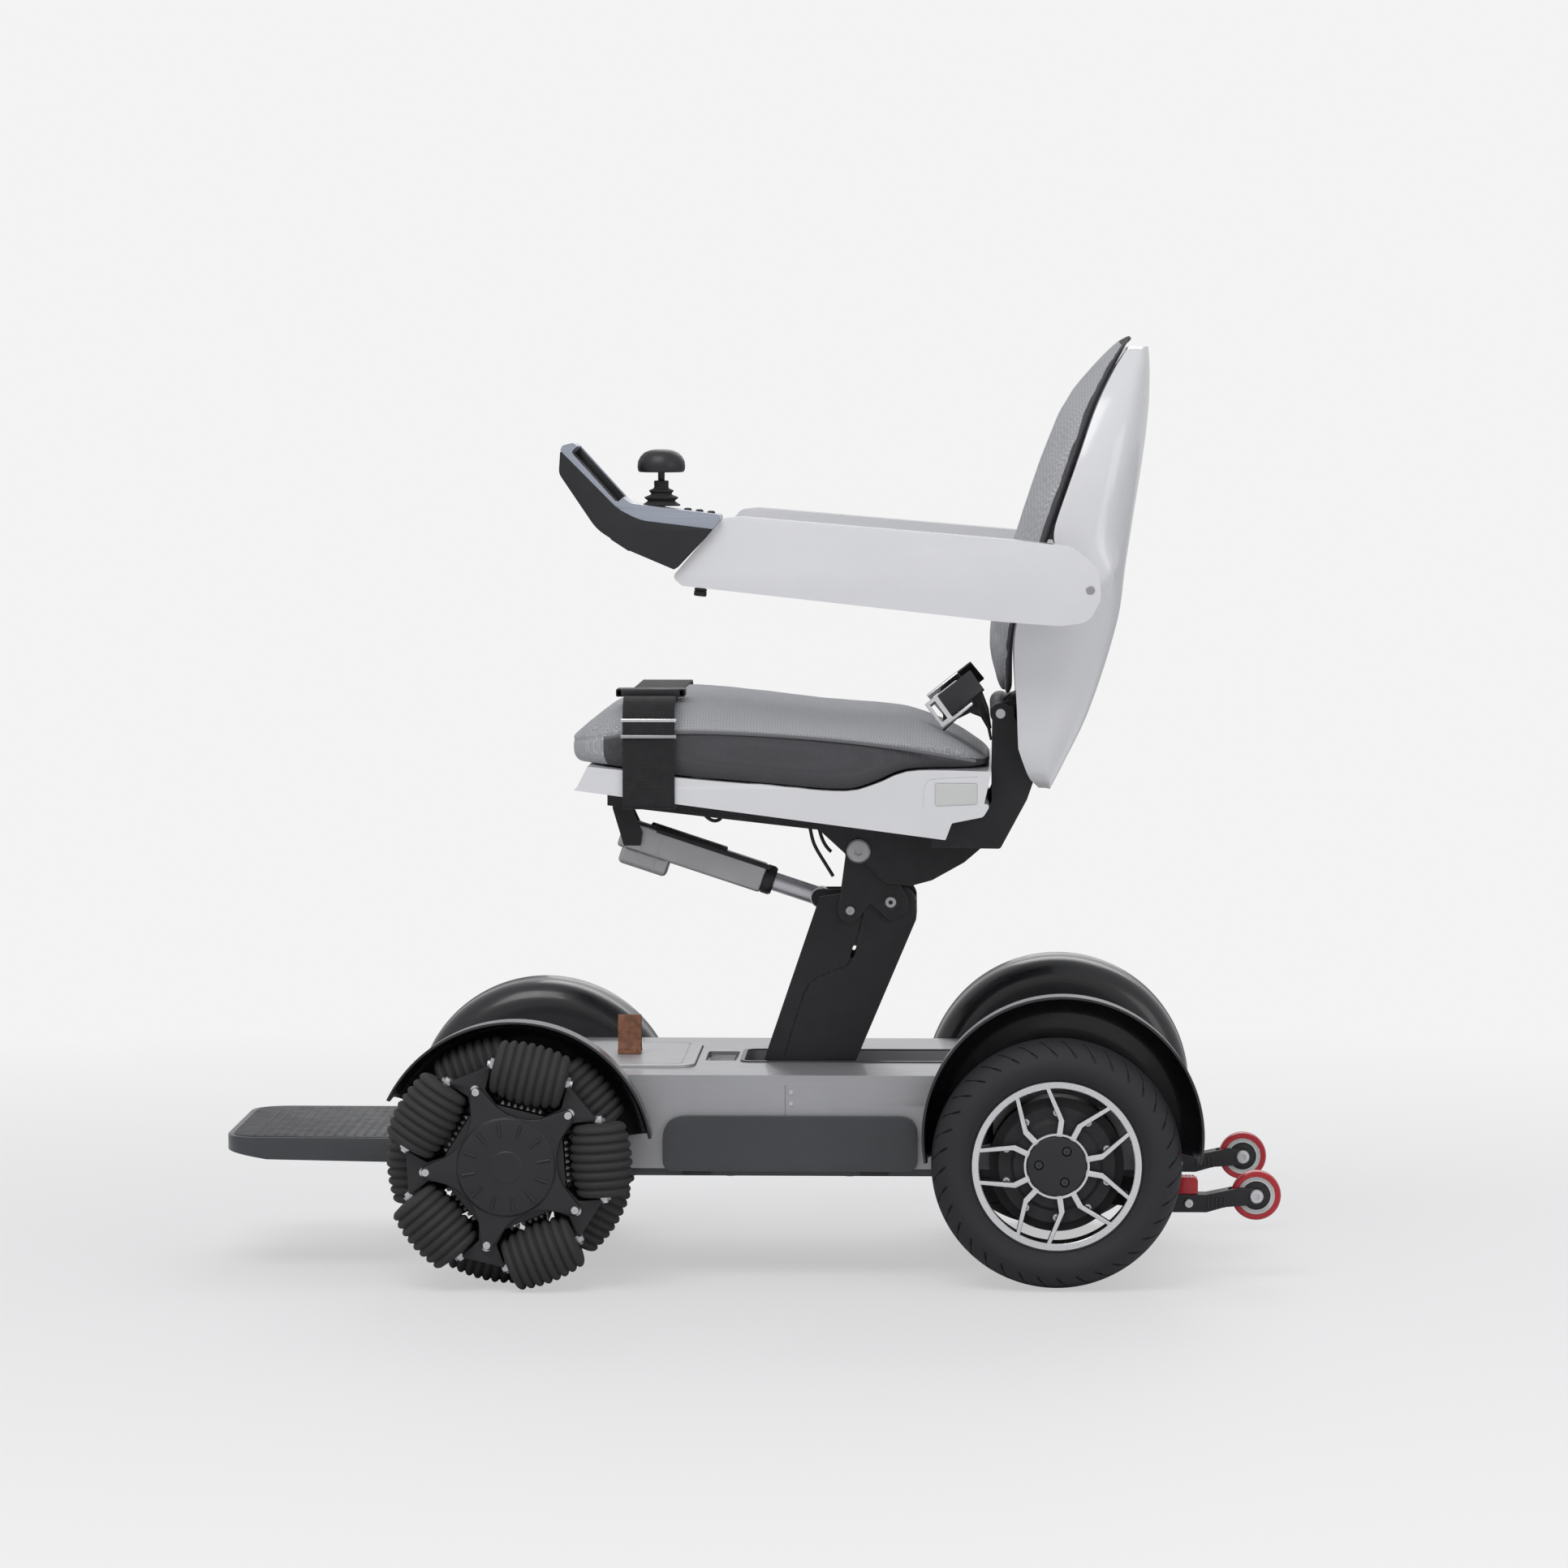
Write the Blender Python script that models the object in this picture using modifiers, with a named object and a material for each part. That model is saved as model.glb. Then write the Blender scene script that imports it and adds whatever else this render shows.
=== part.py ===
"""Folding power wheelchair: a low four-wheel base, a folding post, a tilting seat and a folding back.

Metres, +Z up. The user faces -X, so left is -Y. The origin is on the floor under the middle of the chair.
"""

import math

import bmesh
import bpy
from mathutils import Matrix, Vector

# Clearances
SEAT_GAP = 0.0003        # two pieces that touch
RUN_GAP = 0.0008         # a piece that turns beside another
SOFT_GAP = 0.0006        # cloth or foam against its neighbour

# Overall
HALF_LENGTH = 0.556      # footplate edge and anti-tip tyre lie this far from the origin

# Wheels
WHEEL_R = 0.130
FRONT_AXLE_X = -0.246
REAR_AXLE_X = 0.3205
WHEEL_GAP = 0.010        # from the base's side to the inner faces of all four wheels
TYRE_WIDTH = 0.085
RIM_R = 0.087
RIM_PAIRS = 5            # the spokes come in pairs
RIM_PAIR_ANGLE = 36.4    # degrees from +X to the middle of the first pair
# a spoke's middle line: (radius, degrees from its pair's middle, half width)
SPOKE_LINE = ((0.0370, 23.0, 0.0023), (0.0480, 24.0, 0.0022), (0.0785, 11.5, 0.0015))
MOTOR_R = 0.070
AXLE_R = 0.012

# Roller wheels
ROLLERS = 5              # rollers in each of the two rows
ROLLER_R = 0.030         # a roller's largest radius
ROLLER_HALF = 0.038      # half a roller's length
ROW_HALF = 0.0262        # from the wheel's middle to a row's middle
ROLLER_PHASE = math.radians(4)
STAR_HALF = 0.009        # half the thickness of a star plate
ROLLER_RIBS = 3
ROLLER_SIDES = 8
WHEEL_STEPS = 28
ROLLER_GROOVE = 0.0022
HUB_R = 0.050
# the star's edge behind a roller: (distance inwards from the roller's axis, distance along it)
STAR_POINTS = (
    (0.002, -0.0395), (0.026, -0.0395), (0.042, -0.022), (0.042, 0.022), (0.026, 0.0395), (0.002, 0.0395))

# Base
BASE_FRONT = -0.335
BASE_REAR = 0.430
BASE_HALF = 0.185
WHEEL_INNER_Y = BASE_HALF + WHEEL_GAP
BASE_TOP = 0.214
BASE_SPLIT = 0.116       # lower edge of the light shell
BASE_BOTTOM = 0.108
BASE_WALL = 0.006
TROUGH_FRONT = -0.010
TROUGH_REAR = 0.302
TROUGH_HALF = 0.058
TROUGH_WALL = 0.006
FENDER_GAP = 0.015       # from a tyre to the mudguard over it
FENDER_R = WHEEL_R + FENDER_GAP
FRONT_FENDER_X = FRONT_AXLE_X + 0.004
REAR_FENDER_X = REAR_AXLE_X + 0.0065
FENDER_WALL = 0.003
FENDER_REACH = 0.068     # how far a fender covers its wheel
REAR_FENDER_RISE = 0.028
BASE_ROOF = 0.034        # from the top down to the hollow's ceiling
BATTERY_FRONT = -0.310
BATTERY_REAR = -0.040
BATTERY_HALF = 0.150
TRAY_TOP = BASE_SPLIT - SEAT_GAP
HATCH_FRONT = -0.265
HATCH_REAR = -0.060
HATCH_HALF = 0.120
HATCH_DEPTH = 0.010
TAB_X = -0.135
TAB_HALF = 0.0125
TAB_HIGH = 0.042
SKIRT_FRONT = FRONT_FENDER_X + FENDER_R + 0.007
SKIRT_REAR = REAR_FENDER_X - FENDER_R - 0.006
SKIRT_TOP = 0.172
SKIRT_BOTTOM = 0.114
SKIRT_OUT = 0.009

# Footplate
PLATE_HINGE = (-0.352, 0.138)
PLATE_HALF = 0.145
PLATE_TOP = 0.142
PLATE_THICK = 0.026

# Post, lift bracket and seat pivots, as (x, z)
POST_PIVOT = (0.060, 0.186)
LIFT_PIVOT = (0.146, 0.385)
TILT_PIVOT = (0.112, 0.440)
LATCH_BOLT = (0.103, 0.376)
POST_HALF = 0.050
POST_PLATE = 0.008
CHEEK = 0.006            # lift bracket and seat hanger plates
POST_PIN_R = 0.008
LIFT_PIN_R = 0.007
TILT_BOLT_R = 0.006
POST_FOOT_FRONT = (0.0076, 0.205)
POST_TOP_FRONT = (0.0704, 0.390)
POST_FOOT_REAR = (0.1049, 0.205)
POST_TOP_REAR = (0.172, 0.396)
RAIL_FRONT = -0.155
# the hanger's lower edge, from the tilt bolt back to its foot under the back bracket
HANGER_LINE = (
    (0.140, 0.406), (0.168, 0.403), (0.190, 0.409), (0.224, 0.428), (0.247, 0.4477), (0.188, 0.4485))

# Actuator, from the seat's front bracket down to the lift bracket
ACT_FRONT = (-0.130, 0.452)
ACT_REAR = (0.070, 0.386)
ACT_BODY = 0.150
ACT_HALF = 0.0155
ROD_R = 0.010
EYE_HALF = 0.0120         # half the width of the rod's eye
ACT_PIN_R = 0.0045
ROD_IN = 0.045           # how much of the rod is inside the body

# Seat
SEAT_HALF = 0.210
SEAT_SLOPE = math.radians(7.5)
PAN_FRONT = (-0.186, 0.514)
PAN_REAR_LOW = (0.205, 0.4625)
PAN_TOP_LINE = (
    (-0.167, 0.538), (-0.127, 0.534), (-0.076, 0.527), (0.024, 0.5186), (0.104, 0.5130), (0.134, 0.5211),
    (0.159, 0.5320), (0.184, 0.5350), (0.2525, 0.5337))
SEAT_TOP_LINE = (
    (-0.190, 0.585), (-0.165, 0.602), (-0.080, 0.6065), (0.000, 0.600), (0.070, 0.592), (0.170, 0.584),
    (0.220, 0.574), (0.252, 0.556))
PAN_ROOF = 0.007
PAN_WALL = 0.008
POCKET_FRONT = -0.140
POCKET_REAR = 0.186
POCKET_INNER = 0.072
CUSHION_FRONT = -0.190
CUSHION_REAR = 0.2515
PAD_COLUMN = 0.030       # a little over half the distance between a pad's columns of points
STRAP_FRONT = -0.130
STRAP_REAR = -0.076
STRAP_LOW = 0.4958
STRAP_HIGH = 0.6080
STRAP_THICK = 0.0025

# Back
BACK_PIVOT = (0.262, 0.590)
BACK_SIDE_Y = 0.192
BACK_WALL = 0.005
BRACKET_HALF = 0.135
KNUCKLE_HALF = 0.090
SHELL_SIDES = 14
# the shell's levels: (z, front edge x, rear x, half width)
BACK_STATIONS = (
    (0.5100, 0.2900, 0.3160, 0.150), (0.5295, 0.2828, 0.3260, 0.180), (0.5900, 0.2790, 0.3554, 0.190),
    (0.6854, 0.2778, 0.3857, 0.192), (0.7462, 0.3020, 0.3944, 0.192), (0.7900, 0.3180, 0.4010, 0.190),
    (0.8610, 0.3432, 0.4120, 0.180), (0.9110, 0.3610, 0.4178, 0.160), (0.9500, 0.3800, 0.4190, 0.130),
    (0.9740, 0.3960, 0.4180, 0.090))
BACK_PAD_LOW = 0.606
BACK_PAD_HIGH = 0.986
BACK_FRONT_LINE = (
    (0.606, 0.2560), (0.651, 0.2530), (0.703, 0.2617), (0.768, 0.2816), (0.859, 0.3120), (0.920, 0.3380),
    (0.967, 0.3684), (0.986, 0.3920))
BACK_REST_LINE = (
    (0.606, 0.2740), (0.6854, 0.2770), (0.7462, 0.3010), (0.790, 0.3170), (0.861, 0.3425), (0.911, 0.3600),
    (0.950, 0.3790), (0.986, 0.3990))
BACK_PAD_HALF = (
    (0.606, 0.150), (0.660, 0.182), (0.790, 0.180), (0.861, 0.170), (0.911, 0.150), (0.950, 0.120),
    (0.986, 0.085))

# Arms
ARM_PIVOT = (0.353, 0.724)
ARM_INNER_Y = 0.226
ARM_WIDTH = 0.052
ARM_HUB_R = 0.0105
ARM_TIP = (-0.0750, 0.7370)

# Control pod on the left arm
POD_Y = -0.252
POD_HALF = 0.034
POD_DECK = 0.8020
BUTTONS = 3
BUTTON_X = -0.060
BUTTON_STEP = 0.012
BUTTON_R = 0.0040
STICK_X = -0.0872

# Anti-tip wheels
TIP_WHEEL_R = 0.026
TIP_WHEEL_Z = 0.088
TIP_Y = BASE_HALF - 0.020
TIP_SHELF = 0.0895       # the flat on an arm that its release lever lies on
TIP_ROOT = BASE_REAR - 0.085
# where the arm leaves the base, its knee, the lever, the fork and its throat lie, as shares of the
# way from the root to the wheel's axle
TIP_STATIONS = (0.31, 0.51, 0.5514, 0.72, 0.82)

LEFT, RIGHT = -1, 1
SIDES = {"left": LEFT, "right": RIGHT}

PARTS = "folding_power_wheelchair"


def clear_scene():
    """Start from an empty file, with one collection for parts and one for cutters."""
    for obj in list(bpy.data.objects):
        bpy.data.objects.remove(obj, do_unlink=True)
    made = []
    for name in (PARTS, "cutters"):
        group = bpy.data.collections.get(name) or bpy.data.collections.new(name)
        if group.name not in bpy.context.scene.collection.children:
            bpy.context.scene.collection.children.link(group)
        made.append(group)
    return made


def paint(name, colour, roughness, metallic=0.0):
    """A plain Principled material."""
    made = bpy.data.materials.new(name)
    made.use_nodes = True
    shader = made.node_tree.nodes["Principled BSDF"]
    shader.inputs["Base Color"].default_value = (*colour, 1.0)
    shader.inputs["Roughness"].default_value = roughness
    shader.inputs["Metallic"].default_value = metallic
    return made


PART_GROUP, CUTTER_GROUP = clear_scene()

LOOKS = {
    "white": paint("gloss_white", (0.86, 0.86, 0.87), 0.25),
    "silver": paint("silver_paint", (0.55, 0.55, 0.58), 0.35, 0.5),
    "dark": paint("dark_grey_paint", (0.07, 0.07, 0.075), 0.35, 0.2),
    "black": paint("satin_black", (0.02, 0.02, 0.023), 0.5),
    "rubber": paint("rubber", (0.025, 0.025, 0.027), 0.8),
    "roller": paint("roller_rubber", (0.03, 0.03, 0.03), 0.75),
    "steel": paint("bright_steel", (0.7, 0.7, 0.72), 0.25, 1.0),
    "alloy": paint("brushed_alloy", (0.6, 0.6, 0.62), 0.35, 1.0),
    "cloth": paint("grey_mesh_cloth", (0.28, 0.28, 0.31), 0.9),
    "webbing": paint("black_webbing", (0.02, 0.02, 0.022), 0.85),
    "leather": paint("brown_leather", (0.36, 0.14, 0.07), 0.55),
    "red": paint("red_plastic", (0.65, 0.03, 0.03), 0.4),
    "bezel": paint("blue_grey_plastic", (0.38, 0.42, 0.5), 0.4),
    "lens": paint("pale_lens", (0.75, 0.75, 0.7), 0.2),
}


def add_object(name, mesh, look, group=None):
    """Put a mesh in the scene under its node's name."""
    obj = bpy.data.objects.new(name, mesh)
    (group or PART_GROUP).objects.link(obj)
    if look:
        mesh.materials.clear()
        mesh.materials.append(LOOKS[look])
    return obj


def finish_mesh(bm, name, look, group=None):
    """Close, orient and store a bmesh."""
    bmesh.ops.remove_doubles(bm, verts=bm.verts, dist=0.00002)
    bmesh.ops.recalc_face_normals(bm, faces=bm.faces)
    mesh = bpy.data.meshes.new(name)
    bm.to_mesh(mesh)
    bm.free()
    return add_object(name, mesh, look, group)


def smooth(obj, degrees=35):
    """Shade round pieces smooth and keep their edges."""
    obj.data.shade_smooth()
    obj.data.set_sharp_from_angle(angle=math.radians(degrees))
    return obj


def bake(obj, look=None):
    """Turn a curve, or an object with modifiers, into a plain welded mesh in place."""
    graph = bpy.context.evaluated_depsgraph_get()
    graph.update()
    mesh = bpy.data.meshes.new_from_object(obj.evaluated_get(graph))
    place = obj.matrix_world.copy()
    name = obj.name
    groups = list(obj.users_collection)
    bpy.data.objects.remove(obj, do_unlink=True)
    bm = bmesh.new()
    bm.from_mesh(mesh)
    bpy.data.meshes.remove(mesh)
    bm.transform(place)
    bmesh.ops.remove_doubles(bm, verts=bm.verts, dist=0.00002)
    return finish_mesh(bm, name, look, groups[0])


def bevel(obj, width, segments=2, degrees=40):
    """Round the sharp edges of an object."""
    mod = obj.modifiers.new("edge", "BEVEL")
    mod.width = width
    mod.segments = segments
    mod.limit_method = "ANGLE"
    mod.angle_limit = math.radians(degrees)
    mod.use_clamp_overlap = True
    return obj


def box(name, low, high, look, group=None):
    """A box between two corners."""
    bm = bmesh.new()
    size = [b - a for a, b in zip(low, high)]
    middle = [(a + b) / 2 for a, b in zip(low, high)]
    place = Matrix.Translation(middle) @ Matrix.Diagonal((*size, 1.0))
    bmesh.ops.create_cube(bm, size=1.0, matrix=place)
    return finish_mesh(bm, name, look, group)


def rod(name, start, end, radius, look, sides=20, end_radius=None, group=None):
    """A round bar or cone from one point to another."""
    start, end = Vector(start), Vector(end)
    along = end - start
    turn = along.to_track_quat("Z", "Y").to_matrix().to_4x4()
    bm = bmesh.new()
    bmesh.ops.create_cone(
        bm, cap_ends=True, segments=sides, radius1=radius,
        radius2=radius if end_radius is None else end_radius, depth=along.length,
        matrix=Matrix.Translation((start + end) / 2) @ turn)
    return finish_mesh(bm, name, look, group)


def plate(name, outlines, y_low, y_high, look, group=None):
    """Flat outlines in (x, z), holes included, given a thickness along Y."""
    curve = bpy.data.curves.new(name, "CURVE")
    curve.dimensions = "2D"
    curve.fill_mode = "BOTH"
    curve.extrude = (y_high - y_low) / 2
    for outline in outlines:
        spline = curve.splines.new("POLY")
        spline.points.add(len(outline) - 1)
        for point, (x, z) in zip(spline.points, outline):
            point.co = (x, z, 0.0, 1.0)
        spline.use_cyclic_u = True
    obj = bpy.data.objects.new(name, curve)
    (group or PART_GROUP).objects.link(obj)
    obj.rotation_euler = (math.pi / 2, 0.0, 0.0)
    obj.location = (0.0, (y_low + y_high) / 2, 0.0)
    bpy.context.view_layer.update()
    return bake(obj, look)


def turned(name, profile, centre, look, steps=40, angle=2 * math.pi, start=0.0, group=None, wall=0.0):
    """A profile of (radius, y) turned about a line along Y; an open one gets a wall inwards."""
    bm = bmesh.new()
    verts = [bm.verts.new((radius, 0.0, along)) for radius, along in profile]
    for a, b in zip(verts, verts[1:]):
        bm.edges.new((a, b))
    mesh = bpy.data.meshes.new(name)
    bm.to_mesh(mesh)
    bm.free()
    obj = add_object(name, mesh, None, group)
    screw = obj.modifiers.new("turn", "SCREW")
    screw.axis = "Z"
    screw.angle = angle
    screw.steps = steps
    screw.render_steps = steps
    screw.use_merge_vertices = True
    screw.merge_threshold = 0.00002
    if wall:
        shell = obj.modifiers.new("wall", "SOLIDIFY")
        shell.thickness = wall
        shell.offset = -1.0
    # local +Z goes to -Y, local +X turns by the start angle in the XZ plane
    obj.matrix_world = (
        Matrix.Translation(centre) @ Matrix.Rotation(math.pi / 2, 4, "X") @ Matrix.Rotation(start, 4, "Z"))
    bpy.context.view_layer.update()
    return bake(obj, look)


def cut(obj, *tools):
    """Take tools away from an object and drop them."""
    return _combine(obj, tools, "DIFFERENCE")


def join(obj, *tools):
    """Melt tools into an object as one body."""
    return _combine(obj, tools, "UNION")


def _combine(obj, tools, how):
    look = obj.data.materials[0].name if obj.data.materials else None
    for tool in tools:
        mod = obj.modifiers.new(how.lower(), "BOOLEAN")
        mod.operation = how
        mod.solver = "EXACT"
        mod.object = tool
        tool.hide_render = True
        tool.display_type = "WIRE"
    bpy.context.view_layer.update()
    key = next((k for k, v in LOOKS.items() if v.name == look), None)
    made = bake(obj, key)
    for tool in tools:
        bpy.data.objects.remove(tool, do_unlink=True)
    return made


def seat_on(obj, pivot):
    """Move an object's origin to a joint's axis without moving its mesh."""
    place = Vector(pivot)
    obj.data.transform(Matrix.Translation(-place))
    obj.location = place
    return obj


def arc(centre, radius, start, end, count):
    """Points on an arc in (x, z); angles in degrees, anticlockwise from +X."""
    return [
        (centre[0] + radius * math.cos(math.radians(start + (end - start) * i / count)),
         centre[1] + radius * math.sin(math.radians(start + (end - start) * i / count)))
        for i in range(count + 1)
    ]


def rounded(corners, radius, steps=3):
    """An outline with each corner rounded."""
    made = []
    for i, here in enumerate(corners):
        here = Vector(here)
        before = (Vector(corners[i - 1]) - here).normalized()
        after = (Vector(corners[(i + 1) % len(corners)]) - here).normalized()
        half = before.angle(after) / 2
        reach = min(radius / math.tan(half), (Vector(corners[i - 1]) - here).length / 2.1,
                    (Vector(corners[(i + 1) % len(corners)]) - here).length / 2.1)
        start, end = here + before * reach, here + after * reach
        for step in range(steps + 1):
            t = step / steps
            made.append(tuple(start * (1 - t) ** 2 + here * 2 * t * (1 - t) + end * t ** 2))
    return made


def wheel_frame(centre, side):
    """The matrix that stands a wheel drawn flat, its outer face up, on its axle."""
    turn = Matrix.Rotation(math.pi / 2 if side == LEFT else -math.pi / 2, 4, "X")
    return Matrix.Translation(centre) @ turn


# Base

def make_base():
    """The light shell, its tray, side skirts, hatch, pull tab, battery and the post's foot pin."""
    low = BASE_SPLIT - 0.050
    side = [
        (BASE_FRONT, low), (BASE_FRONT, BASE_TOP - 0.030), (BASE_FRONT + 0.050, BASE_TOP),
        (BASE_REAR - 0.030, BASE_TOP), (BASE_REAR, BASE_TOP - 0.025), (BASE_REAR, low),
    ]
    shell = bevel(plate("chassis_shell", [side], -BASE_HALF, BASE_HALF, "silver"), 0.009, 2, 30)
    ceiling = BASE_TOP - BASE_ROOF
    inside = box("inside", (BASE_FRONT + BASE_WALL, -BASE_HALF + BASE_WALL, low - 0.010),
                 (BASE_REAR - BASE_WALL, BASE_HALF - BASE_WALL, ceiling), None, CUTTER_GROUP)
    well_walls = box("walls", (TROUGH_FRONT - TROUGH_WALL, -TROUGH_HALF - TROUGH_WALL, low - 0.020),
                     (TROUGH_REAR + TROUGH_WALL, TROUGH_HALF + TROUGH_WALL, BASE_TOP), None, CUTTER_GROUP)
    high = box("high", (BASE_FRONT + 0.062, -BASE_HALF + BASE_WALL + 0.004, ceiling - 0.010),
               (BASE_REAR - 0.044, BASE_HALF - BASE_WALL - 0.004, BASE_TOP - HATCH_DEPTH - 0.004), None,
               CUTTER_GROUP)
    inside = cut(join(inside, high), well_walls)
    below = box("below", (BASE_FRONT - 0.010, -BASE_HALF - 0.010, low - 0.010),
                (BASE_REAR + 0.010, BASE_HALF + 0.010, BASE_SPLIT), None, CUTTER_GROUP)
    trough = box("trough", (TROUGH_FRONT, -TROUGH_HALF, low - 0.020),
                 (TROUGH_REAR, TROUGH_HALF, BASE_TOP + 0.050), None, CUTTER_GROUP)
    recess = box("recess", (HATCH_FRONT, -HATCH_HALF, BASE_TOP - HATCH_DEPTH),
                 (HATCH_REAR, HATCH_HALF, BASE_TOP + 0.050), None, CUTTER_GROUP)
    shell = cut(cut(bake(shell, "silver"), inside), trough, recess)
    cut(shell, below)

    tray_side = [
        (BASE_FRONT + 0.020, TRAY_TOP), (BASE_FRONT + 0.045, BASE_BOTTOM), (BASE_REAR - 0.045, BASE_BOTTOM),
        (BASE_REAR - 0.020, TRAY_TOP),
    ]
    bevel(plate("underbody_tray", [tray_side], -BASE_HALF + 0.004, BASE_HALF - 0.004, "dark"), 0.002)

    for name, side_sign in SIDES.items():
        outline = rounded([
            (SKIRT_FRONT, SKIRT_BOTTOM), (SKIRT_REAR, SKIRT_BOTTOM), (SKIRT_REAR, SKIRT_TOP),
            (SKIRT_FRONT, SKIRT_TOP),
        ], 0.022)
        ends = sorted((side_sign * (BASE_HALF + SEAT_GAP), side_sign * (BASE_HALF + SKIRT_OUT)))
        bevel(plate(f"skirt_{name}", [outline], *ends, "dark"), 0.005, 1)

    hinge = (HATCH_FRONT + 0.001, 0.0, BASE_TOP + 0.003)
    hatch = box("hatch_cover", (hinge[0], -HATCH_HALF + 0.001, BASE_TOP - HATCH_DEPTH + SEAT_GAP),
                (HATCH_REAR - 0.001, HATCH_HALF - 0.001, hinge[2]), "silver")
    seat_on(bevel(hatch, 0.0025), hinge)
    top = hinge[2] + SEAT_GAP
    tab = [
        (-0.018, top), (-0.015, top), (0.0, top + TAB_HIGH - 0.004), (0.015, top), (0.018, top),
        (0.0015, top + TAB_HIGH), (-0.0015, top + TAB_HIGH),
    ]
    leather = plate("pull_tab", [tab], -TAB_HALF, TAB_HALF, "leather")
    leather.data.transform(Matrix.Translation((TAB_X, 0.0, 0.0)) @ Matrix.Rotation(math.pi / 2, 4, "Z"))
    seat_on(leather, hinge)

    bevel(box("battery_pack", (BATTERY_FRONT, -BATTERY_HALF, TRAY_TOP + SEAT_GAP),
              (BATTERY_REAR, BATTERY_HALF, ceiling - 0.001), "dark"), 0.004, 1)
    rod("post_pin", (POST_PIVOT[0], -TROUGH_HALF + SEAT_GAP, POST_PIVOT[1]),
        (POST_PIVOT[0], TROUGH_HALF - SEAT_GAP, POST_PIVOT[1]), POST_PIN_R, "steel")


def make_fender(name, axle_x, centre_z, start, sweep, side):
    """A domed mudguard: an outer band and an inner cheek that lies against the base."""
    inner_y = BASE_HALF + SEAT_GAP
    reach = inner_y + FENDER_REACH
    crown = 0.022
    profile = [(0.072, inner_y), (FENDER_R - crown, inner_y)]
    profile += [
        (FENDER_R - crown + crown * math.sin(math.radians(a)),
         inner_y + crown - crown * math.cos(math.radians(a)))
        for a in (30, 60, 90)
    ]
    profile += [(FENDER_R, reach)]
    bm = bmesh.new()
    steps = 12
    rows = []
    for i in range(steps + 1):
        angle = math.radians(start + sweep * i / steps)
        rows.append([
            bm.verts.new((axle_x + r * math.cos(angle), side * y, centre_z + r * math.sin(angle)))
            for r, y in profile
        ])
    for a, b in zip(rows, rows[1:]):
        for j in range(len(profile) - 1):
            bm.faces.new((a[j], a[j + 1], b[j + 1], b[j]))
    bmesh.ops.recalc_face_normals(bm, faces=bm.faces)
    outward = bm.faces[:][len(profile) - 2]
    middle = outward.calc_center_median() - Vector((axle_x, 0.0, centre_z))
    if outward.normal.dot(Vector((middle.x, 0.0, middle.z))) < 0:
        bmesh.ops.reverse_faces(bm, faces=bm.faces)
    mesh = bpy.data.meshes.new(name)
    bm.to_mesh(mesh)
    bm.free()
    obj = add_object(name, mesh, None)
    shell = obj.modifiers.new("wall", "SOLIDIFY")
    shell.thickness = FENDER_WALL
    shell.offset = -1.0
    return smooth(bake(obj, "dark"))


def make_fenders():
    """One mudguard over each wheel."""
    for name, side in SIDES.items():
        make_fender(f"front_fender_{name}", FRONT_FENDER_X, WHEEL_R, 10, 144, side)
        make_fender(f"rear_fender_{name}", REAR_FENDER_X, WHEEL_R + REAR_FENDER_RISE, -11, 202, side)


# Wheels

def barrel(name, row_z, angle):
    """One ribbed roller, drawn flat: its axis lies along the chord at the given angle."""
    chord = WHEEL_R - ROLLER_R
    bm = bmesh.new()
    sides, rings = ROLLER_SIDES, 2 * ROLLER_RIBS
    loops = []
    for i in range(rings + 1):
        along = -ROLLER_HALF + 2 * ROLLER_HALF * i / rings
        radius = math.sqrt(WHEEL_R ** 2 - along ** 2) - chord
        if i % 2 == 0:
            radius -= ROLLER_GROOVE
        loops.append([
            bm.verts.new((chord + radius * math.cos(2 * math.pi * k / sides), along,
                          row_z + radius * math.sin(2 * math.pi * k / sides)))
            for k in range(sides)
        ])
    for a, b in zip(loops, loops[1:]):
        for k in range(sides):
            bm.faces.new((a[k], a[(k + 1) % sides], b[(k + 1) % sides], b[k]))
    bm.faces.new(loops[0])
    bm.faces.new(loops[-1])
    bmesh.ops.rotate(bm, cent=(0, 0, 0), matrix=Matrix.Rotation(angle, 3, "Z"), verts=bm.verts)
    return finish_mesh(bm, name, "roller", CUTTER_GROUP)


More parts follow.
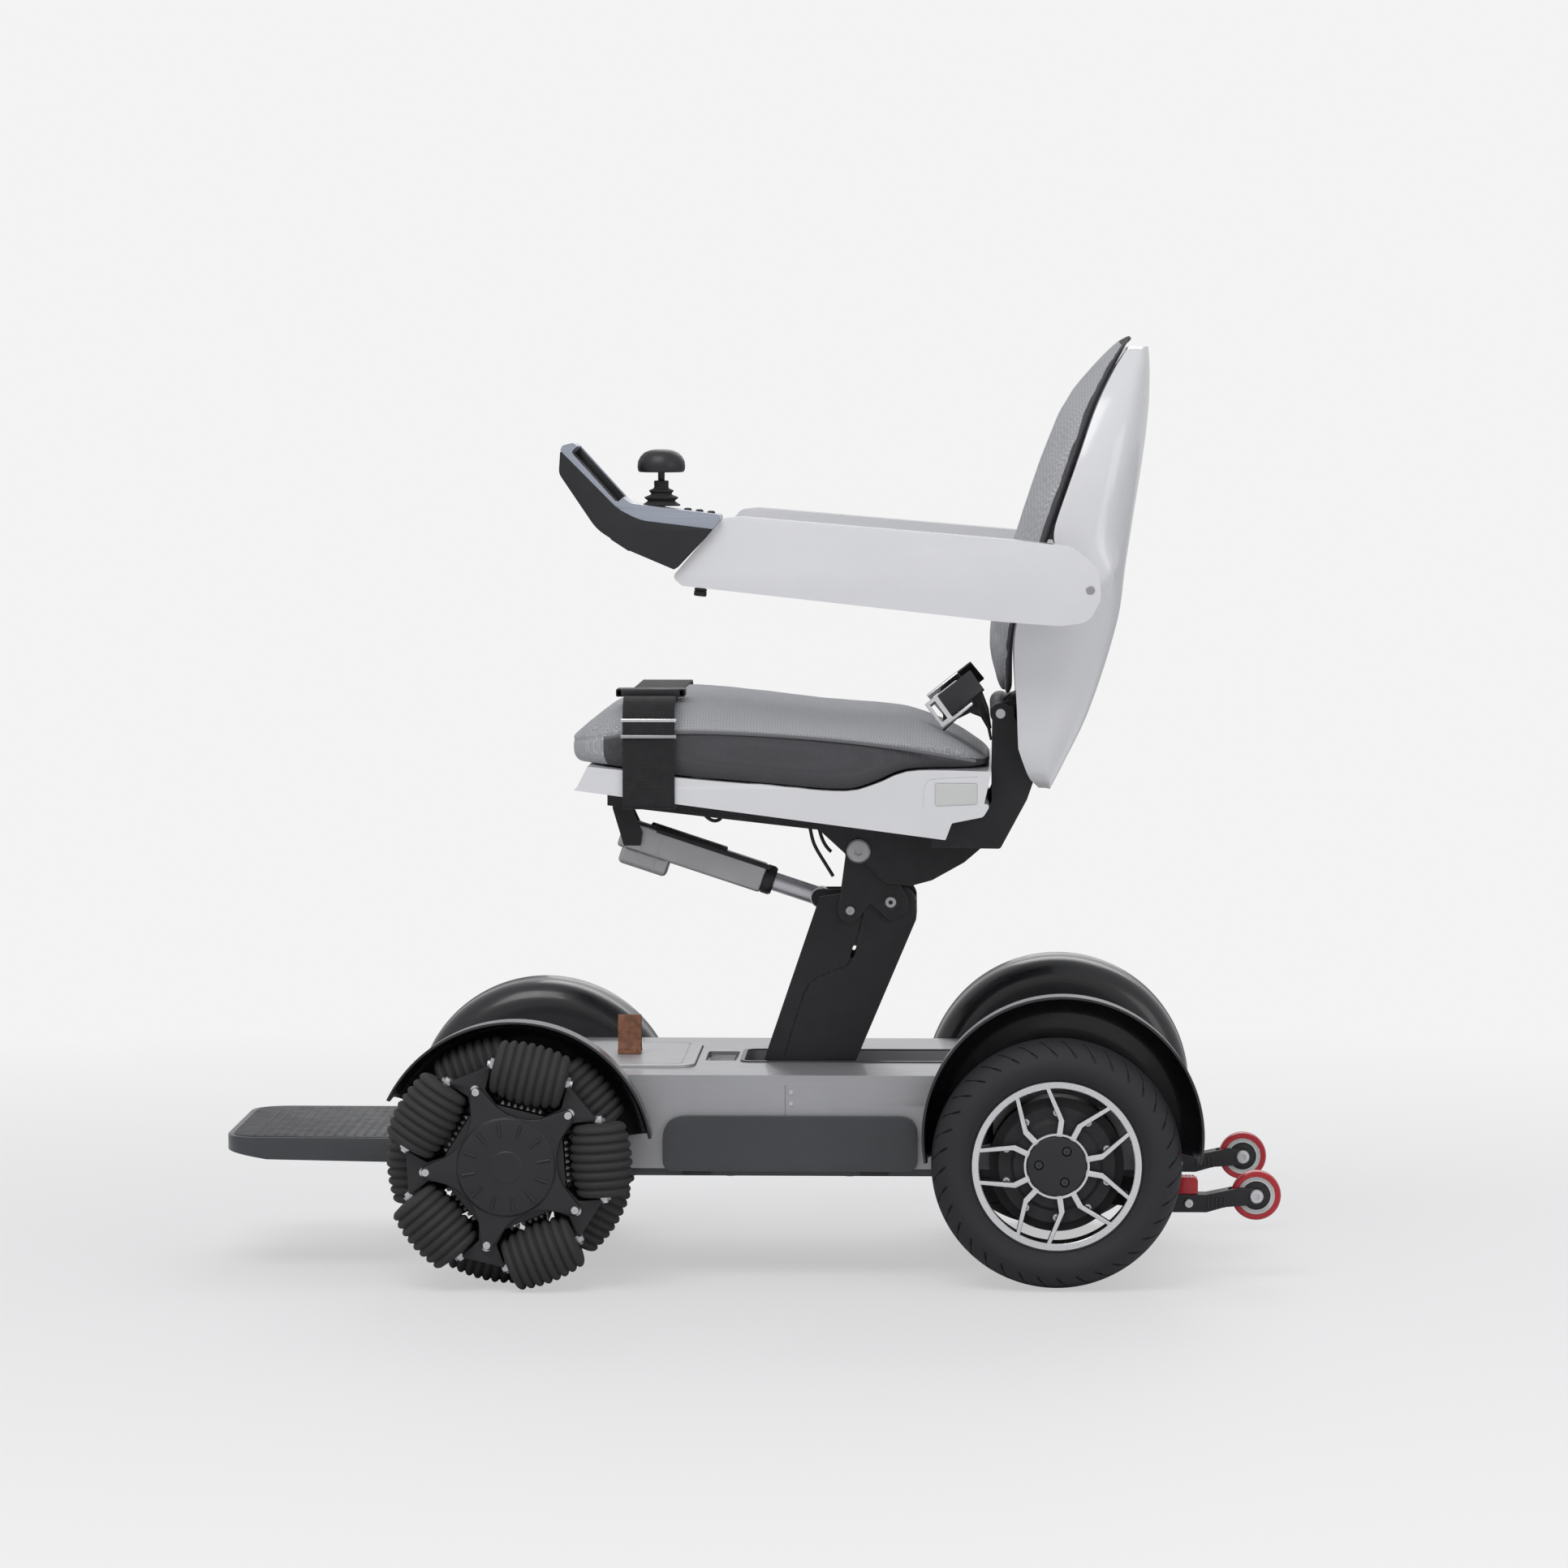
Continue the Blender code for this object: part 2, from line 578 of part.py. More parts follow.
def make_roller_row(name, centre, side, row_z, phase, hub_radius):
    """Five rollers in a row with the star that holds their axles; the inner row also carries the hub."""
    chord = WHEEL_R - ROLLER_R
    step = 2 * math.pi / ROLLERS
    outline = []
    for k in range(ROLLERS):
        spoke = Vector((math.cos(phase + k * step), math.sin(phase + k * step)))
        along = Vector((-spoke.y, spoke.x))
        for drop, aside in STAR_POINTS:
            outline.append(tuple(spoke * (chord - drop) + along * aside))
    curve = bpy.data.curves.new(name, "CURVE")
    curve.dimensions = "2D"
    curve.fill_mode = "BOTH"
    curve.extrude = STAR_HALF
    spline = curve.splines.new("POLY")
    spline.points.add(len(outline) - 1)
    for point, place in zip(spline.points, outline):
        point.co = (*place, 0.0, 1.0)
    spline.use_cyclic_u = True
    obj = bpy.data.objects.new(name, curve)
    PART_GROUP.objects.link(obj)
    obj.location = (0.0, 0.0, row_z)
    bpy.context.view_layer.update()
    star = bake(obj, "roller")
    pins = []
    for k in range(ROLLERS):
        angle = phase + k * step
        pins.append(barrel(f"{name}_r{k}", row_z, angle))
        spoke = Vector((math.cos(angle), math.sin(angle), 0.0)) * chord + Vector((0, 0, row_z))
        along = Vector((-math.sin(angle), math.cos(angle), 0.0)) * (ROLLER_HALF + 0.006)
        pins.append(rod(f"{name}_p{k}", spoke - along, spoke + along, 0.006, "steel", 6, group=CUTTER_GROUP))
    if hub_radius:
        reach = ROW_HALF - STAR_HALF - SEAT_GAP
        pins.append(rod(f"{name}_hub", (0, 0, row_z), (0, 0, reach), hub_radius, "roller", 20,
                        group=CUTTER_GROUP))
    row = join(star, *pins)
    row.data.transform(wheel_frame(centre, side))
    return seat_on(row, centre)


def make_roller_wheel(name, side):
    """A front wheel: two staggered rows of rollers on a hub, with a cover outside."""
    middle = side * (WHEEL_INNER_Y + ROW_HALF + ROLLER_R)
    centre = (FRONT_AXLE_X, middle, WHEEL_R)
    phase = -side * ROLLER_PHASE
    offset = phase + math.pi / ROLLERS
    make_roller_row(f"front_roller_row_outer_{name}", centre, side, ROW_HALF, phase, 0.0)
    make_roller_row(f"front_roller_row_inner_{name}", centre, side, -ROW_HALF, offset, HUB_R)
    face = ROW_HALF + STAR_HALF + SEAT_GAP
    profile = [(0.0, 0.012), (0.020, 0.0115), (0.040, 0.009), (0.048, 0.0055), (HUB_R, 0.0)]
    cover = turned(f"front_hub_cover_{name}", [(r, face + h) for r, h in profile] + [(0.0, face)],
                   (0, 0, 0), "black", 20)
    # a turned profile stands along -Y, which is the outer side of a left wheel
    if side == RIGHT:
        cover.data.transform(Matrix.Rotation(math.pi, 4, "Z"))
    cover.data.transform(Matrix.Translation(centre))
    seat_on(smooth(cover), centre)
    inner = WHEEL_INNER_Y + ROLLER_R - STAR_HALF - SEAT_GAP
    rod(f"front_axle_{name}", (FRONT_AXLE_X, side * (BASE_HALF + SEAT_GAP), WHEEL_R),
        (FRONT_AXLE_X, side * inner, WHEEL_R), AXLE_R, "steel")


def rim_window(middle, sides):
    """An opening in the rim about a middle angle; its sides are (radius, half angle) from the hub out."""
    outer_radius, outer_angle = sides[-1]
    ring = list(sides) + [(outer_radius, outer_angle * share) for share in (0.5, 0.0, -0.5)]
    ring += [(radius, -angle) for radius, angle in reversed(sides)]
    return [
        (radius * math.cos(math.radians(middle + angle)), radius * math.sin(math.radians(middle + angle)))
        for radius, angle in ring
    ]


def make_rear_wheel(name, side):
    """A rear wheel: tyre, spoked rim and the geared motor that carries it."""
    middle = side * (WHEEL_INNER_Y + TYRE_WIDTH / 2)
    centre = (REAR_AXLE_X, middle, WHEEL_R)
    half = TYRE_WIDTH / 2
    profile = [
        (RIM_R, half - 0.012), (RIM_R + 0.010, half), (WHEEL_R - 0.018, half - 0.002),
        (WHEEL_R - 0.006, half - 0.012), (WHEEL_R - 0.001, half - 0.028), (WHEEL_R, 0.0),
    ]
    section = profile + [(r, -y) for r, y in profile[-2::-1]]
    tyre = turned(f"rear_tyre_{name}", section + [section[0]], centre, "rubber", WHEEL_STEPS)
    seat_on(smooth(tyre), centre)

    lip = RIM_R - SEAT_GAP
    outer_y = half - 0.014
    barrel_section = [
        (lip, outer_y), (lip, -outer_y), (lip - 0.005, -outer_y), (lip - 0.005, outer_y), (lip, outer_y),
    ]
    ring = turned(f"rear_rim_{name}", barrel_section, (0, 0, 0), "alloy", WHEEL_STEPS)
    window = []
    for k in range(RIM_PAIRS):
        middle_angle = RIM_PAIR_ANGLE + 360 / RIM_PAIRS * k
        inside, outside = [], []
        for radius, angle, spoke_half in SPOKE_LINE:
            spread = math.degrees(spoke_half / radius)
            inside.append((radius, angle - spread))
            outside.append((radius, 180 / RIM_PAIRS - angle - spread))
        window.append(rim_window(middle_angle, inside))
        window.append(rim_window(middle_angle + 180 / RIM_PAIRS, outside))
    edge = lip - 0.0025
    circle = arc((0.0, 0.0), edge, 0, 360 - 360 / WHEEL_STEPS, WHEEL_STEPS - 1)
    face = plate("f", [circle] + window, -outer_y + 0.0005, -outer_y + 0.006, "alloy", CUTTER_GROUP)
    cap = turned(f"cap_{name}", [(0.0, outer_y + 0.007), (0.028, outer_y + 0.006), (0.034, outer_y + 0.001),
                                 (0.034, outer_y - 0.003), (0.0, outer_y - 0.003)], (0, 0, 0), "alloy", 16,
                 group=CUTTER_GROUP)
    rim = join(ring, face, cap)
    if side == RIGHT:
        rim.data.transform(Matrix.Rotation(math.pi, 4, "Z"))
    rim.data.transform(Matrix.Translation(centre))
    seat_on(rim, centre)

    # the motor lies in the rim and reaches in to the base
    motor_out = WHEEL_INNER_Y + TYRE_WIDTH - 0.014 - 0.006 - RUN_GAP
    drum = rod(f"rear_motor_{name}", (REAR_AXLE_X, side * (WHEEL_INNER_Y + 0.012), WHEEL_R),
               (REAR_AXLE_X, side * motor_out, WHEEL_R), MOTOR_R, "black", 28)
    stub = rod("s", (REAR_AXLE_X, side * (BASE_HALF + SEAT_GAP), WHEEL_R),
               (REAR_AXLE_X, side * (WHEEL_INNER_Y + 0.020), WHEEL_R), 0.026, "black", 16,
               group=CUTTER_GROUP)
    join(drum, stub)


def make_anti_tip(name, side):
    """A rear arm with its small wheel and the release lever beside it."""
    y = side * TIP_Y
    wheel_x = HALF_LENGTH - TIP_WHEEL_R
    wheel_z = TIP_WHEEL_Z
    reach = wheel_x - TIP_ROOT
    # the arm's stations from its root under the base to the wheel's axle
    front, knee, lever_x, fork, throat = (TIP_ROOT + reach * share for share in TIP_STATIONS)
    top = BASE_BOTTOM - SEAT_GAP
    arm_side = [
        (TIP_ROOT, wheel_z - 0.004), (knee, wheel_z - 0.018), (fork, wheel_z - 0.018),
        (throat, wheel_z - 0.0115), (wheel_x + 0.006, wheel_z - 0.008), (wheel_x + 0.010, wheel_z + 0.006),
        (wheel_x - 0.016, wheel_z + 0.009), (fork, TIP_SHELF), (knee, TIP_SHELF), (front, top),
        (TIP_ROOT, top),
    ]
    arm = plate(f"anti_tip_arm_{name}", [arm_side], y - 0.013, y + 0.013, "black")
    slot = box("s", (wheel_x - TIP_WHEEL_R - 0.003, y - 0.0085, 0.050), (wheel_x + 0.060, y + 0.0085, 0.140),
               None, CUTTER_GROUP)
    arm = cut(arm, slot)
    bore = 0.0055
    bolt = 0.005
    join(arm, rod("b", (wheel_x, y - 0.012, wheel_z), (wheel_x, y + 0.012, wheel_z), bolt, "black", 16,
                  group=CUTTER_GROUP))
    half = 0.0078
    profile = [
        (bore, half), (0.019, half), (TIP_WHEEL_R - 0.0015, half - 0.003), (TIP_WHEEL_R, 0.0),
        (TIP_WHEEL_R - 0.0015, -half + 0.003), (0.019, -half), (bore, -half), (bore, half),
    ]
    wheel = turned(f"anti_tip_wheel_{name}", profile, (wheel_x, y, wheel_z), "red", 20)
    seat_on(smooth(wheel), (wheel_x, y, wheel_z))
    lever = bevel(box(f"release_lever_{name}", (lever_x, y - 0.011, TIP_SHELF + SEAT_GAP),
                      (lever_x + 0.022, y + 0.011, TIP_SHELF + 0.018), "red"), 0.003)
    seat_on(lever, (lever_x, y, TIP_SHELF + SEAT_GAP))


def make_footplate():
    """The folding footplate with its hinge block and pin."""
    hinge_x, hinge_z = PLATE_HINGE
    front = -HALF_LENGTH
    bar_x = hinge_x - 0.0125
    tip = 0.060
    outline = rounded([
        (front, -PLATE_HALF + 0.018), (front + 0.010, -PLATE_HALF), (bar_x, -PLATE_HALF),
        (bar_x, PLATE_HALF), (front + 0.010, PLATE_HALF), (front, PLATE_HALF - 0.018),
    ], 0.012, 3)
    curve_top, curve_low = PLATE_TOP, PLATE_TOP - PLATE_THICK
    bm = bmesh.new()
    base = [bm.verts.new((x, y, curve_low)) for x, y in outline]
    face = bm.faces.new(base)
    grown = bmesh.ops.extrude_face_region(bm, geom=[face])
    up = [g for g in grown["geom"] if isinstance(g, bmesh.types.BMVert)]
    bmesh.ops.translate(bm, verts=up, vec=(0, 0, curve_top - curve_low))
    # the underside rises towards the toe
    for vert in bm.verts:
        if vert.co.z < curve_low + 0.001 and vert.co.x < front + tip:
            vert.co.z += 0.010 * (front + tip - vert.co.x) / tip
    plate_obj = bevel(finish_mesh(bm, "footplate", "dark"), 0.004, 1)
    ear_y = 0.060
    ears = []
    for sign in (-1, 1):
        low, high = sign * ear_y - 0.020, sign * ear_y + 0.020
        ears.append(rod("e", (hinge_x, low, hinge_z), (hinge_x, high, hinge_z), 0.009, "dark", 14,
                        group=CUTTER_GROUP))
        ears.append(box("e2", (bar_x - 0.012, low, hinge_z - 0.006),
                        (hinge_x - 0.005, high, hinge_z + 0.002), None, CUTTER_GROUP))
    bore = rod("b", (hinge_x, -0.2, hinge_z), (hinge_x, 0.2, hinge_z), 0.0046, None, 14, group=CUTTER_GROUP)
    plate_obj = cut(join(bake(plate_obj, "dark"), *ears), bore)
    seat_on(plate_obj, (hinge_x, 0.0, hinge_z))
    face = BASE_FRONT - SEAT_GAP
    bracket = plate("footplate_bracket", [[
        (hinge_x - 0.009, hinge_z - 0.009), (face, hinge_z - 0.014), (face, hinge_z + 0.030),
        (face - 0.006, hinge_z + 0.030), (face - 0.006, hinge_z + 0.009), (hinge_x - 0.009, hinge_z + 0.009),
    ]], -0.036, 0.036, "black")
    join(bracket, rod("b", (hinge_x, -0.088, hinge_z), (hinge_x, 0.088, hinge_z), 0.004, "black", 14,
                      group=CUTTER_GROUP))


# Post, lift bracket and actuator

def along_seat(x, drop=0.0):
    """Height of the seat pan's underside at x, less a drop."""
    return PAN_FRONT[1] - (x - PAN_FRONT[0]) * math.tan(SEAT_SLOPE) - drop


def make_post():
    """A channel section post, open at the front, that folds back into the base."""
    px, pz = POST_PIVOT
    lx, lz = LIFT_PIVOT
    foot = arc((px, pz), 0.028, 200, 340, 7)
    head = [(POST_TOP_REAR[0] + 0.001, POST_TOP_REAR[1] - 0.030)]
    head += arc((lx + 0.008, lz - 0.002), 0.019, 10, 90, 5)
    side = foot + [POST_FOOT_REAR] + head + [POST_TOP_FRONT, POST_FOOT_FRONT]
    body = plate("post", [side], -POST_HALF, POST_HALF, "black")
    inner = POST_HALF - POST_PLATE
    # the hollow of the channel, clear of the web along the rear edge
    run = Vector(POST_TOP_REAR) - Vector(POST_FOOT_REAR)
    web = Vector((-run.y, run.x)).normalized() * (POST_PLATE + 0.004)
    low, high = Vector(POST_FOOT_REAR) + web, Vector(POST_TOP_REAR) + web
    up = (high - low).normalized()
    hollow = plate("h", [[
        tuple(low + up * 0.045), tuple(low + up * 0.150), tuple(high + up * 0.1 + Vector((0.06, 0.0))),
        (POST_TOP_FRONT[0] - 0.15, POST_TOP_FRONT[1] + 0.1), (POST_FOOT_FRONT[0] - 0.08, low.y + 0.045),
    ]], -inner, inner, None, CUTTER_GROUP)
    bore = rod("b", (px, -0.1, pz), (px, 0.1, pz), POST_PIN_R + RUN_GAP, None, 20, group=CUTTER_GROUP)
    bore2 = rod("b2", (lx, -0.1, lz), (lx, 0.1, lz), LIFT_PIN_R + RUN_GAP, None, 20, group=CUTTER_GROUP)
    seat_on(cut(body, hollow, bore, bore2), (px, 0.0, pz))


def lobes(points):
    """An outline that goes round discs given as (centre, radius, start angle, end angle)."""
    outline = []
    for centre, radius, start, end in points:
        outline += arc(centre, radius, start, end, 3)
    return outline


def make_lift_bracket():
    """Two cheeks outside the post and two levers inside it, all on the lift pin."""
    lx, lz = LIFT_PIVOT
    inner = POST_HALF + RUN_GAP
    outer = inner + CHEEK
    cheek = lobes([
        (LIFT_PIVOT, 0.019, -95, 25), (TILT_PIVOT, 0.014, 25, 190), (LATCH_BOLT, 0.013, 180, 300),
    ]) + [(0.124, 0.384)]
    made = plate("lift_bracket", [cheek], -outer, -inner, "black")
    parts = [plate("k", [cheek], inner, outer, "black", CUTTER_GROUP)]
    lever = lobes([(LIFT_PIVOT, 0.011, -90, 90), (ACT_REAR, 0.0095, 90, 270)])
    rod_clear = EYE_HALF + RUN_GAP
    for sign in (-1, 1):
        ends = sorted((sign * rod_clear, sign * (rod_clear + 0.006)))
        parts.append(plate(f"v{sign}", [lever], *ends, "black", CUTTER_GROUP))
        ends = (sign * (inner + 0.002), sign * (outer + RUN_GAP + CHEEK + RUN_GAP))
        tilt_x, tilt_z = TILT_PIVOT
        parts.append(rod(f"b{sign}", (tilt_x, ends[0], tilt_z), (tilt_x, ends[1], tilt_z), TILT_BOLT_R,
                         "black", 10, group=CUTTER_GROUP))
        parts.append(rod(f"h{sign}", (tilt_x, ends[1] - sign * 0.0002, tilt_z),
                         (tilt_x, ends[1] + sign * 0.005, tilt_z), 0.012, "black", 12, group=CUTTER_GROUP))
        parts.append(rod(f"l{sign}", (LATCH_BOLT[0], sign * (inner + 0.002), LATCH_BOLT[1]),
                         (LATCH_BOLT[0], sign * (outer + 0.005), LATCH_BOLT[1]), 0.0055, "black", 8,
                         group=CUTTER_GROUP))
    parts.append(rod("pin", (lx, -outer - 0.003, lz), (lx, outer + 0.003, lz), LIFT_PIN_R, "black", 12,
                     group=CUTTER_GROUP))
    parts.append(rod("eye_pin", (ACT_REAR[0], -rod_clear - 0.004, ACT_REAR[1]),
                     (ACT_REAR[0], rod_clear + 0.004, ACT_REAR[1]), ACT_PIN_R, "black", 10,
                     group=CUTTER_GROUP))
    seat_on(join(made, *parts), (lx, 0.0, lz))


def make_seat_frame():
    """Rails under the pan, hangers with a foot under the back bracket, and the actuator's lugs."""
    low = POST_HALF + RUN_GAP + CHEEK + RUN_GAP
    high = low + CHEEK
    top = SEAT_GAP
    depth = 0.022
    notch = STRAP_LOW - STRAP_THICK - 2 * SOFT_GAP
    tx, tz = TILT_PIVOT
    rail = [
        (RAIL_FRONT, along_seat(RAIL_FRONT, top)), (RAIL_FRONT, along_seat(RAIL_FRONT, depth)),
        (0.070, along_seat(0.070, depth - 0.004)),
    ] + arc((tx, tz), 0.015, 190, 300, 5) + list(HANGER_LINE) + [
        (0.188, along_seat(0.188, top)),
        (STRAP_REAR + 0.002, along_seat(STRAP_REAR + 0.002, top)), (STRAP_REAR + 0.002, notch),
        (STRAP_FRONT - 0.0015, notch), (STRAP_FRONT - 0.0015, along_seat(STRAP_FRONT - 0.0015, top)),
    ]
    made = plate("seat_frame", [rail], -high, -low, "black")
    parts = [plate("r", [rail], low, high, "black", CUTTER_GROUP)]
    middle = (low + high) / 2
    parts.append(plate("t1", [[
        (0.176, along_seat(0.176, 0.0045)), (0.185, along_seat(0.185, 0.0045)),
        (0.185, along_seat(0.185, 0.001)), (0.176, along_seat(0.176, 0.001)),
    ]], -middle, middle, "black", CUTTER_GROUP))
    face = STRAP_FRONT - 0.003
    parts.append(plate("t2", [[
        (RAIL_FRONT + 0.001, along_seat(RAIL_FRONT, 0.018)), (face, along_seat(RAIL_FRONT, 0.018)),
        (face, along_seat(face, 0.001)), (RAIL_FRONT + 0.001, along_seat(RAIL_FRONT + 0.001, 0.001)),
    ]], -middle, middle, "black", CUTTER_GROUP))
    ax, az = ACT_FRONT
    for sign in (-1, 1):
        ends = sorted((sign * (ACT_HALF + RUN_GAP), sign * (ACT_HALF + RUN_GAP + 0.005)))
        parts.append(plate(f"lug{sign}", [[
            (ax - 0.010, az - 0.010), (ax + 0.008, az - 0.010), (ax + 0.010, az + 0.004),
            (face - 0.001, az + 0.034),
            (face - 0.001, along_seat(face, 0.004)), (RAIL_FRONT + 0.003, along_seat(RAIL_FRONT, 0.004)),
            (RAIL_FRONT + 0.003, az + 0.030),
        ]], *ends, "black", CUTTER_GROUP))
    parts.append(rod("act_pin", (ax, -ACT_HALF - 0.004, az), (ax, ACT_HALF + 0.004, az), ACT_PIN_R, "black",
                     12, group=CUTTER_GROUP))
    bores = [rod(f"b{sign}", (tx, sign * (low - 0.01), tz), (tx, sign * (high + 0.01), tz),
                 TILT_BOLT_R + RUN_GAP, None, 16, group=CUTTER_GROUP) for sign in (-1, 1)]
    seat_on(cut(join(made, *parts), *bores), (tx, 0.0, tz))


def make_actuator():
    """A linear actuator: motor end, square body and a rod that slides out of it."""
    start = Vector((ACT_FRONT[0], 0.0, ACT_FRONT[1]))
    end = Vector((ACT_REAR[0], 0.0, ACT_REAR[1]))
    along = (end - start).normalized()
    angle = -math.atan2(along.z, along.x)
    h = ACT_HALF
    body = bake(bevel(box("actuator_body", (-0.014, -h, -h), (ACT_BODY, h, h), "alloy"), 0.004, 1), "alloy")
    motor = box("m", (-0.008, -h, -0.032), (0.052, h, -h + 0.004), "alloy", CUTTER_GROUP)
    body = join(body, bake(bevel(motor, 0.006, 1), "alloy"))
    bores = [
        rod("b", (ACT_BODY - ROD_IN - 0.012, 0, 0), (ACT_BODY + 0.05, 0, 0), ROD_R + RUN_GAP, None, 16,
            group=CUTTER_GROUP),
        rod("b2", (0, -0.1, 0), (0, 0.1, 0), ACT_PIN_R + RUN_GAP, None, 16, group=CUTTER_GROUP),
    ]
    body = cut(body, *bores)
    length = (end - start).length
    shaft = rod("actuator_rod", (ACT_BODY - ROD_IN, 0, 0), (length - 0.006, 0, 0), ROD_R, "steel", 16)
    eye = rod("e", (length, -EYE_HALF, 0), (length, EYE_HALF, 0), 0.011, "steel", 20, group=CUTTER_GROUP)
    bore = rod("b3", (length, -0.1, 0), (length, 0.1, 0), ACT_PIN_R + RUN_GAP, None, 16, group=CUTTER_GROUP)
    shaft = cut(join(shaft, eye), bore)
    place = Matrix.Translation(start) @ Matrix.Rotation(angle, 4, "Y")
    for obj in (body, shaft):
        obj.data.transform(place)
        seat_on(obj, start)


# Seat

def soft_block(name, low, high, shape, look, cuts=7):
    """A crowned pad: a subdivided cube bent by a function of its unit coordinates."""
    bm = bmesh.new()
    bmesh.ops.create_cube(bm, size=2.0)
    bmesh.ops.subdivide_edges(bm, edges=bm.edges, cuts=cuts, use_grid_fill=True)
    for vert in bm.verts:
        vert.co = shape(*vert.co, low, high)
    bmesh.ops.recalc_face_normals(bm, faces=bm.faces)
    mesh = bpy.data.meshes.new(name)
    bm.to_mesh(mesh)
    bm.free()
    obj = add_object(name, mesh, look)
    mesh.shade_smooth()
    return obj


def between(table, x):
    """A height read from a few (x, z) stations."""
    if x <= table[0][0]:
        return table[0][1]
    for (x0, z0), (x1, z1) in zip(table, table[1:]):
        if x <= x1:
            return z0 + (z1 - z0) * (x - x0) / (x1 - x0)
    return table[-1][1]


def highest(table, x, reach):
    """The highest level of a line of stations within a reach of x."""
    near = [z for station, z in table if abs(station - x) <= reach]
    return max([between(table, x - reach), between(table, x + reach), *near])


def pad_plan(u, v, w, power=5.0, pull=0.05):
    """Round a square plan's corners and draw its edges in above and below the middle."""
    reach = (abs(u) ** power + abs(v) ** power) ** (1 / power)
    most = max(abs(u), abs(v))
    scale = most / reach if reach > 1e-9 else 1.0
    edge = 1.0 - pull * abs(w) ** 3
    return u * scale * edge, v * scale * edge, most


def seat_pad_shape(u, v, w, low, high):
    """The seat cushion: flat where it rests on the pan, crowned on top, with a rounded nose."""
    fu, fv, most = pad_plan(u, v, w)
    x = (low[0] + high[0]) / 2 + fu * (high[0] - low[0]) / 2
    y = fv * high[1]
    bottom = highest(PAN_TOP_LINE, x, PAD_COLUMN) + SOFT_GAP
    top = between(SEAT_TOP_LINE, x) - 0.010 * most ** 4
    return Vector((x, y, bottom + (top - bottom) * (w + 1) / 2))


def make_seat():
    """Pan, cushion, front strap and lap belt halves."""
    underside = [(PAN_FRONT[0], PAN_FRONT[1]), (PAN_REAR_LOW[0], PAN_REAR_LOW[1])]
    outline = underside + [(0.2115, 0.480), (0.2440, 0.4865), (0.2525, 0.500), (0.2525, 0.5337)]
    outline += [p for p in reversed(PAN_TOP_LINE[:-1])]
    pan = bevel(plate("seat_pan", [outline], -SEAT_HALF, SEAT_HALF, "white"), 0.003)
    roof = [(x, z - PAN_ROOF) for x, z in PAN_TOP_LINE if POCKET_FRONT < x < POCKET_REAR]
    section = [(x, along_seat(x, 0.020)) for x in (POCKET_FRONT, POCKET_REAR)]
    section += [(POCKET_REAR, between(PAN_TOP_LINE, POCKET_REAR) - PAN_ROOF), *reversed(roof),
                (POCKET_FRONT, between(PAN_TOP_LINE, POCKET_FRONT) - PAN_ROOF)]
    pockets = []
    for side in (LEFT, RIGHT):
        ends = sorted((side * POCKET_INNER, side * (SEAT_HALF - PAN_WALL)))
        pockets.append(plate(f"p{side}", [section], *ends, None, CUTTER_GROUP))
    tilt = (TILT_PIVOT[0], 0.0, TILT_PIVOT[1])
    seat_on(cut(bake(pan, "white"), *pockets), tilt)
    seat_on(soft_block("seat_cushion", (CUSHION_FRONT, -SEAT_HALF), (CUSHION_REAR, SEAT_HALF - 0.002),
                       seat_pad_shape, "cloth"), tilt)

    half = SEAT_HALF + 0.0012
    low, high = STRAP_LOW, STRAP_HIGH
    inner = rounded([(-half, low), (half, low), (half, high), (-half, high)], 0.010)
    t = STRAP_THICK
    outer = rounded([
        (-half - t, low - t), (half + t, low - t), (half + t, high + t), (-half - t, high + t)], 0.012)
    strap = plate("front_strap", [outer, inner], -STRAP_REAR, -STRAP_FRONT, "webbing")
    strap.data.transform(Matrix.Rotation(math.pi / 2, 4, "Z"))
    seat_on(strap, tilt)

    for name, side in SIDES.items():
        y_low, y_high = sorted((side * 0.093, side * 0.131))
        path = [
            (0.2532, 0.5640), (0.2420, 0.5740), (0.2200, 0.5835), (0.1900, 0.5900), (0.1700, 0.5925),
            (0.1700, 0.5900), (0.1900, 0.5870), (0.2190, 0.5795), (0.2400, 0.5700), (0.2532, 0.5606),
        ]
        belt = plate(f"lap_belt_{name}", [path], y_low, y_high, "webbing")
        buckle = plate("k", [[
            (0.1640, 0.5885), (0.2000, 0.5850), (0.2010, 0.5940), (0.1640, 0.5975),
        ]], y_low - 0.003, y_high + 0.003, "webbing", CUTTER_GROUP)
        seat_on(join(belt, buckle), tilt)


# Back and arms

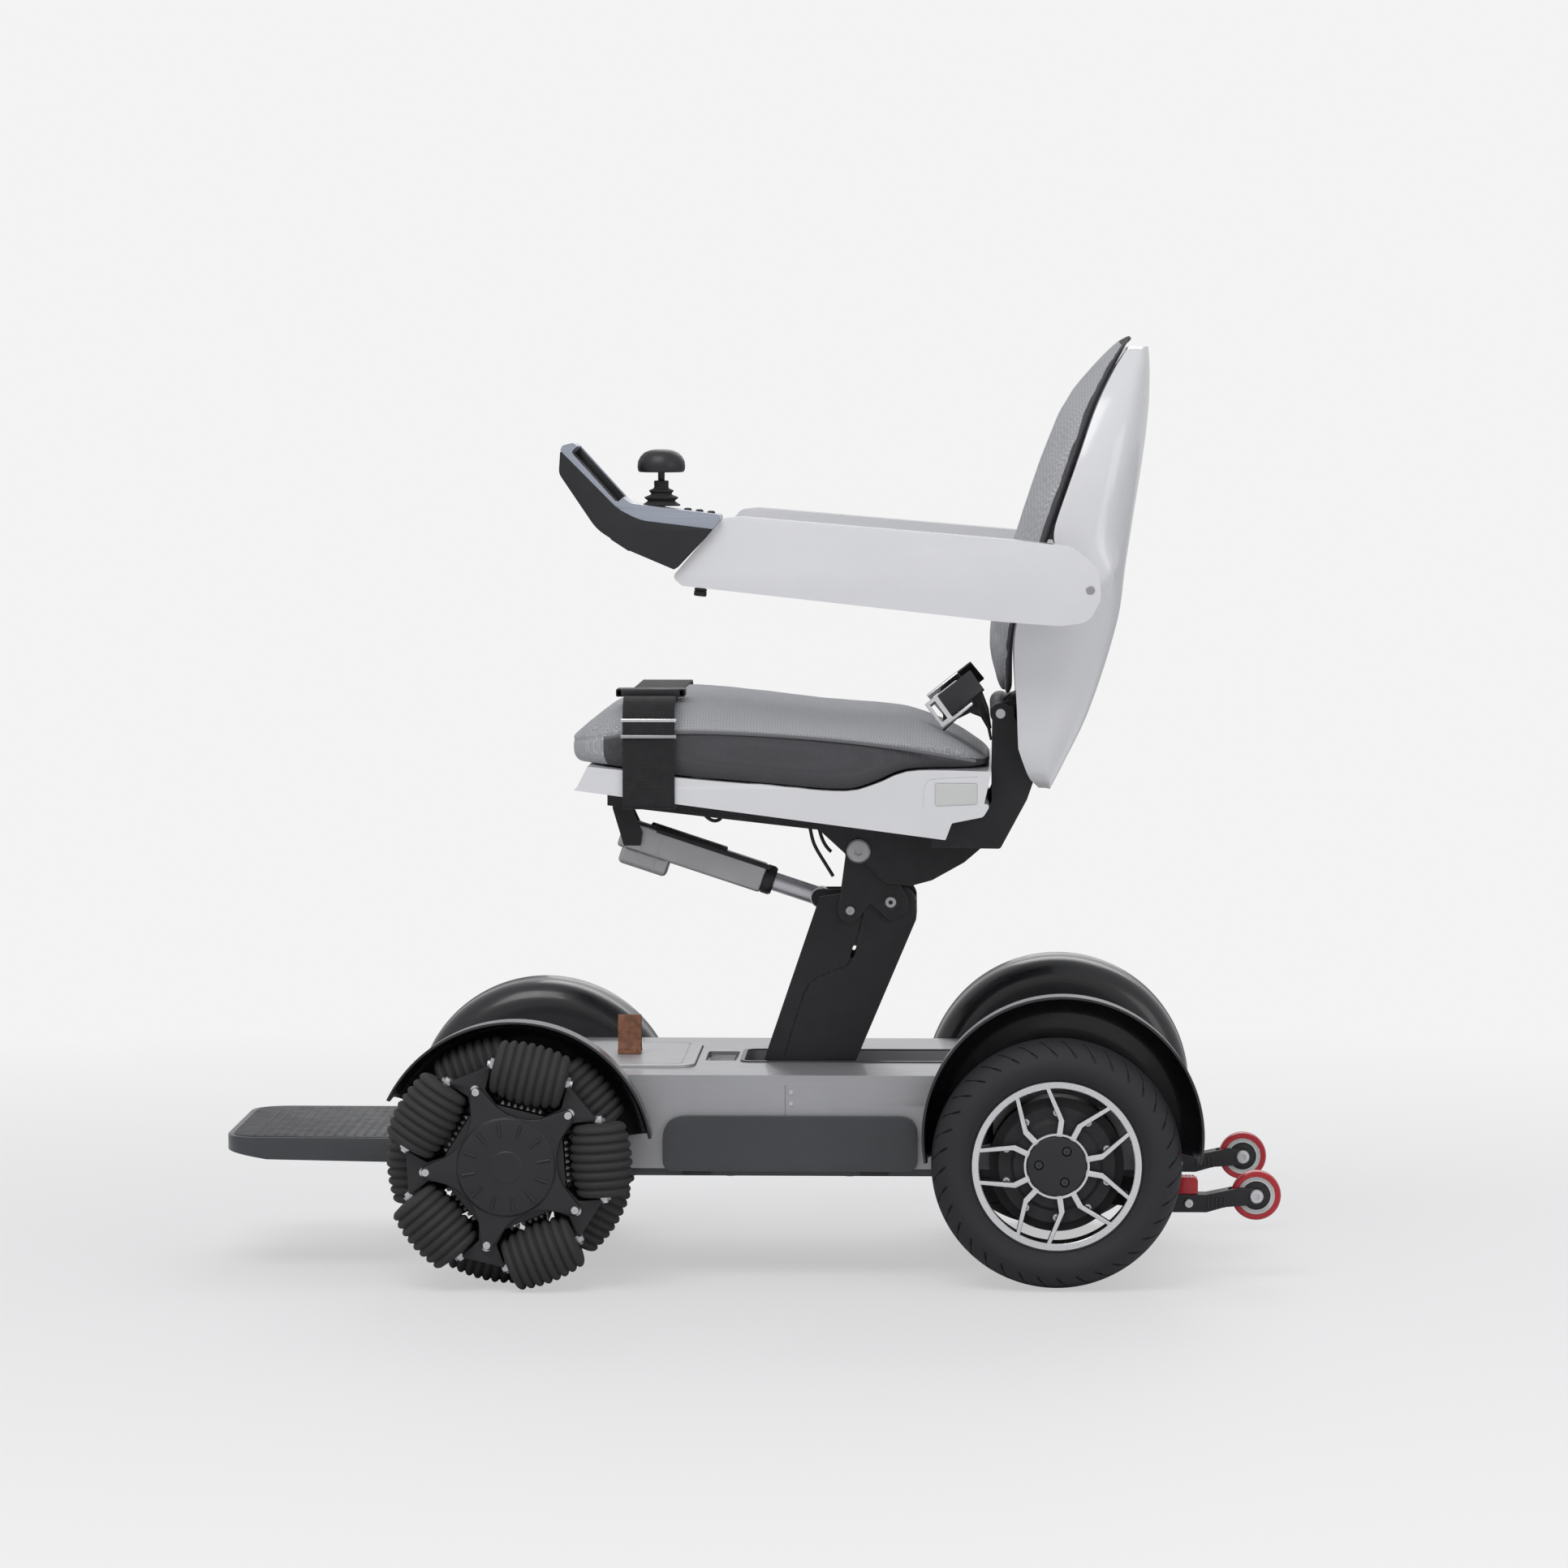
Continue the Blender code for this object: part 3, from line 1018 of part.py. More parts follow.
def make_back():
    """The fixed bracket behind the seat, and the shell and cushion that fold on it."""
    bx, bz = BACK_PIVOT
    g = SEAT_GAP + 0.0002
    outline = [
        (0.1890 + g, along_seat(0.189, 0.001)), (0.1890 + g, 0.449), (0.262, 0.448), (0.290, 0.500),
        (0.301, 0.532), (0.292, 0.562), (0.276, 0.585), (0.276, 0.597), (0.254, 0.597), (0.2535, 0.560),
        (0.2525 + g, 0.530), (0.2525 + g, 0.498), (0.2450, 0.4860), (0.2120, 0.4793),
        (PAN_REAR_LOW[0] + g, PAN_REAR_LOW[1] - g),
    ]
    bracket = plate("back_bracket", [outline], -BRACKET_HALF, BRACKET_HALF, "black")
    barrel_r = 0.011
    knuckle = rod("n", (bx, -BRACKET_HALF, bz), (bx, BRACKET_HALF, bz), barrel_r, "black", 20,
                  group=CUTTER_GROUP)
    gap = box("g", (bx - 0.04, -KNUCKLE_HALF - RUN_GAP, bz - 0.016),
              (bx + 0.06, KNUCKLE_HALF + RUN_GAP, bz + 0.05), None, CUTTER_GROUP)
    bracket = cut(join(bracket, knuckle), gap)
    pin = rod("p", (bx, -BRACKET_HALF + 0.004, bz), (bx, BRACKET_HALF - 0.004, bz), 0.005, "black", 12,
              group=CUTTER_GROUP)
    seat_on(join(bracket, pin), (TILT_PIVOT[0], 0.0, TILT_PIVOT[1]))

    stations = BACK_STATIONS
    bm = bmesh.new()
    rows = []
    for z, front, rear, half in stations:
        row = []
        depth = rear - front
        for k in range(SHELL_SIDES + 1):
            t = -1 + 2 * k / SHELL_SIDES
            # a squared-off U seen from above: wings at the sides, a gently bowed middle
            a = t * math.pi / 2
            x = front + depth * abs(math.cos(a)) ** 0.42
            y = half * (1 if a > 0 else -1) * abs(math.sin(a)) ** 0.5
            row.append(bm.verts.new((x, y, z)))
        rows.append(row)
    for a, b in zip(rows, rows[1:]):
        for k in range(SHELL_SIDES):
            bm.faces.new((a[k], a[k + 1], b[k + 1], b[k]))
    top = rows[-1]
    bm.faces.new(top)
    bmesh.ops.recalc_face_normals(bm, faces=bm.faces)
    probe = bm.faces[:][SHELL_SIDES // 2]
    if probe.normal.x < 0:
        bmesh.ops.reverse_faces(bm, faces=bm.faces)
    mesh = bpy.data.meshes.new("back_shell")
    bm.to_mesh(mesh)
    bm.free()
    shell = add_object("back_shell", mesh, None)
    wall = shell.modifiers.new("wall", "SOLIDIFY")
    wall.thickness = BACK_WALL
    wall.offset = -1.0
    shell = smooth(bake(shell, "white"), 40)
    # the hinge leaf reaches from the shell's inside to the knuckle between the bracket's ears
    leaf = plate("l", [[
        (bx - 0.002, bz + 0.0095), (bx + 0.002, bz - 0.0095), (bx + 0.016, bz - 0.010), (0.345, 0.608),
        (0.369, 0.640), (0.340, 0.640), (bx + 0.014, bz + 0.0125),
    ]], -KNUCKLE_HALF, KNUCKLE_HALF, "white", CUTTER_GROUP)
    eye = rod("e", (bx, -KNUCKLE_HALF, bz), (bx, KNUCKLE_HALF, bz), barrel_r, "white", 20,
              group=CUTTER_GROUP)
    bore = rod("b", (bx, -0.2, bz), (bx, 0.2, bz), 0.005 + RUN_GAP, None, 14, group=CUTTER_GROUP)
    bosses = [
        rod(f"a{sign}", (ARM_PIVOT[0], sign * (BACK_SIDE_Y - 0.060), ARM_PIVOT[1]),
            (ARM_PIVOT[0], sign * BACK_SIDE_Y, ARM_PIVOT[1]), ARM_HUB_R, "white", 20, group=CUTTER_GROUP)
        for sign in (-1, 1)
    ]
    # a block on the shell's inside that the cushion lies against
    low_z, high_z = 0.770, 0.850
    block = plate("block", [[
        (between(BACK_REST_LINE, low_z) + SOFT_GAP, low_z), (0.3965, low_z), (0.4070, high_z),
        (between(BACK_REST_LINE, high_z) + SOFT_GAP, high_z),
    ]], -0.040, 0.040, "white", CUTTER_GROUP)
    shell = cut(join(shell, leaf, eye, block, *bosses), bore)
    seat_on(shell, (bx, 0.0, bz))
    pad = soft_block("back_cushion", None, None, back_pad_shape, "cloth")
    seat_on(pad, (bx, 0.0, bz))


def back_pad_shape(u, v, w, _low, _high):
    """The back cushion: w runs up, v across, u from its front to its rear."""
    fw, fv, most = pad_plan(w, v, u, 4.0, 0.05)
    z = BACK_PAD_LOW + (BACK_PAD_HIGH - BACK_PAD_LOW) * (fw + 1) / 2
    front = between(BACK_FRONT_LINE, z) + 0.010 * most ** 4
    rear = between(BACK_REST_LINE, z)
    half = between(BACK_PAD_HALF, z)
    return Vector((front + (rear - front) * (u + 1) / 2, fv * half, z))


def make_arms():
    """Both armrests with the hubs that keep them level as the back folds."""
    px, pz = ARM_PIVOT
    for name, side in SIDES.items():
        outline = rounded([
            (ARM_TIP[0], ARM_TIP[1]), (ARM_TIP[0] + 0.010, ARM_TIP[1] - 0.009), (0.262, 0.6915),
            (0.322, 0.6870), (0.352, 0.6910), (0.3640, 0.7150), (0.3620, 0.7440), (0.336, 0.7680),
            (0.280, 0.7744), (-0.005, 0.7985), (-0.024, 0.7965),
        ], 0.008, 1)
        ends = sorted((side * ARM_INNER_Y, side * (ARM_INNER_Y + ARM_WIDTH)))
        arm = bevel(plate(f"arm_{name}", [outline], *ends, "white"), 0.006, 2, 50)
        seat_on(arm, (px, side * ARM_INNER_Y, pz))
        hub = rod(f"arm_hub_{name}", (px, side * (BACK_SIDE_Y + RUN_GAP), pz),
                  (px, side * (ARM_INNER_Y - RUN_GAP), pz), ARM_HUB_R, "black", 24)
        seat_on(smooth(hub), (px, side * ARM_INNER_Y, pz))


# Control pod

def make_pod():
    """Joystick pod on the left arm: body, top with its tray, boot, stick and buttons."""
    y_low, y_high = POD_Y - POD_HALF, POD_Y + POD_HALF
    gap = 0.0006
    slope = Vector((ARM_TIP[0] + 0.024, ARM_TIP[1] - 0.7965))
    lean = Vector((slope.y, -slope.x)).normalized() * gap
    lean = lean if lean.x < 0 else -lean
    rear_top = Vector((-0.0235, 0.7965)) + lean - Vector((0.001, 0.0))
    rear_low = Vector(ARM_TIP) + lean + Vector((0.003, 0.0080))
    seam = [(-0.1890, 0.8660), (-0.1300, 0.8065), (-0.1080, 0.7950)]
    low = rounded([seam[0], (-0.1905, 0.8430), (-0.1520, 0.7860), (-0.1180, 0.7640)], 0.006, 2)
    body = low + [tuple(rear_low), (rear_top.x - 0.0085, rear_top.y - 0.0102), seam[2], seam[1]]
    arm_pivot = (ARM_PIVOT[0], LEFT * ARM_INNER_Y, ARM_PIVOT[1])
    seat_on(bevel(plate("pod_body", [body], y_low, y_high, "black"), 0.004, 1, 60), arm_pivot)
    top = [
        *[(x, z + SEAT_GAP) for x, z in seam], (rear_top.x - 0.0082, rear_top.y - 0.0098),
        (rear_top.x, rear_top.y), (-0.0260, POD_DECK - 0.001), (-0.1190, POD_DECK + 0.0105),
        (-0.1755, 0.8745), (-0.1870, 0.8715),
    ]
    bezel = plate("pod_bezel", [top], y_low + 0.001, y_high - 0.001, "bezel")
    tools = []
    tray = box("t", (-0.032, -POD_HALF + 0.007, -0.006), (0.032, POD_HALF - 0.007, 0.010), None,
               CUTTER_GROUP)
    lean_angle = math.atan2(0.8745 - POD_DECK - 0.0105, 0.1755 - 0.1190)
    tray.data.transform(Matrix.Translation((-0.1475, POD_Y, 0.8440)) @ Matrix.Rotation(lean_angle, 4, "Y"))
    tools.append(tray)
    for number in range(BUTTONS):
        bx = BUTTON_X + number * BUTTON_STEP
        deck = deck_height(bx)
        tools.append(rod(f"h{number}", (bx, POD_Y, deck - 0.0035), (bx, POD_Y, deck + 0.02),
                         BUTTON_R + 0.0005, None, 14, group=CUTTER_GROUP))
        dome = [(0.0, 0.0022), (BUTTON_R * 0.7, 0.0018), (BUTTON_R, 0.0008), (BUTTON_R, -0.0020),
                (0.0, -0.0020)]
        button = turned(f"pod_button_{number + 1}", dome, (0, 0, 0), "black", 14)
        button.data.transform(Matrix.Translation((bx, POD_Y, deck)) @ Matrix.Rotation(-math.pi / 2, 4, "X"))
        seat_on(smooth(button), (bx, POD_Y, deck))
    sx = STICK_X
    well = deck_height(sx)
    tools.append(rod("w", (sx, POD_Y, well - 0.0058), (sx, POD_Y, well + 0.03), 0.0100, None, 20,
                     group=CUTTER_GROUP))
    seat_on(cut(bezel, *tools), arm_pivot)
    pivot = Vector((sx, POD_Y, well - 0.001))
    gimbal = bmesh.new()
    bmesh.ops.create_uvsphere(gimbal, u_segments=10, v_segments=6, radius=0.0045,
                              matrix=Matrix.Translation(pivot))
    seat_on(finish_mesh(gimbal, "joystick_gimbal", "steel"), pivot)
    ribs = [(0.0175, 0.0030), (0.0165, 0.0070), (0.0125, 0.0095), (0.0150, 0.0120), (0.0105, 0.0145),
            (0.0125, 0.0170), (0.0085, 0.0200), (0.0085, 0.0255)]
    wall = 0.0012
    section = ribs + [(r - wall, h + 0.0003) for r, h in reversed(ribs)]
    boot = turned("joystick_boot", section + [section[0]], (0, 0, 0), "rubber", 14)
    boot.data.transform(Matrix.Translation((sx, POD_Y, well)) @ Matrix.Rotation(-math.pi / 2, 4, "X"))
    seat_on(smooth(boot), pivot)
    knob_profile = [
        (0.0, 0.0590), (0.012, 0.0580), (0.020, 0.0530), (0.0245, 0.0460), (0.0245, 0.0370), (0.021, 0.0350),
        (0.0, 0.0350),
    ]
    knob = turned("joystick_knob", knob_profile, (0, 0, 0), "black", 20)
    stick_profile = [(0.0, 0.040), (0.0035, 0.040), (0.0035, 0.0038), (0.0, 0.0038)]
    stick = turned("st", stick_profile, (0, 0, 0), "black", 12, group=CUTTER_GROUP)
    knob = join(knob, stick)
    knob.data.transform(Matrix.Translation((sx, POD_Y, well)) @ Matrix.Rotation(-math.pi / 2, 4, "X"))
    seat_on(smooth(knob), pivot)


def deck_height(x):
    """Height of the pod's top face at x."""
    low, high = (-0.0260, POD_DECK - 0.001), (-0.1190, POD_DECK + 0.0105)
    return low[1] + (high[1] - low[1]) * (x - low[0]) / (high[0] - low[0])


make_base()
make_fenders()
for side_name, side_sign in SIDES.items():
    make_roller_wheel(side_name, side_sign)
    make_rear_wheel(side_name, side_sign)
    make_anti_tip(side_name, side_sign)
make_footplate()
make_post()
make_lift_bracket()
make_seat_frame()
make_actuator()
make_seat()
make_back()
make_arms()
make_pod()
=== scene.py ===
"""Folding power wheelchair: the detailed pieces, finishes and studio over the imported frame.

The user faces -X, so the left side is -Y. Lengths are metres and angles in the classes are degrees.
"""
import logging
import math
from contextlib import contextmanager
from dataclasses import dataclass, field
from enum import Enum
from typing import Callable, Iterator, Sequence

import bmesh
import bpy
from mathutils import Matrix, Vector


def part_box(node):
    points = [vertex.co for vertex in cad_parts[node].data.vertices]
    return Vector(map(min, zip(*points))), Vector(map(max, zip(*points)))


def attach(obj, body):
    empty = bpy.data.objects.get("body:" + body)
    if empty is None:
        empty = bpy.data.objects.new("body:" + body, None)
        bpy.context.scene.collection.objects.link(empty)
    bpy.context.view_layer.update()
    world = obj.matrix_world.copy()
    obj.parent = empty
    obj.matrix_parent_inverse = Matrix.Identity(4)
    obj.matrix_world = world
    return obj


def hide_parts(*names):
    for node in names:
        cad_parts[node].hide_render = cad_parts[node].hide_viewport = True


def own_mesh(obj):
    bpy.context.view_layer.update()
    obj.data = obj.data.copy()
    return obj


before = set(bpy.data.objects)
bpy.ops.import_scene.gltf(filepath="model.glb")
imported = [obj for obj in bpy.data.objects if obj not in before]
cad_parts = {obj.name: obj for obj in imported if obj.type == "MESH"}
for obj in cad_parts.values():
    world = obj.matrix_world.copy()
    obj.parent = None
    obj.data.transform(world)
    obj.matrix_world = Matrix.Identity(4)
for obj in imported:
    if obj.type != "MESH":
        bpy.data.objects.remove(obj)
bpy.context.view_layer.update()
LOG = logging.getLogger("wheelchair")

Point = tuple[float, float, float]
Flat = tuple[float, float]
Piece = bpy.types.Object
Socket = bpy.types.NodeSocket
ORIGIN = (0.0, 0.0, 0.0)
THROUGH = 0.1  # how far a through cut reaches to each side
GAP = 0.0003  # between a piece and what it lies on


class Side(Enum):
    """The two sides of the chair, with the sign of Y on each."""

    LEFT = -1
    RIGHT = 1

    @property
    def word(self) -> str:
        """The side's name as the nodes spell it."""
        return self.name.lower()


# ---- modelling tools

def only(piece: Piece) -> Piece:
    """Select one piece and nothing else."""
    bpy.ops.object.select_all(action="DESELECT")
    piece.select_set(True)
    bpy.context.view_layer.objects.active = piece
    return piece


def settle(piece: Piece) -> Piece:
    """Put a piece's place, turn and size into its mesh."""
    only(piece)
    bpy.ops.object.transform_apply(location=True, rotation=True, scale=True)
    return piece


@contextmanager
def editing(piece: Piece) -> Iterator[bmesh.types.BMesh]:
    """Open a piece in edit mode with nothing selected.

    Args:
        piece: the mesh object to edit.

    Yields:
        The edit mesh, to select its faces and edges in.
    """
    only(piece)
    bpy.ops.object.mode_set(mode="EDIT")
    bpy.ops.mesh.select_all(action="DESELECT")
    mesh = bmesh.from_edit_mesh(piece.data)
    for group in (mesh.verts, mesh.edges, mesh.faces):
        group.ensure_lookup_table()
    yield mesh
    bmesh.update_edit_mesh(piece.data)
    bpy.ops.object.mode_set(mode="OBJECT")


def tidy(piece: Piece, distance: float = 0.00002) -> Piece:
    """Merge doubled points and point the faces outwards."""
    with editing(piece):
        bpy.ops.mesh.select_all(action="SELECT")
        bpy.ops.mesh.remove_doubles(threshold=distance)
        bpy.ops.mesh.normals_make_consistent(inside=False)
    return piece


def cuboid(name: str, low: Point, high: Point) -> Piece:
    """A box between two corners."""
    bpy.ops.object.select_all(action="DESELECT")
    middle = [(a + b) / 2 for a, b in zip(low, high)]
    bpy.ops.mesh.primitive_cube_add(size=1.0, location=middle)
    piece = bpy.context.active_object
    piece.name = name
    piece.scale = [b - a for a, b in zip(low, high)]
    return settle(piece)


def rod(name: str, start: Point, end: Point, radius: float, sides: int = 32, tip: float | None = None) -> Piece:
    """A round bar or cone between two points.

    Args:
        name: the piece's name.
        start: one end's centre.
        end: the other end's centre.
        radius: the radius at the start.
        sides: how many faces go round.
        tip: the radius at the end, where it differs.

    Returns:
        The bar, capped at both ends.
    """
    bpy.ops.object.select_all(action="DESELECT")
    along = Vector(end) - Vector(start)
    bpy.ops.mesh.primitive_cone_add(
        vertices=sides, radius1=radius, radius2=radius if tip is None else tip, depth=along.length,
        location=(Vector(start) + Vector(end)) / 2, rotation=along.to_track_quat("Z", "Y").to_euler())
    piece = bpy.context.active_object
    piece.name = name
    return settle(piece)


def from_curve(name: str, lines: Sequence[Sequence[Sequence[float]]], kind: str = "POLY", **settings: object) -> Piece:
    """A mesh made of a curve's lines, with the given curve settings; a flat curve's lines are closed."""
    curve = bpy.data.curves.new(name, "CURVE")
    for key, value in settings.items():
        setattr(curve, key, value)
    for line in lines:
        spline = curve.splines.new(kind)
        spline.points.add(len(line) - 1)
        for point, place in zip(spline.points, line):
            point.co = (*place, 1.0)
        if kind == "NURBS":
            spline.use_endpoint_u, spline.order_u, spline.resolution_u = True, 4, 6
        spline.use_cyclic_u = curve.dimensions == "2D"
    piece = bpy.data.objects.new(name, curve)
    bpy.context.scene.collection.objects.link(piece)
    only(piece)
    bpy.ops.object.convert(target="MESH")
    return bpy.context.active_object


def wire(name: str, points: Sequence[Point], radius: float, fine: int = 4) -> Piece:
    """A smooth round wire or seam along points, with closed ends."""
    return tidy(from_curve(name, [points], "NURBS", dimensions="3D", bevel_depth=radius, bevel_resolution=fine,
                           use_fill_caps=True))


def apply(piece: Piece, kind: str, **settings: object) -> Piece:
    """Add a modifier with the given settings and apply it."""
    only(piece)
    modifier = piece.modifiers.new(kind.lower(), kind)
    for key, value in settings.items():
        setattr(modifier, key, value)
    bpy.ops.object.modifier_apply(modifier=modifier.name)
    return piece


def turned(name: str, profile: Sequence[Flat], centre: Point, steps: int = 72, side: Side = Side.LEFT,
           sweep: float = 360.0, start: float = 0.0) -> Piece:
    """A profile turned about a line along Y.

    Args:
        name: the piece's name.
        profile: (radius, distance outwards) pairs; outwards is away from the chair's middle.
        centre: where the line crosses the profile's zero.
        steps: how many faces go round.
        side: which way outwards is.
        sweep: how far it turns.
        start: where it starts, from +X towards +Z.

    Returns:
        The turned surface.
    """
    piece = from_curve(name, [[(radius, 0.0, out) for radius, out in profile]], dimensions="3D")
    apply(piece, "SCREW", axis="Z", angle=math.radians(sweep), steps=steps, render_steps=steps,
          use_merge_vertices=True, merge_threshold=0.00002)
    turn = Matrix.Rotation(math.pi / 2, 4, "X") @ Matrix.Rotation(math.radians(start), 4, "Z")
    if side is Side.RIGHT:
        turn = Matrix.Scale(-1, 4, (0, 1, 0)) @ turn
    piece.data.transform(Matrix.Translation(centre) @ turn)
    return tidy(piece)


def surface(name: str, across: int, along: int, place: Callable[[float, float], Point]) -> Piece:
    """A grid whose points are moved to where a function of (u, v), each 0 to 1, puts them."""
    bpy.ops.object.select_all(action="DESELECT")
    bpy.ops.mesh.primitive_grid_add(x_subdivisions=across, y_subdivisions=along, size=2.0)
    piece = bpy.context.active_object
    piece.name = name
    for vert in piece.data.vertices:
        vert.co = place((vert.co.x + 1) / 2, (vert.co.y + 1) / 2)
    return tidy(piece)


def edges_round(piece: Piece, width: float, segments: int = 3, angle: float = 35.0) -> Piece:
    """Round every edge sharper than an angle."""
    return apply(piece, "BEVEL", width=width, segments=segments, limit_method="ANGLE",
                 angle_limit=math.radians(angle), use_clamp_overlap=True, harden_normals=False)


def carve(piece: Piece, *tools: Piece, how: str = "DIFFERENCE") -> Piece:
    """Cut tools out of a piece, or melt them in, and drop them."""
    for tool in tools:
        apply(piece, "BOOLEAN", operation=how, solver="EXACT", object=tool)
        bpy.data.objects.remove(tool, do_unlink=True)
    return tidy(piece)


def gathered(name: str, pieces: Sequence[Piece]) -> Piece:
    """Join pieces into one object."""
    bpy.ops.object.select_all(action="DESELECT")
    for piece in pieces:
        piece.select_set(True)
    bpy.context.view_layer.objects.active = pieces[0]
    bpy.ops.object.join()
    pieces[0].name = name
    return pieces[0]


def copied(piece: Piece, name: str, place: Matrix) -> Piece:
    """A copy with its own mesh, moved by a matrix; a mirrored one is turned right side out."""
    twin = piece.copy()
    twin.data = piece.data.copy()
    twin.name = name
    bpy.context.scene.collection.objects.link(twin)
    twin.data.transform(place)
    if place.determinant() < 0:
        with editing(twin):
            bpy.ops.mesh.select_all(action="SELECT")
            bpy.ops.mesh.flip_normals()
    return twin


def ring_of(piece: Piece, name: str, centre: Point, count: int) -> Piece:
    """A piece repeated round a line along Y, as one object."""
    made = [piece]
    for step in range(1, count):
        turn = Matrix.Translation(centre) @ Matrix.Rotation(2 * math.pi * step / count, 4, "Y")
        made.append(copied(piece, f"{name}_{step}", turn @ Matrix.Translation(-Vector(centre))))
    return gathered(name, made)


def across(name: str, spot: Flat, half: float, radius: float, sides: int = 32) -> Piece:
    """A rod along Y through (x, z), as far to the left as to the right."""
    return rod(name, (spot[0], -half, spot[1]), (spot[0], half, spot[1]), radius, sides)


def on_wheel(centre: Point, side: Side, radius: float, degrees: float, out: float) -> Point:
    """A point on a wheel: a radius, an angle from +X towards +Z, and a distance outwards."""
    turn = math.radians(degrees)
    return (centre[0] + radius * math.cos(turn), centre[1] + side.value * out, centre[2] + radius * math.sin(turn))


def between(sign: int, near: float, far: float, middle: float = 0.0) -> tuple[float, float]:
    """The span in Y from near to far outwards, in rising order."""
    low, high = sorted((middle + sign * near, middle + sign * far))
    return low, high


def mirrored(half: Sequence[Flat]) -> list[Flat]:
    """A closed section from its outer half."""
    section = [*half, *((radius, -out) for radius, out in reversed(half))]
    return [*section, section[0]]


def oblong(x0: float, y0: float, x1: float, y1: float) -> list[Flat]:
    """A rectangle's corners."""
    return [(x0, y0), (x1, y0), (x1, y1), (x0, y1)]


def arc(centre: Flat, radius: float, start: float, end: float, count: int) -> list[Flat]:
    """Points on an arc in (x, z), anticlockwise from +X."""
    angles = [math.radians(start + (end - start) * i / count) for i in range(count + 1)]
    return [(centre[0] + radius * math.cos(a), centre[1] + radius * math.sin(a)) for a in angles]


def rounded(corners: Sequence[Flat], radius: float | Sequence[float], steps: int = 6) -> list[Flat]:
    """A loop with its corners rounded, by one radius or one for each corner."""
    made: list[Flat] = []
    count = len(corners)
    for i in range(count):
        here = Vector(corners[i])
        before, after = Vector(corners[i - 1]) - here, Vector(corners[(i + 1) % count]) - here
        size = radius if isinstance(radius, (int, float)) else radius[i]
        half = max(before.angle(after) / 2, 0.01)
        reach = min(size / math.tan(half), before.length / 2.1, after.length / 2.1)
        first, last = here + before.normalized() * reach, here + after.normalized() * reach
        for step in range(steps + 1):
            t = step / steps
            made.append(tuple(first * (1 - t) ** 2 + here * 2 * t * (1 - t) + last * t ** 2))
    return made


def read_line(line: Sequence[Flat], at: float) -> float:
    """A smooth value read from a few stations, by a curve through them."""
    if at <= line[0][0]:
        return line[0][1]
    for i in range(len(line) - 1):
        (x1, y1), (x2, y2) = line[i], line[i + 1]
        if at <= x2:
            x0, y0 = line[max(i - 1, 0)]
            x3, y3 = line[min(i + 2, len(line) - 1)]
            step, t = x2 - x1, (at - x1) / (x2 - x1)
            m1 = (y2 - y0) / (x2 - x0) * step
            m2 = (y3 - y1) / (x3 - x1) * step
            return ((2 * t ** 3 - 3 * t ** 2 + 1) * y1 + (t ** 3 - 2 * t ** 2 + t) * m1
                    + (3 * t ** 2 - 2 * t ** 3) * y2 + (t ** 3 - t ** 2) * m2)
    return line[-1][1]


# ---- finishes

BACKDROP = (0.90, 0.90, 0.905, 1.0)
WAVE_SCALE = 0.314  # a Wave texture's scale for one band a metre


@dataclass(frozen=True)
class Finish:
    """A plain moulded or painted finish: colour with slow variation, fine bump, worn edges.

    Attributes:
        name: the material's name.
        colour: base colour.
        roughness: mean roughness.
        metallic: metallic value.
        mottle: how much the colour varies.
        grain: size of the bump's grain, in grains a metre.
        depth: height of the bump, in metres.
        wear: how much lighter worn edges are.
        coat: clear coat.
        slot: the record's material slot it goes with, unless a piece says another; not used.
    """

    name: str
    colour: Point
    roughness: float = 0.4
    metallic: float = 0.0
    mottle: float = 0.06
    grain: float = 900.0
    depth: float = 0.00002
    wear: float = 0.0
    coat: float = 0.0
    slot: str = ""

    def material(self) -> bpy.types.Material:
        """The finish's material, made once."""
        made = bpy.data.materials.get(self.name)
        if made:
            return made
        made = bpy.data.materials.new(self.name)
        made.use_nodes = True
        kit = Wiring(made.node_tree)
        shader = made.node_tree.nodes["Principled BSDF"]
        plain = {"Metallic": self.metallic, "Coat Weight": self.coat, "Coat Roughness": 0.08, **self.extras()}
        for key, value in plain.items():
            shader.inputs[key].default_value = value
        colour, rough, height = self.weave(kit)
        kit.link(colour, shader.inputs["Base Color"])
        kit.link(rough, shader.inputs["Roughness"])
        kit.link(kit.bump(height, self.depth), shader.inputs["Normal"])
        return made

    def extras(self) -> dict[str, float]:
        """Further plain values of the shader."""
        return {}

    def tone(self, share: float) -> Point:
        """The colour made darker or lighter by a factor."""
        return tuple(min(1.0, c * share) for c in self.colour)

    def weave(self, kit: "Wiring") -> tuple[Socket, Socket, Socket]:
        """The finish's colour, roughness and bump height."""
        slow = kit.noise(14.0, 3.0)
        fine = kit.noise(self.grain, 2.0)
        colour = kit.ramp(slow, ((0.35, self.tone(1 - self.mottle)), (0.65, self.tone(1 + self.mottle))))
        if self.wear:
            worn = tuple(min(1.0, c + self.wear) for c in self.colour)
            colour = kit.blend(colour, worn, kit.edges(0.0035))
        rough = kit.span(kit.noise(60.0, 4.0), self.roughness * 0.88, min(1.0, self.roughness * 1.14))
        return colour, rough, fine


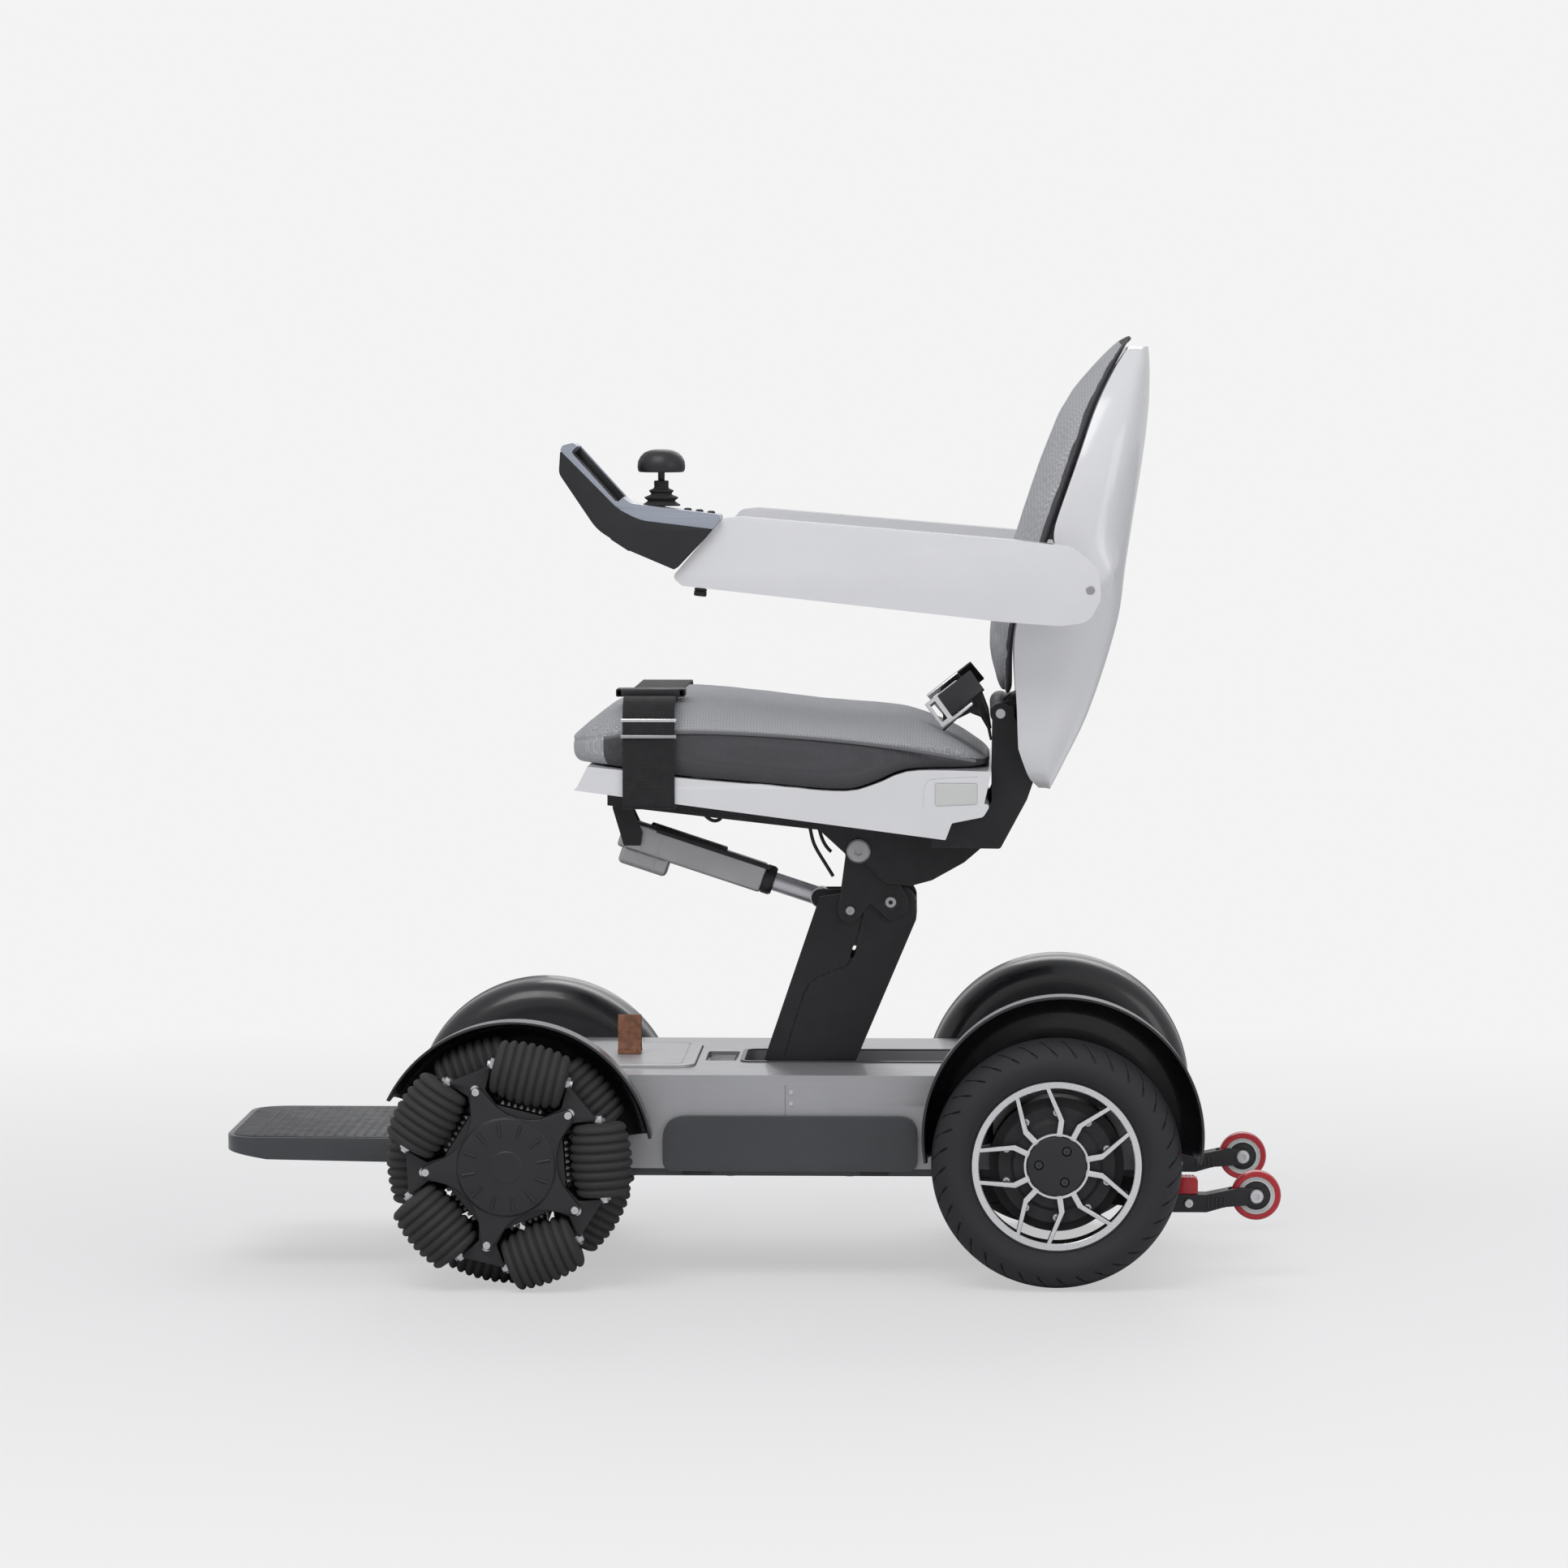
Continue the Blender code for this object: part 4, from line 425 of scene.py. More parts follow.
class Wiring:
    """Short calls for the nodes that the finishes share."""

    def __init__(self, tree: bpy.types.NodeTree) -> None:
        """Keep the tree and one Object coordinate node."""
        self.tree = tree
        self.place = tree.nodes.new("ShaderNodeTexCoord").outputs["Object"]

    def link(self, source: Socket, target: Socket) -> None:
        """Link two sockets."""
        self.tree.links.new(source, target)

    def node(self, kind: str, *inputs: object, mode: dict[str, str] | None = None, **named: object) -> bpy.types.Node:
        """A node with its modes set and its inputs set or linked; a space in a name is written as _."""
        made = self.tree.nodes.new(f"ShaderNode{kind}")
        for key, value in (mode or {}).items():
            setattr(made, key, value)
        for key, value in [*enumerate(inputs), *named.items()]:
            socket = made.inputs[key.replace("_", " ") if isinstance(key, str) else key]
            if isinstance(value, Socket):
                self.link(value, socket)
            else:
                socket.default_value = value
        return made

    def noise(self, scale: float, detail: float = 2.0, stretch: Point | None = None) -> Socket:
        """Noise on Object coordinates, stretched where asked."""
        place = self.node("Mapping", Vector=self.place, Scale=stretch).outputs[0] if stretch else self.place
        return self.node("TexNoise", Vector=place, Scale=scale, Detail=detail).outputs["Fac"]

    def waves(self, scale: float, axis: str, place: Socket | None = None) -> Socket:
        """Sine bands along an axis, scale bands a metre."""
        return self.node("TexWave", Vector=place or self.place, Scale=scale * WAVE_SCALE,
                         mode={"wave_type": "BANDS", "bands_direction": axis}).outputs["Fac"]

    def cells(self, scale: float, feature: str = "F1") -> Socket:
        """Distance in a field of cells."""
        return self.node("TexVoronoi", Vector=self.place, Scale=scale, mode={"feature": feature}).outputs["Distance"]

    def edges(self, width: float) -> Socket:
        """A mask of the piece's worn edges: how far a bevelled normal leaves the true one."""
        dot = self.node("VectorMath", self.node("Bevel", Radius=width).outputs["Normal"],
                        self.node("NewGeometry").outputs["Normal"], mode={"operation": "DOT_PRODUCT"})
        flat = self.span(dot.outputs["Value"], 1.0, 0.0, 0.90, 0.995)
        return self.sums("MULTIPLY", flat, self.span(self.noise(220.0, 4.0), 0.0, 1.0, 0.45, 0.65))

    def sums(self, how: str, first: Socket | float, second: Socket | float) -> Socket:
        """A Math node."""
        return self.node("Math", first, second, mode={"operation": how}).outputs[0]

    def span(self, value: Socket, low: float, high: float, start: float = 0.3, end: float = 0.7) -> Socket:
        """A value mapped from start..end to low..high."""
        return self.node("MapRange", Value=value, From_Min=start, From_Max=end, To_Min=low, To_Max=high).outputs[0]

    def ramp(self, value: Socket, stops: Sequence[tuple[float, Point]]) -> Socket:
        """A colour ramp between two stops."""
        node = self.node("ValToRGB", Fac=value)
        for stop, (at, colour) in zip(node.color_ramp.elements, stops):
            stop.position = at
            stop.color = (*colour, 1.0)
        return node.outputs["Color"]

    def blend(self, colour: Socket, other: Point | Socket, amount: Socket) -> Socket:
        """Mix a colour with another by a mask."""
        node = self.node("Mix", amount, mode={"data_type": "RGBA"})
        colour_a, colour_b = 6, 7
        self.link(colour, node.inputs[colour_a])
        if isinstance(other, Socket):
            self.link(other, node.inputs[colour_b])
        else:
            node.inputs[colour_b].default_value = (*other, 1.0)
        return node.outputs[2]

    def bump(self, height: Socket, depth: float) -> Socket:
        """A Bump node of a real depth."""
        return self.node("Bump", Distance=depth, Height=height).outputs["Normal"]


@dataclass(frozen=True)
class Brushed(Finish):
    """Metal with fine lines; streak stretches the noise along each axis."""

    metallic: float = 1.0
    streak: Point = (40.0, 900.0, 900.0)

    def weave(self, kit: Wiring) -> tuple[Socket, Socket, Socket]:
        """Streaks in colour, roughness and height."""
        lines = kit.noise(1.0, 3.0, self.streak)
        smudge = kit.span(kit.noise(35.0, 4.0), -0.05, 0.07)
        rough = kit.sums("ADD", kit.span(lines, self.roughness * 0.8, self.roughness * 1.25), smudge)
        return kit.ramp(lines, ((0.3, self.tone(1 - self.mottle)), (0.7, self.colour))), rough, lines


@dataclass(frozen=True)
class Rubber(Finish):
    """Moulded rubber: matt, dusty in the hollows, with a pebbled surface."""

    dust: Point = (0.10, 0.098, 0.095)

    def extras(self) -> dict[str, float]:
        """A weaker reflection."""
        return {"Specular IOR Level": 0.35}

    def weave(self, kit: Wiring) -> tuple[Socket, Socket, Socket]:
        """Dust over the base, and two sizes of pebbles."""
        dust = kit.span(kit.noise(22.0, 5.0), 0.0, 0.45, 0.5, 0.8)
        base = kit.ramp(kit.noise(9.0, 2.0), ((0.3, self.tone(0.8)), (0.7, self.colour)))
        rough = kit.span(kit.noise(140.0, 4.0), self.roughness - 0.1, self.roughness + 0.1)
        pebbles = kit.sums("ADD", kit.noise(self.grain, 2.0), kit.cells(self.grain * 0.7))
        return kit.blend(base, self.dust, dust), rough, pebbles


@dataclass(frozen=True)
class Knit(Finish):
    """Cushion cloth: a fine knit of zigzag rows, with a little fuzz.

    Attributes:
        rows: rows of loops in a metre.
        light: the colour of the raised yarn.
    """

    rows: float = 320.0
    light: Point = (0.32, 0.32, 0.35)

    def extras(self) -> dict[str, float]:
        """The cloth's sheen."""
        return {"Sheen Weight": 0.12, "Sheen Roughness": 0.6}

    def weave(self, kit: Wiring) -> tuple[Socket, Socket, Socket]:
        """The knit's rows, stacked along X and shifted to and fro."""
        zigzag = kit.sums("MULTIPLY", kit.waves(self.rows * 0.45, "Y"), 0.0045)
        shift = kit.node("CombineXYZ", X=zigzag, Z=zigzag).outputs["Vector"]
        rows = kit.waves(self.rows, "X", kit.node("VectorMath", kit.place, shift).outputs["Vector"])
        stitch = kit.sums("MULTIPLY", rows, kit.span(kit.waves(self.rows * 1.3, "Y"), 0.55, 1.0))
        colour = kit.ramp(stitch, ((0.15, self.colour), (0.85, self.light)))
        faded = kit.blend(colour, self.colour, kit.span(kit.noise(7.0, 4.0), 0.0, 0.35))
        rough = kit.span(kit.noise(300.0, 3.0), self.roughness - 0.08, self.roughness)
        return faded, rough, kit.sums("ADD", stitch, kit.span(kit.noise(2600.0, 2.0), -0.15, 0.15))


@dataclass(frozen=True)
class Webbing(Finish):
    """Strap webbing: ribs across the strap and a plain weave between them."""

    pitch: float = 520.0
    axis: str = "Z"

    def extras(self) -> dict[str, float]:
        """A faint sheen."""
        return {"Sheen Weight": 0.08}

    def weave(self, kit: Wiring) -> tuple[Socket, Socket, Socket]:
        """Ribs and weave."""
        cross = kit.sums("MULTIPLY", kit.waves(self.pitch * 0.8, "X"), kit.waves(self.pitch * 0.8, "Y"))
        height = kit.sums("ADD", kit.waves(self.pitch, self.axis), kit.sums("MULTIPLY", cross, 0.8))
        rough = kit.span(kit.noise(90.0, 3.0), self.roughness - 0.07, self.roughness + 0.05)
        return kit.ramp(height, ((0.3, self.tone(0.55)), (0.95, self.tone(1.9)))), rough, height


@dataclass(frozen=True)
class Hide(Finish):
    """Leather: pores and creases, a little darker in them."""

    def weave(self, kit: Wiring) -> tuple[Socket, Socket, Socket]:
        """Pores and creases."""
        creases = kit.noise(160.0, 6.0)
        grain = kit.sums("ADD", kit.cells(self.grain, "SMOOTH_F1"), kit.sums("MULTIPLY", creases, 0.7))
        rough = kit.span(kit.noise(70.0, 4.0), self.roughness - 0.1, self.roughness + 0.1)
        return kit.ramp(creases, ((0.35, self.tone(0.6)), (0.6, self.colour))), rough, grain


WHITE = Finish("white_gloss", (0.83, 0.83, 0.845), 0.2, mottle=0.012, grain=420.0, depth=0.000012, coat=0.5,
               slot="gloss_white")
SILVER = Finish("silver_satin", (0.44, 0.44, 0.455), 0.38, 0.35, 0.03, 1500.0, 0.00001, coat=0.25, slot="silver_body")
DECK = Finish("silver_deck", (0.50, 0.50, 0.515), 0.42, 0.25, 0.03, 1400.0, 0.000015, coat=0.15, slot="silver_body")
GREY = Finish("dark_satin", (0.058, 0.060, 0.066), 0.34, 0.15, 0.06, 900.0, 0.00001, coat=0.2, slot="dark_trim")
BLACK = Finish("black_moulded", (0.018, 0.018, 0.020), 0.44, 0.0, 0.1, 1300.0, 0.00005, slot="black_plastic")
POWDER = Finish("black_powder_coat", (0.020, 0.020, 0.022), 0.5, 0.2, 0.1, 1500.0, 0.00006, wear=0.03,
                slot="black_alloy")
PAD = Finish("footplate_rubber", (0.030, 0.031, 0.033), 0.55, 0.0, 0.08, 1700.0, 0.00005, slot="black_plastic")
GUARD = Finish("black_satin", (0.014, 0.014, 0.016), 0.3, 0.0, 0.05, 700.0, 0.000003, coat=0.3, slot="dark_trim")
STEEL = Brushed("bright_steel", (0.62, 0.62, 0.64), 0.24, depth=0.000006, slot="bright_steel")
ALLOY = Brushed("machined_alloy", (0.86, 0.86, 0.87), 0.24, streak=(500.0, 60.0, 500.0), depth=0.000008,
                slot="wheel_alloy")
CAST = Brushed("silver_alloy", (0.50, 0.50, 0.51), 0.42, depth=0.00001, mottle=0.1, slot="bright_steel")
TYRE = Rubber("tyre_rubber", (0.022, 0.022, 0.023), 0.66, grain=1500.0, depth=0.00005, slot="tyre_rubber")
ROLLER = Rubber("roller_rubber", (0.034, 0.032, 0.030), 0.6, grain=1700.0, depth=0.00004, slot="roller_rubber")
BOOT = Rubber("boot_rubber", (0.016, 0.016, 0.017), 0.52, grain=1900.0, depth=0.00002, slot="boot_rubber")
MESH = Knit("seat_mesh", (0.40, 0.402, 0.42), 0.92, depth=0.0004, light=(0.66, 0.665, 0.69), slot="cloth")
# Darker side cloth with painted shade: its dark colour is partly the cloth's own and partly stands for the shade on the
# cushions' sides, where the back shell shades the back cushion.
BAND_AND_SHADE = Knit("side_band", (0.066, 0.066, 0.072), 0.9, depth=0.0002, rows=520.0, light=(0.100, 0.101, 0.110),
            slot="cloth")
PIPING = Knit("piping", (0.16, 0.16, 0.17), 0.9, depth=0.0001, rows=900.0, light=(0.26, 0.26, 0.27), slot="cloth")
STRAP = Webbing("black_webbing", (0.007, 0.007, 0.008), 0.78, depth=0.00025, slot="webbing")
BELT = Webbing("belt_webbing", (0.007, 0.007, 0.008), 0.78, depth=0.00025, axis="Y", slot="webbing")
LEATHER = Hide("brown_leather", (0.30, 0.125, 0.065), 0.5, grain=1500.0, depth=0.00012, slot="leather")
RED = Finish("red_polyurethane", (0.50, 0.012, 0.022), 0.32, 0.0, 0.05, 700.0, 0.00002, coat=0.25, slot="red_plastic")
BLUE = Finish("blue_grey_top", (0.42, 0.455, 0.53), 0.3, 0.35, 0.03, 1300.0, 0.00001, coat=0.3, slot="pod_top")
PALE = Finish("pale_panel", (0.70, 0.70, 0.69), 0.35, 0.0, 0.02, 900.0, 0.00001, slot="gloss_white")


# ---- sub-assemblies

@dataclass
class Assembly:
    """A sub-assembly of the chair: build() shapes its pieces and dress() gives them their finishes."""

    finishes: list[tuple[Piece, tuple[Finish, ...]]] = field(default_factory=list, init=False)

    def add(self, piece: Piece, body: str, finish: Finish | tuple[Finish, ...], *nodes: str, slot: str = "",
            angle: float = 32.0) -> Piece:
        """Hang a finished piece on its body.

        Args:
            piece: the piece, in place.
            body: the CAD body it rides on.
            finish: its finish, or one for each material index.
            *nodes: the CAD nodes it stands for.
            slot: the record's material slot, where it is not the finish's own; not used.
            angle: edges under this many degrees are shaded smooth.

        Returns:
            The piece.
        """
        only(piece)
        bpy.ops.object.shade_smooth_by_angle(angle=math.radians(angle))
        finishes = finish if isinstance(finish, tuple) else (finish,)
        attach(piece, body)
        if nodes:
            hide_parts(*nodes)
        self.finishes.append((piece, finishes))
        return piece

    def carry(self, node: str, finish: Finish) -> None:
        """Keep a CAD node as it is, with a detailed finish."""
        self.finishes.append((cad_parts[node], (finish,)))

    def build(self) -> None:
        """Shape the pieces."""
        raise NotImplementedError

    def dress(self) -> None:
        """Give every piece its material."""
        for piece, finishes in self.finishes:
            zones = [face.material_index for face in piece.data.polygons]
            piece.data.materials.clear()
            for finish in finishes:
                piece.data.materials.append(finish.material())
            if len(finishes) > 1:
                piece.data.polygons.foreach_set("material_index", zones)


class Plane(Enum):
    """The plane a flat loop is drawn in, with the matrix that lays the (x, z) drawing there."""

    SIDE = Matrix.Identity(4)
    PLAN = Matrix(((1, 0, 0, 0), (0, 0, 1, 0), (0, 1, 0, 0), (0, 0, 0, 1)))
    FRONT = Matrix(((0, 1, 0, 0), (1, 0, 0, 0), (0, 0, 1, 0), (0, 0, 0, 1)))


def prism(name: str, loop: Sequence[Flat], low: float, high: float, plane: Plane = Plane.SIDE,
          *holes: Sequence[Flat]) -> Piece:
    """A flat loop given a thickness across its plane: SIDE takes (x, z), PLAN (x, y) and FRONT (y, z)."""
    lines = [[(*point, 0.0) for point in line] for line in (loop, *holes)]
    piece = from_curve(name, lines, dimensions="2D", fill_mode="BOTH", extrude=(high - low) / 2)
    piece.rotation_euler = (math.pi / 2, 0.0, 0.0)
    piece.location = (0.0, (low + high) / 2, 0.0)
    tidy(settle(piece)).data.transform(plane.value)
    return tidy(piece)


def spun(name: str, profile: Sequence[Flat], centre: Point, axis: Point, steps: int = 48) -> Piece:
    """A profile of (radius, distance along the axis) turned about any line."""
    piece = turned(name, profile, (0.0, 0.0, 0.0), steps)
    piece.data.transform(Matrix.Rotation(-math.pi / 2, 4, "X"))
    turn = Vector(axis).to_track_quat("Z", "Y").to_matrix().to_4x4()
    piece.data.transform(Matrix.Translation(centre) @ turn)
    return piece


def screw_head(name: str, centre: Point, axis: Point, radius: float, high: float, socket: float = 0.5) -> Piece:
    """A domed screw head with a hexagon socket, standing on centre along axis."""
    head = spun(name, [(0.0, 0.0), (radius, 0.0), (radius, high * 0.55), (radius * 0.86, high * 0.92),
                       (radius * 0.6, high), (0.0, high)], centre, axis, 28)
    way = Vector(axis).normalized()
    start = Vector(centre) + way * high * 0.35
    return carve(head, rod(name + "_socket", start, start + way * high, radius * socket, 6))


@dataclass
class Shell(Assembly):
    """The low base: light shell, tray, deck hatch with its leather tab, skirts and battery."""

    front: float = -0.335
    rear: float = 0.430
    half: float = 0.185
    top: float = 0.214
    split: float = 0.116
    tray_floor: float = 0.108
    wall: float = 0.0035
    well: tuple[Flat, Flat] = ((-0.010, 0.302), (-0.058, 0.058))
    hatch: tuple[Flat, Flat] = ((-0.264, -0.061), (-0.119, 0.119))
    recess_depth: float = 0.0098
    seam_x: float = 0.038
    screw_rows: Flat = (0.196, 0.184)

    def build(self) -> None:
        """Shape the shell and everything fixed to it."""
        self.build_shell()
        self.build_tray()
        self.build_hatch()
        for side in Side:
            self.build_skirt(side)
        self.carry("battery_pack", BLACK)
        self.carry("post_pin", STEEL)

    def rectangle(self, spans: tuple[Flat, Flat], grow: float, radius: float) -> list[Flat]:
        """A rounded rectangle in plan, grown on every side."""
        (x0, x1), (y0, y1) = spans
        return rounded(oblong(x0 - grow, y0 - grow, x1 + grow, y1 + grow), radius)

    def build_shell(self) -> None:
        """The shell: rounded outside, hollow inside, with the post's well and the hatch's recess."""
        side = rounded([
            (self.front, self.split - 0.03), (self.front, self.top - 0.036), (self.front + 0.046, self.top),
            (self.rear - 0.034, self.top), (self.rear, self.top - 0.030), (self.rear, self.split - 0.03)],
            (0.001, 0.030, 0.050, 0.040, 0.030, 0.001), 8)
        shell = edges_round(prism("base_shell", side, -self.half, self.half), 0.014, 6, 50)
        shell = carve(shell, cuboid("below", (-1.0, -1.0, 0.0), (1.0, 1.0, self.split)))
        inside = cuboid("inside", (self.front + 0.006, -self.half + self.wall, self.split - 0.01),
                        (self.rear - 0.006, self.half - self.wall, self.top - 0.034))
        walls = prism("walls", self.rectangle(self.well, 0.005, 0.016), 0.05, self.top, Plane.PLAN)
        inside = carve(inside, walls)
        well = prism("well", self.rectangle(self.well, 0.0, 0.012), 0.05, 0.3, Plane.PLAN)
        pit = prism("pit", self.rectangle(self.hatch, 0.0012, 0.026), self.top - self.recess_depth - 0.0002, 0.3,
                    Plane.PLAN)
        vent = prism("vent", self.rectangle(((-0.052, -0.018), (-0.046, 0.046)), 0.0, 0.006),
                     self.top - 0.006, 0.3, Plane.PLAN)
        shell = carve(shell, inside, well, pit, vent)
        width, depth = 0.0005, 0.0012
        for sign in (-1, 1):
            shell = carve(shell, cuboid("seam", (self.seam_x - width, sign * self.half - depth, self.split - 0.01),
                                        (self.seam_x + width, sign * self.half + depth, self.top - 0.010)))
        self.add(shell, "base", SILVER, "chassis_shell", angle=40)
        for sign in (-1, 1):
            for z in self.screw_rows:
                head = screw_head(f"seam_screw_{'near' if sign < 0 else 'far'}_{int(z * 1000)}",
                                  (self.seam_x + 0.006, sign * (self.half - 0.0004), z), (0, sign, 0), 0.0024, 0.0012)
                self.add(head, "base", STEEL)
        lip = prism("well_trim", self.rectangle(self.well, 0.0045, 0.016), self.top, self.top + 0.0016, Plane.PLAN,
                    self.rectangle(self.well, 0.0, 0.012))
        self.add(edges_round(lip, 0.0006, 2), "base", GREY)
        socket = prism("charge_port", self.rectangle(((-0.048, -0.022), (-0.040, 0.040)), 0.0, 0.004),
                       self.top - 0.0058, self.top - 0.0030, Plane.PLAN)
        self.add(edges_round(socket, 0.0008, 2), "base", BLACK)

    def build_tray(self) -> None:
        """The dark tray under the shell, with its ribs and drain screws."""
        low, high = self.tray_floor, self.split - GAP
        side = rounded([(self.front + 0.020, high), (self.front + 0.045, low), (self.rear - 0.045, low),
                        (self.rear - 0.020, high)], 0.004, 4)
        tray = edges_round(prism("under_tray", side, -self.half + 0.004, self.half - 0.004), 0.0015, 2)
        pans = [prism("pan", self.rectangle(((x, x + 0.096), (y, y + 0.10)), 0.0, 0.012), low - 0.01, low + 0.0018,
                      Plane.PLAN) for x in (-0.262, -0.132, 0.120, 0.250) for y in (-0.155, -0.05, 0.055)]
        self.add(carve(tray, gathered("pans", pans)), "base", GREY, "underbody_tray")
        heads = [screw_head(f"tray_screw_{x}_{y}", (x, y, low), (0, 0, -1), 0.005, 0.0022)
                 for x in (-0.275, -0.02, 0.105, 0.360) for y in (-0.165, 0.165)]
        self.add(gathered("tray_screws", heads), "base", STEEL)

    def build_hatch(self) -> None:
        """The deck hatch and the leather tab that opens it."""
        low, high = self.top - 0.0095, self.top + 0.003
        lid = edges_round(prism("deck_hatch", self.rectangle(self.hatch, 0.0, 0.025), low, high, Plane.PLAN), 0.0022, 4)
        border, groove = 0.012, 0.0016
        inner = tuple((low_end + border, high_end - border) for low_end, high_end in self.hatch)
        ring = prism("ring", self.rectangle(inner, 0.0, 0.016), high - 0.0006, high + 0.01, Plane.PLAN,
                     self.rectangle(inner, -groove, 0.0145))
        self.add(carve(lid, ring), "hatch", DECK, "hatch_cover")
        self.build_tab(high + GAP)

    def build_tab(self, foot: float) -> None:
        """The folded leather tab and its rivets, facing the chair's side."""
        x, reach, half, thick, ear = -0.135, 0.0415, 0.0125, 0.0024, 0.0160
        outer = [(-ear, 0.0), (-0.0085, 0.0035), (-0.0062, 0.018), (-0.0046, reach - 0.003)]
        inner = [(-0.0085 + thick, 0.0035 + thick), (-0.0062 + thick, 0.018), (-0.0022, reach - 0.0045)]
        rise = outer + [(0.0, reach)] + [(-y, z) for y, z in reversed(outer)]
        fall = [(ear, thick)] + [(-y, z) for y, z in inner] + [(0.0, reach - thick)] + inner[::-1] + [(-ear, thick)]
        loop = [(y, foot + z) for y, z in rise + fall]
        tab = edges_round(prism("leather_tab", loop, x - half, x + half, Plane.FRONT), 0.0006, 2, 50)
        self.add(tab, "hatch", LEATHER, "pull_tab", angle=50)
        dome = [(0.0, 0.0), (0.0030, 0.0), (0.0030, 0.0006), (0.0018, 0.0015), (0.0, 0.0018)]
        rivets = [spun(f"tab_rivet_{i}_{out}", dome, (x + (i - 0.5) * 0.012, out * 0.0112, foot + thick),
                       (0, out * 0.4, 1), 20) for i in range(2) for out in (-1, 1)]
        self.add(gathered("tab_rivets", rivets), "hatch", STEEL)

    def build_skirt(self, side: Side) -> None:
        """A dark moulded bar along the base's side between the mudguards."""
        low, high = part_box(f"skirt_{side.word}")
        loop = rounded(oblong(low[0], low[2], high[0], high[2]), (0.012, 0.012, 0.020, 0.026), 8)
        span = between(side.value, self.half + GAP, self.half + 0.009)
        bar = edges_round(prism(f"side_skirt_{side.word}", loop, *span), 0.0042, 5, 50)
        self.add(bar, "base", GREY, f"skirt_{side.word}", angle=40)
        ends = [(low[0] + 0.020, low[0] + 0.050), (high[0] - 0.060, high[0] - 0.030)]
        for i, (x0, x1) in enumerate(ends):
            clip = prism(f"skirt_clip_{side.word}_{i}",
                         rounded(oblong(x0, low[2] - 0.0045, x1, low[2] + 0.0005), 0.002, 3),
                         *between(side.value, self.half - 0.002, self.half + 0.005))
            self.add(edges_round(clip, 0.0006, 2), "base", BLACK)


@dataclass
class Fenders(Assembly):
    """The four domed mudguards: a cheek against the base, a rounded shoulder and a beaded rim."""

    radius: float = 0.145
    crown: float = 0.026
    reach: float = 0.068
    inner_y: float = 0.1853
    wheel_z: float = 0.130
    rear_rise: float = 0.028
    front_x: float = -0.242
    rear_x: float = 0.327

    def build(self) -> None:
        """Shape a front and a rear mudguard on each side."""
        for side in Side:
            self.build_one(side, "front", (self.front_x, self.wheel_z), 10.0, 144.0)
            self.build_one(side, "rear", (self.rear_x, self.wheel_z + self.rear_rise), -11.0, 202.0)

    def build_one(self, side: Side, end: str, centre: Flat, start: float, sweep: float) -> None:
        """Turn the section about the wheel, thicken it and bead its rim."""
        r, c = self.radius, self.crown
        section = [(0.072, 0.0), (0.084, 0.0), (r - c - 0.010, 0.0004)]
        section += [(r - c + c * math.sin(math.radians(a)), c - c * math.cos(math.radians(a)))
                    for a in range(8, 91, 10)]
        section += [(r, c + 0.006), (r, self.reach - 0.004), (r + 0.0012, self.reach - 0.0012),
                    (r + 0.0012, self.reach)]
        place = (centre[0], side.value * self.inner_y, centre[1])
        guard = turned(f"{end}_mudguard_{side.word}", section, place, 72, side, sweep, start)
        with editing(guard) as mesh:
            flat = Vector((1.0, 0.0, 1.0))
            middle = Vector((centre[0], 0.0, centre[1]))
            face = max(mesh.faces, key=lambda f: (f.calc_center_median() * flat - middle).length)
            if face.normal.dot((face.calc_center_median() - middle) * flat) < 0:
                bpy.ops.mesh.select_all(action="SELECT")
                bpy.ops.mesh.flip_normals()
        apply(guard, "SOLIDIFY", thickness=0.0028, offset=-1.0)
        self.add(edges_round(guard, 0.0008, 2, 50), "base", GUARD, f"{end}_fender_{side.word}", angle=40)
        for i, turn in enumerate((start + sweep * 0.3, start + sweep * 0.7)):
            spot = arc(centre, 0.090, turn, turn, 1)[0]
            head = screw_head(f"{end}_guard_screw_{side.word}_{i}",
                              (spot[0], side.value * (self.inner_y + 0.0004), spot[1]), (0, side.value, 0), 0.0045,
                              0.002)
            self.add(head, "base", STEEL)


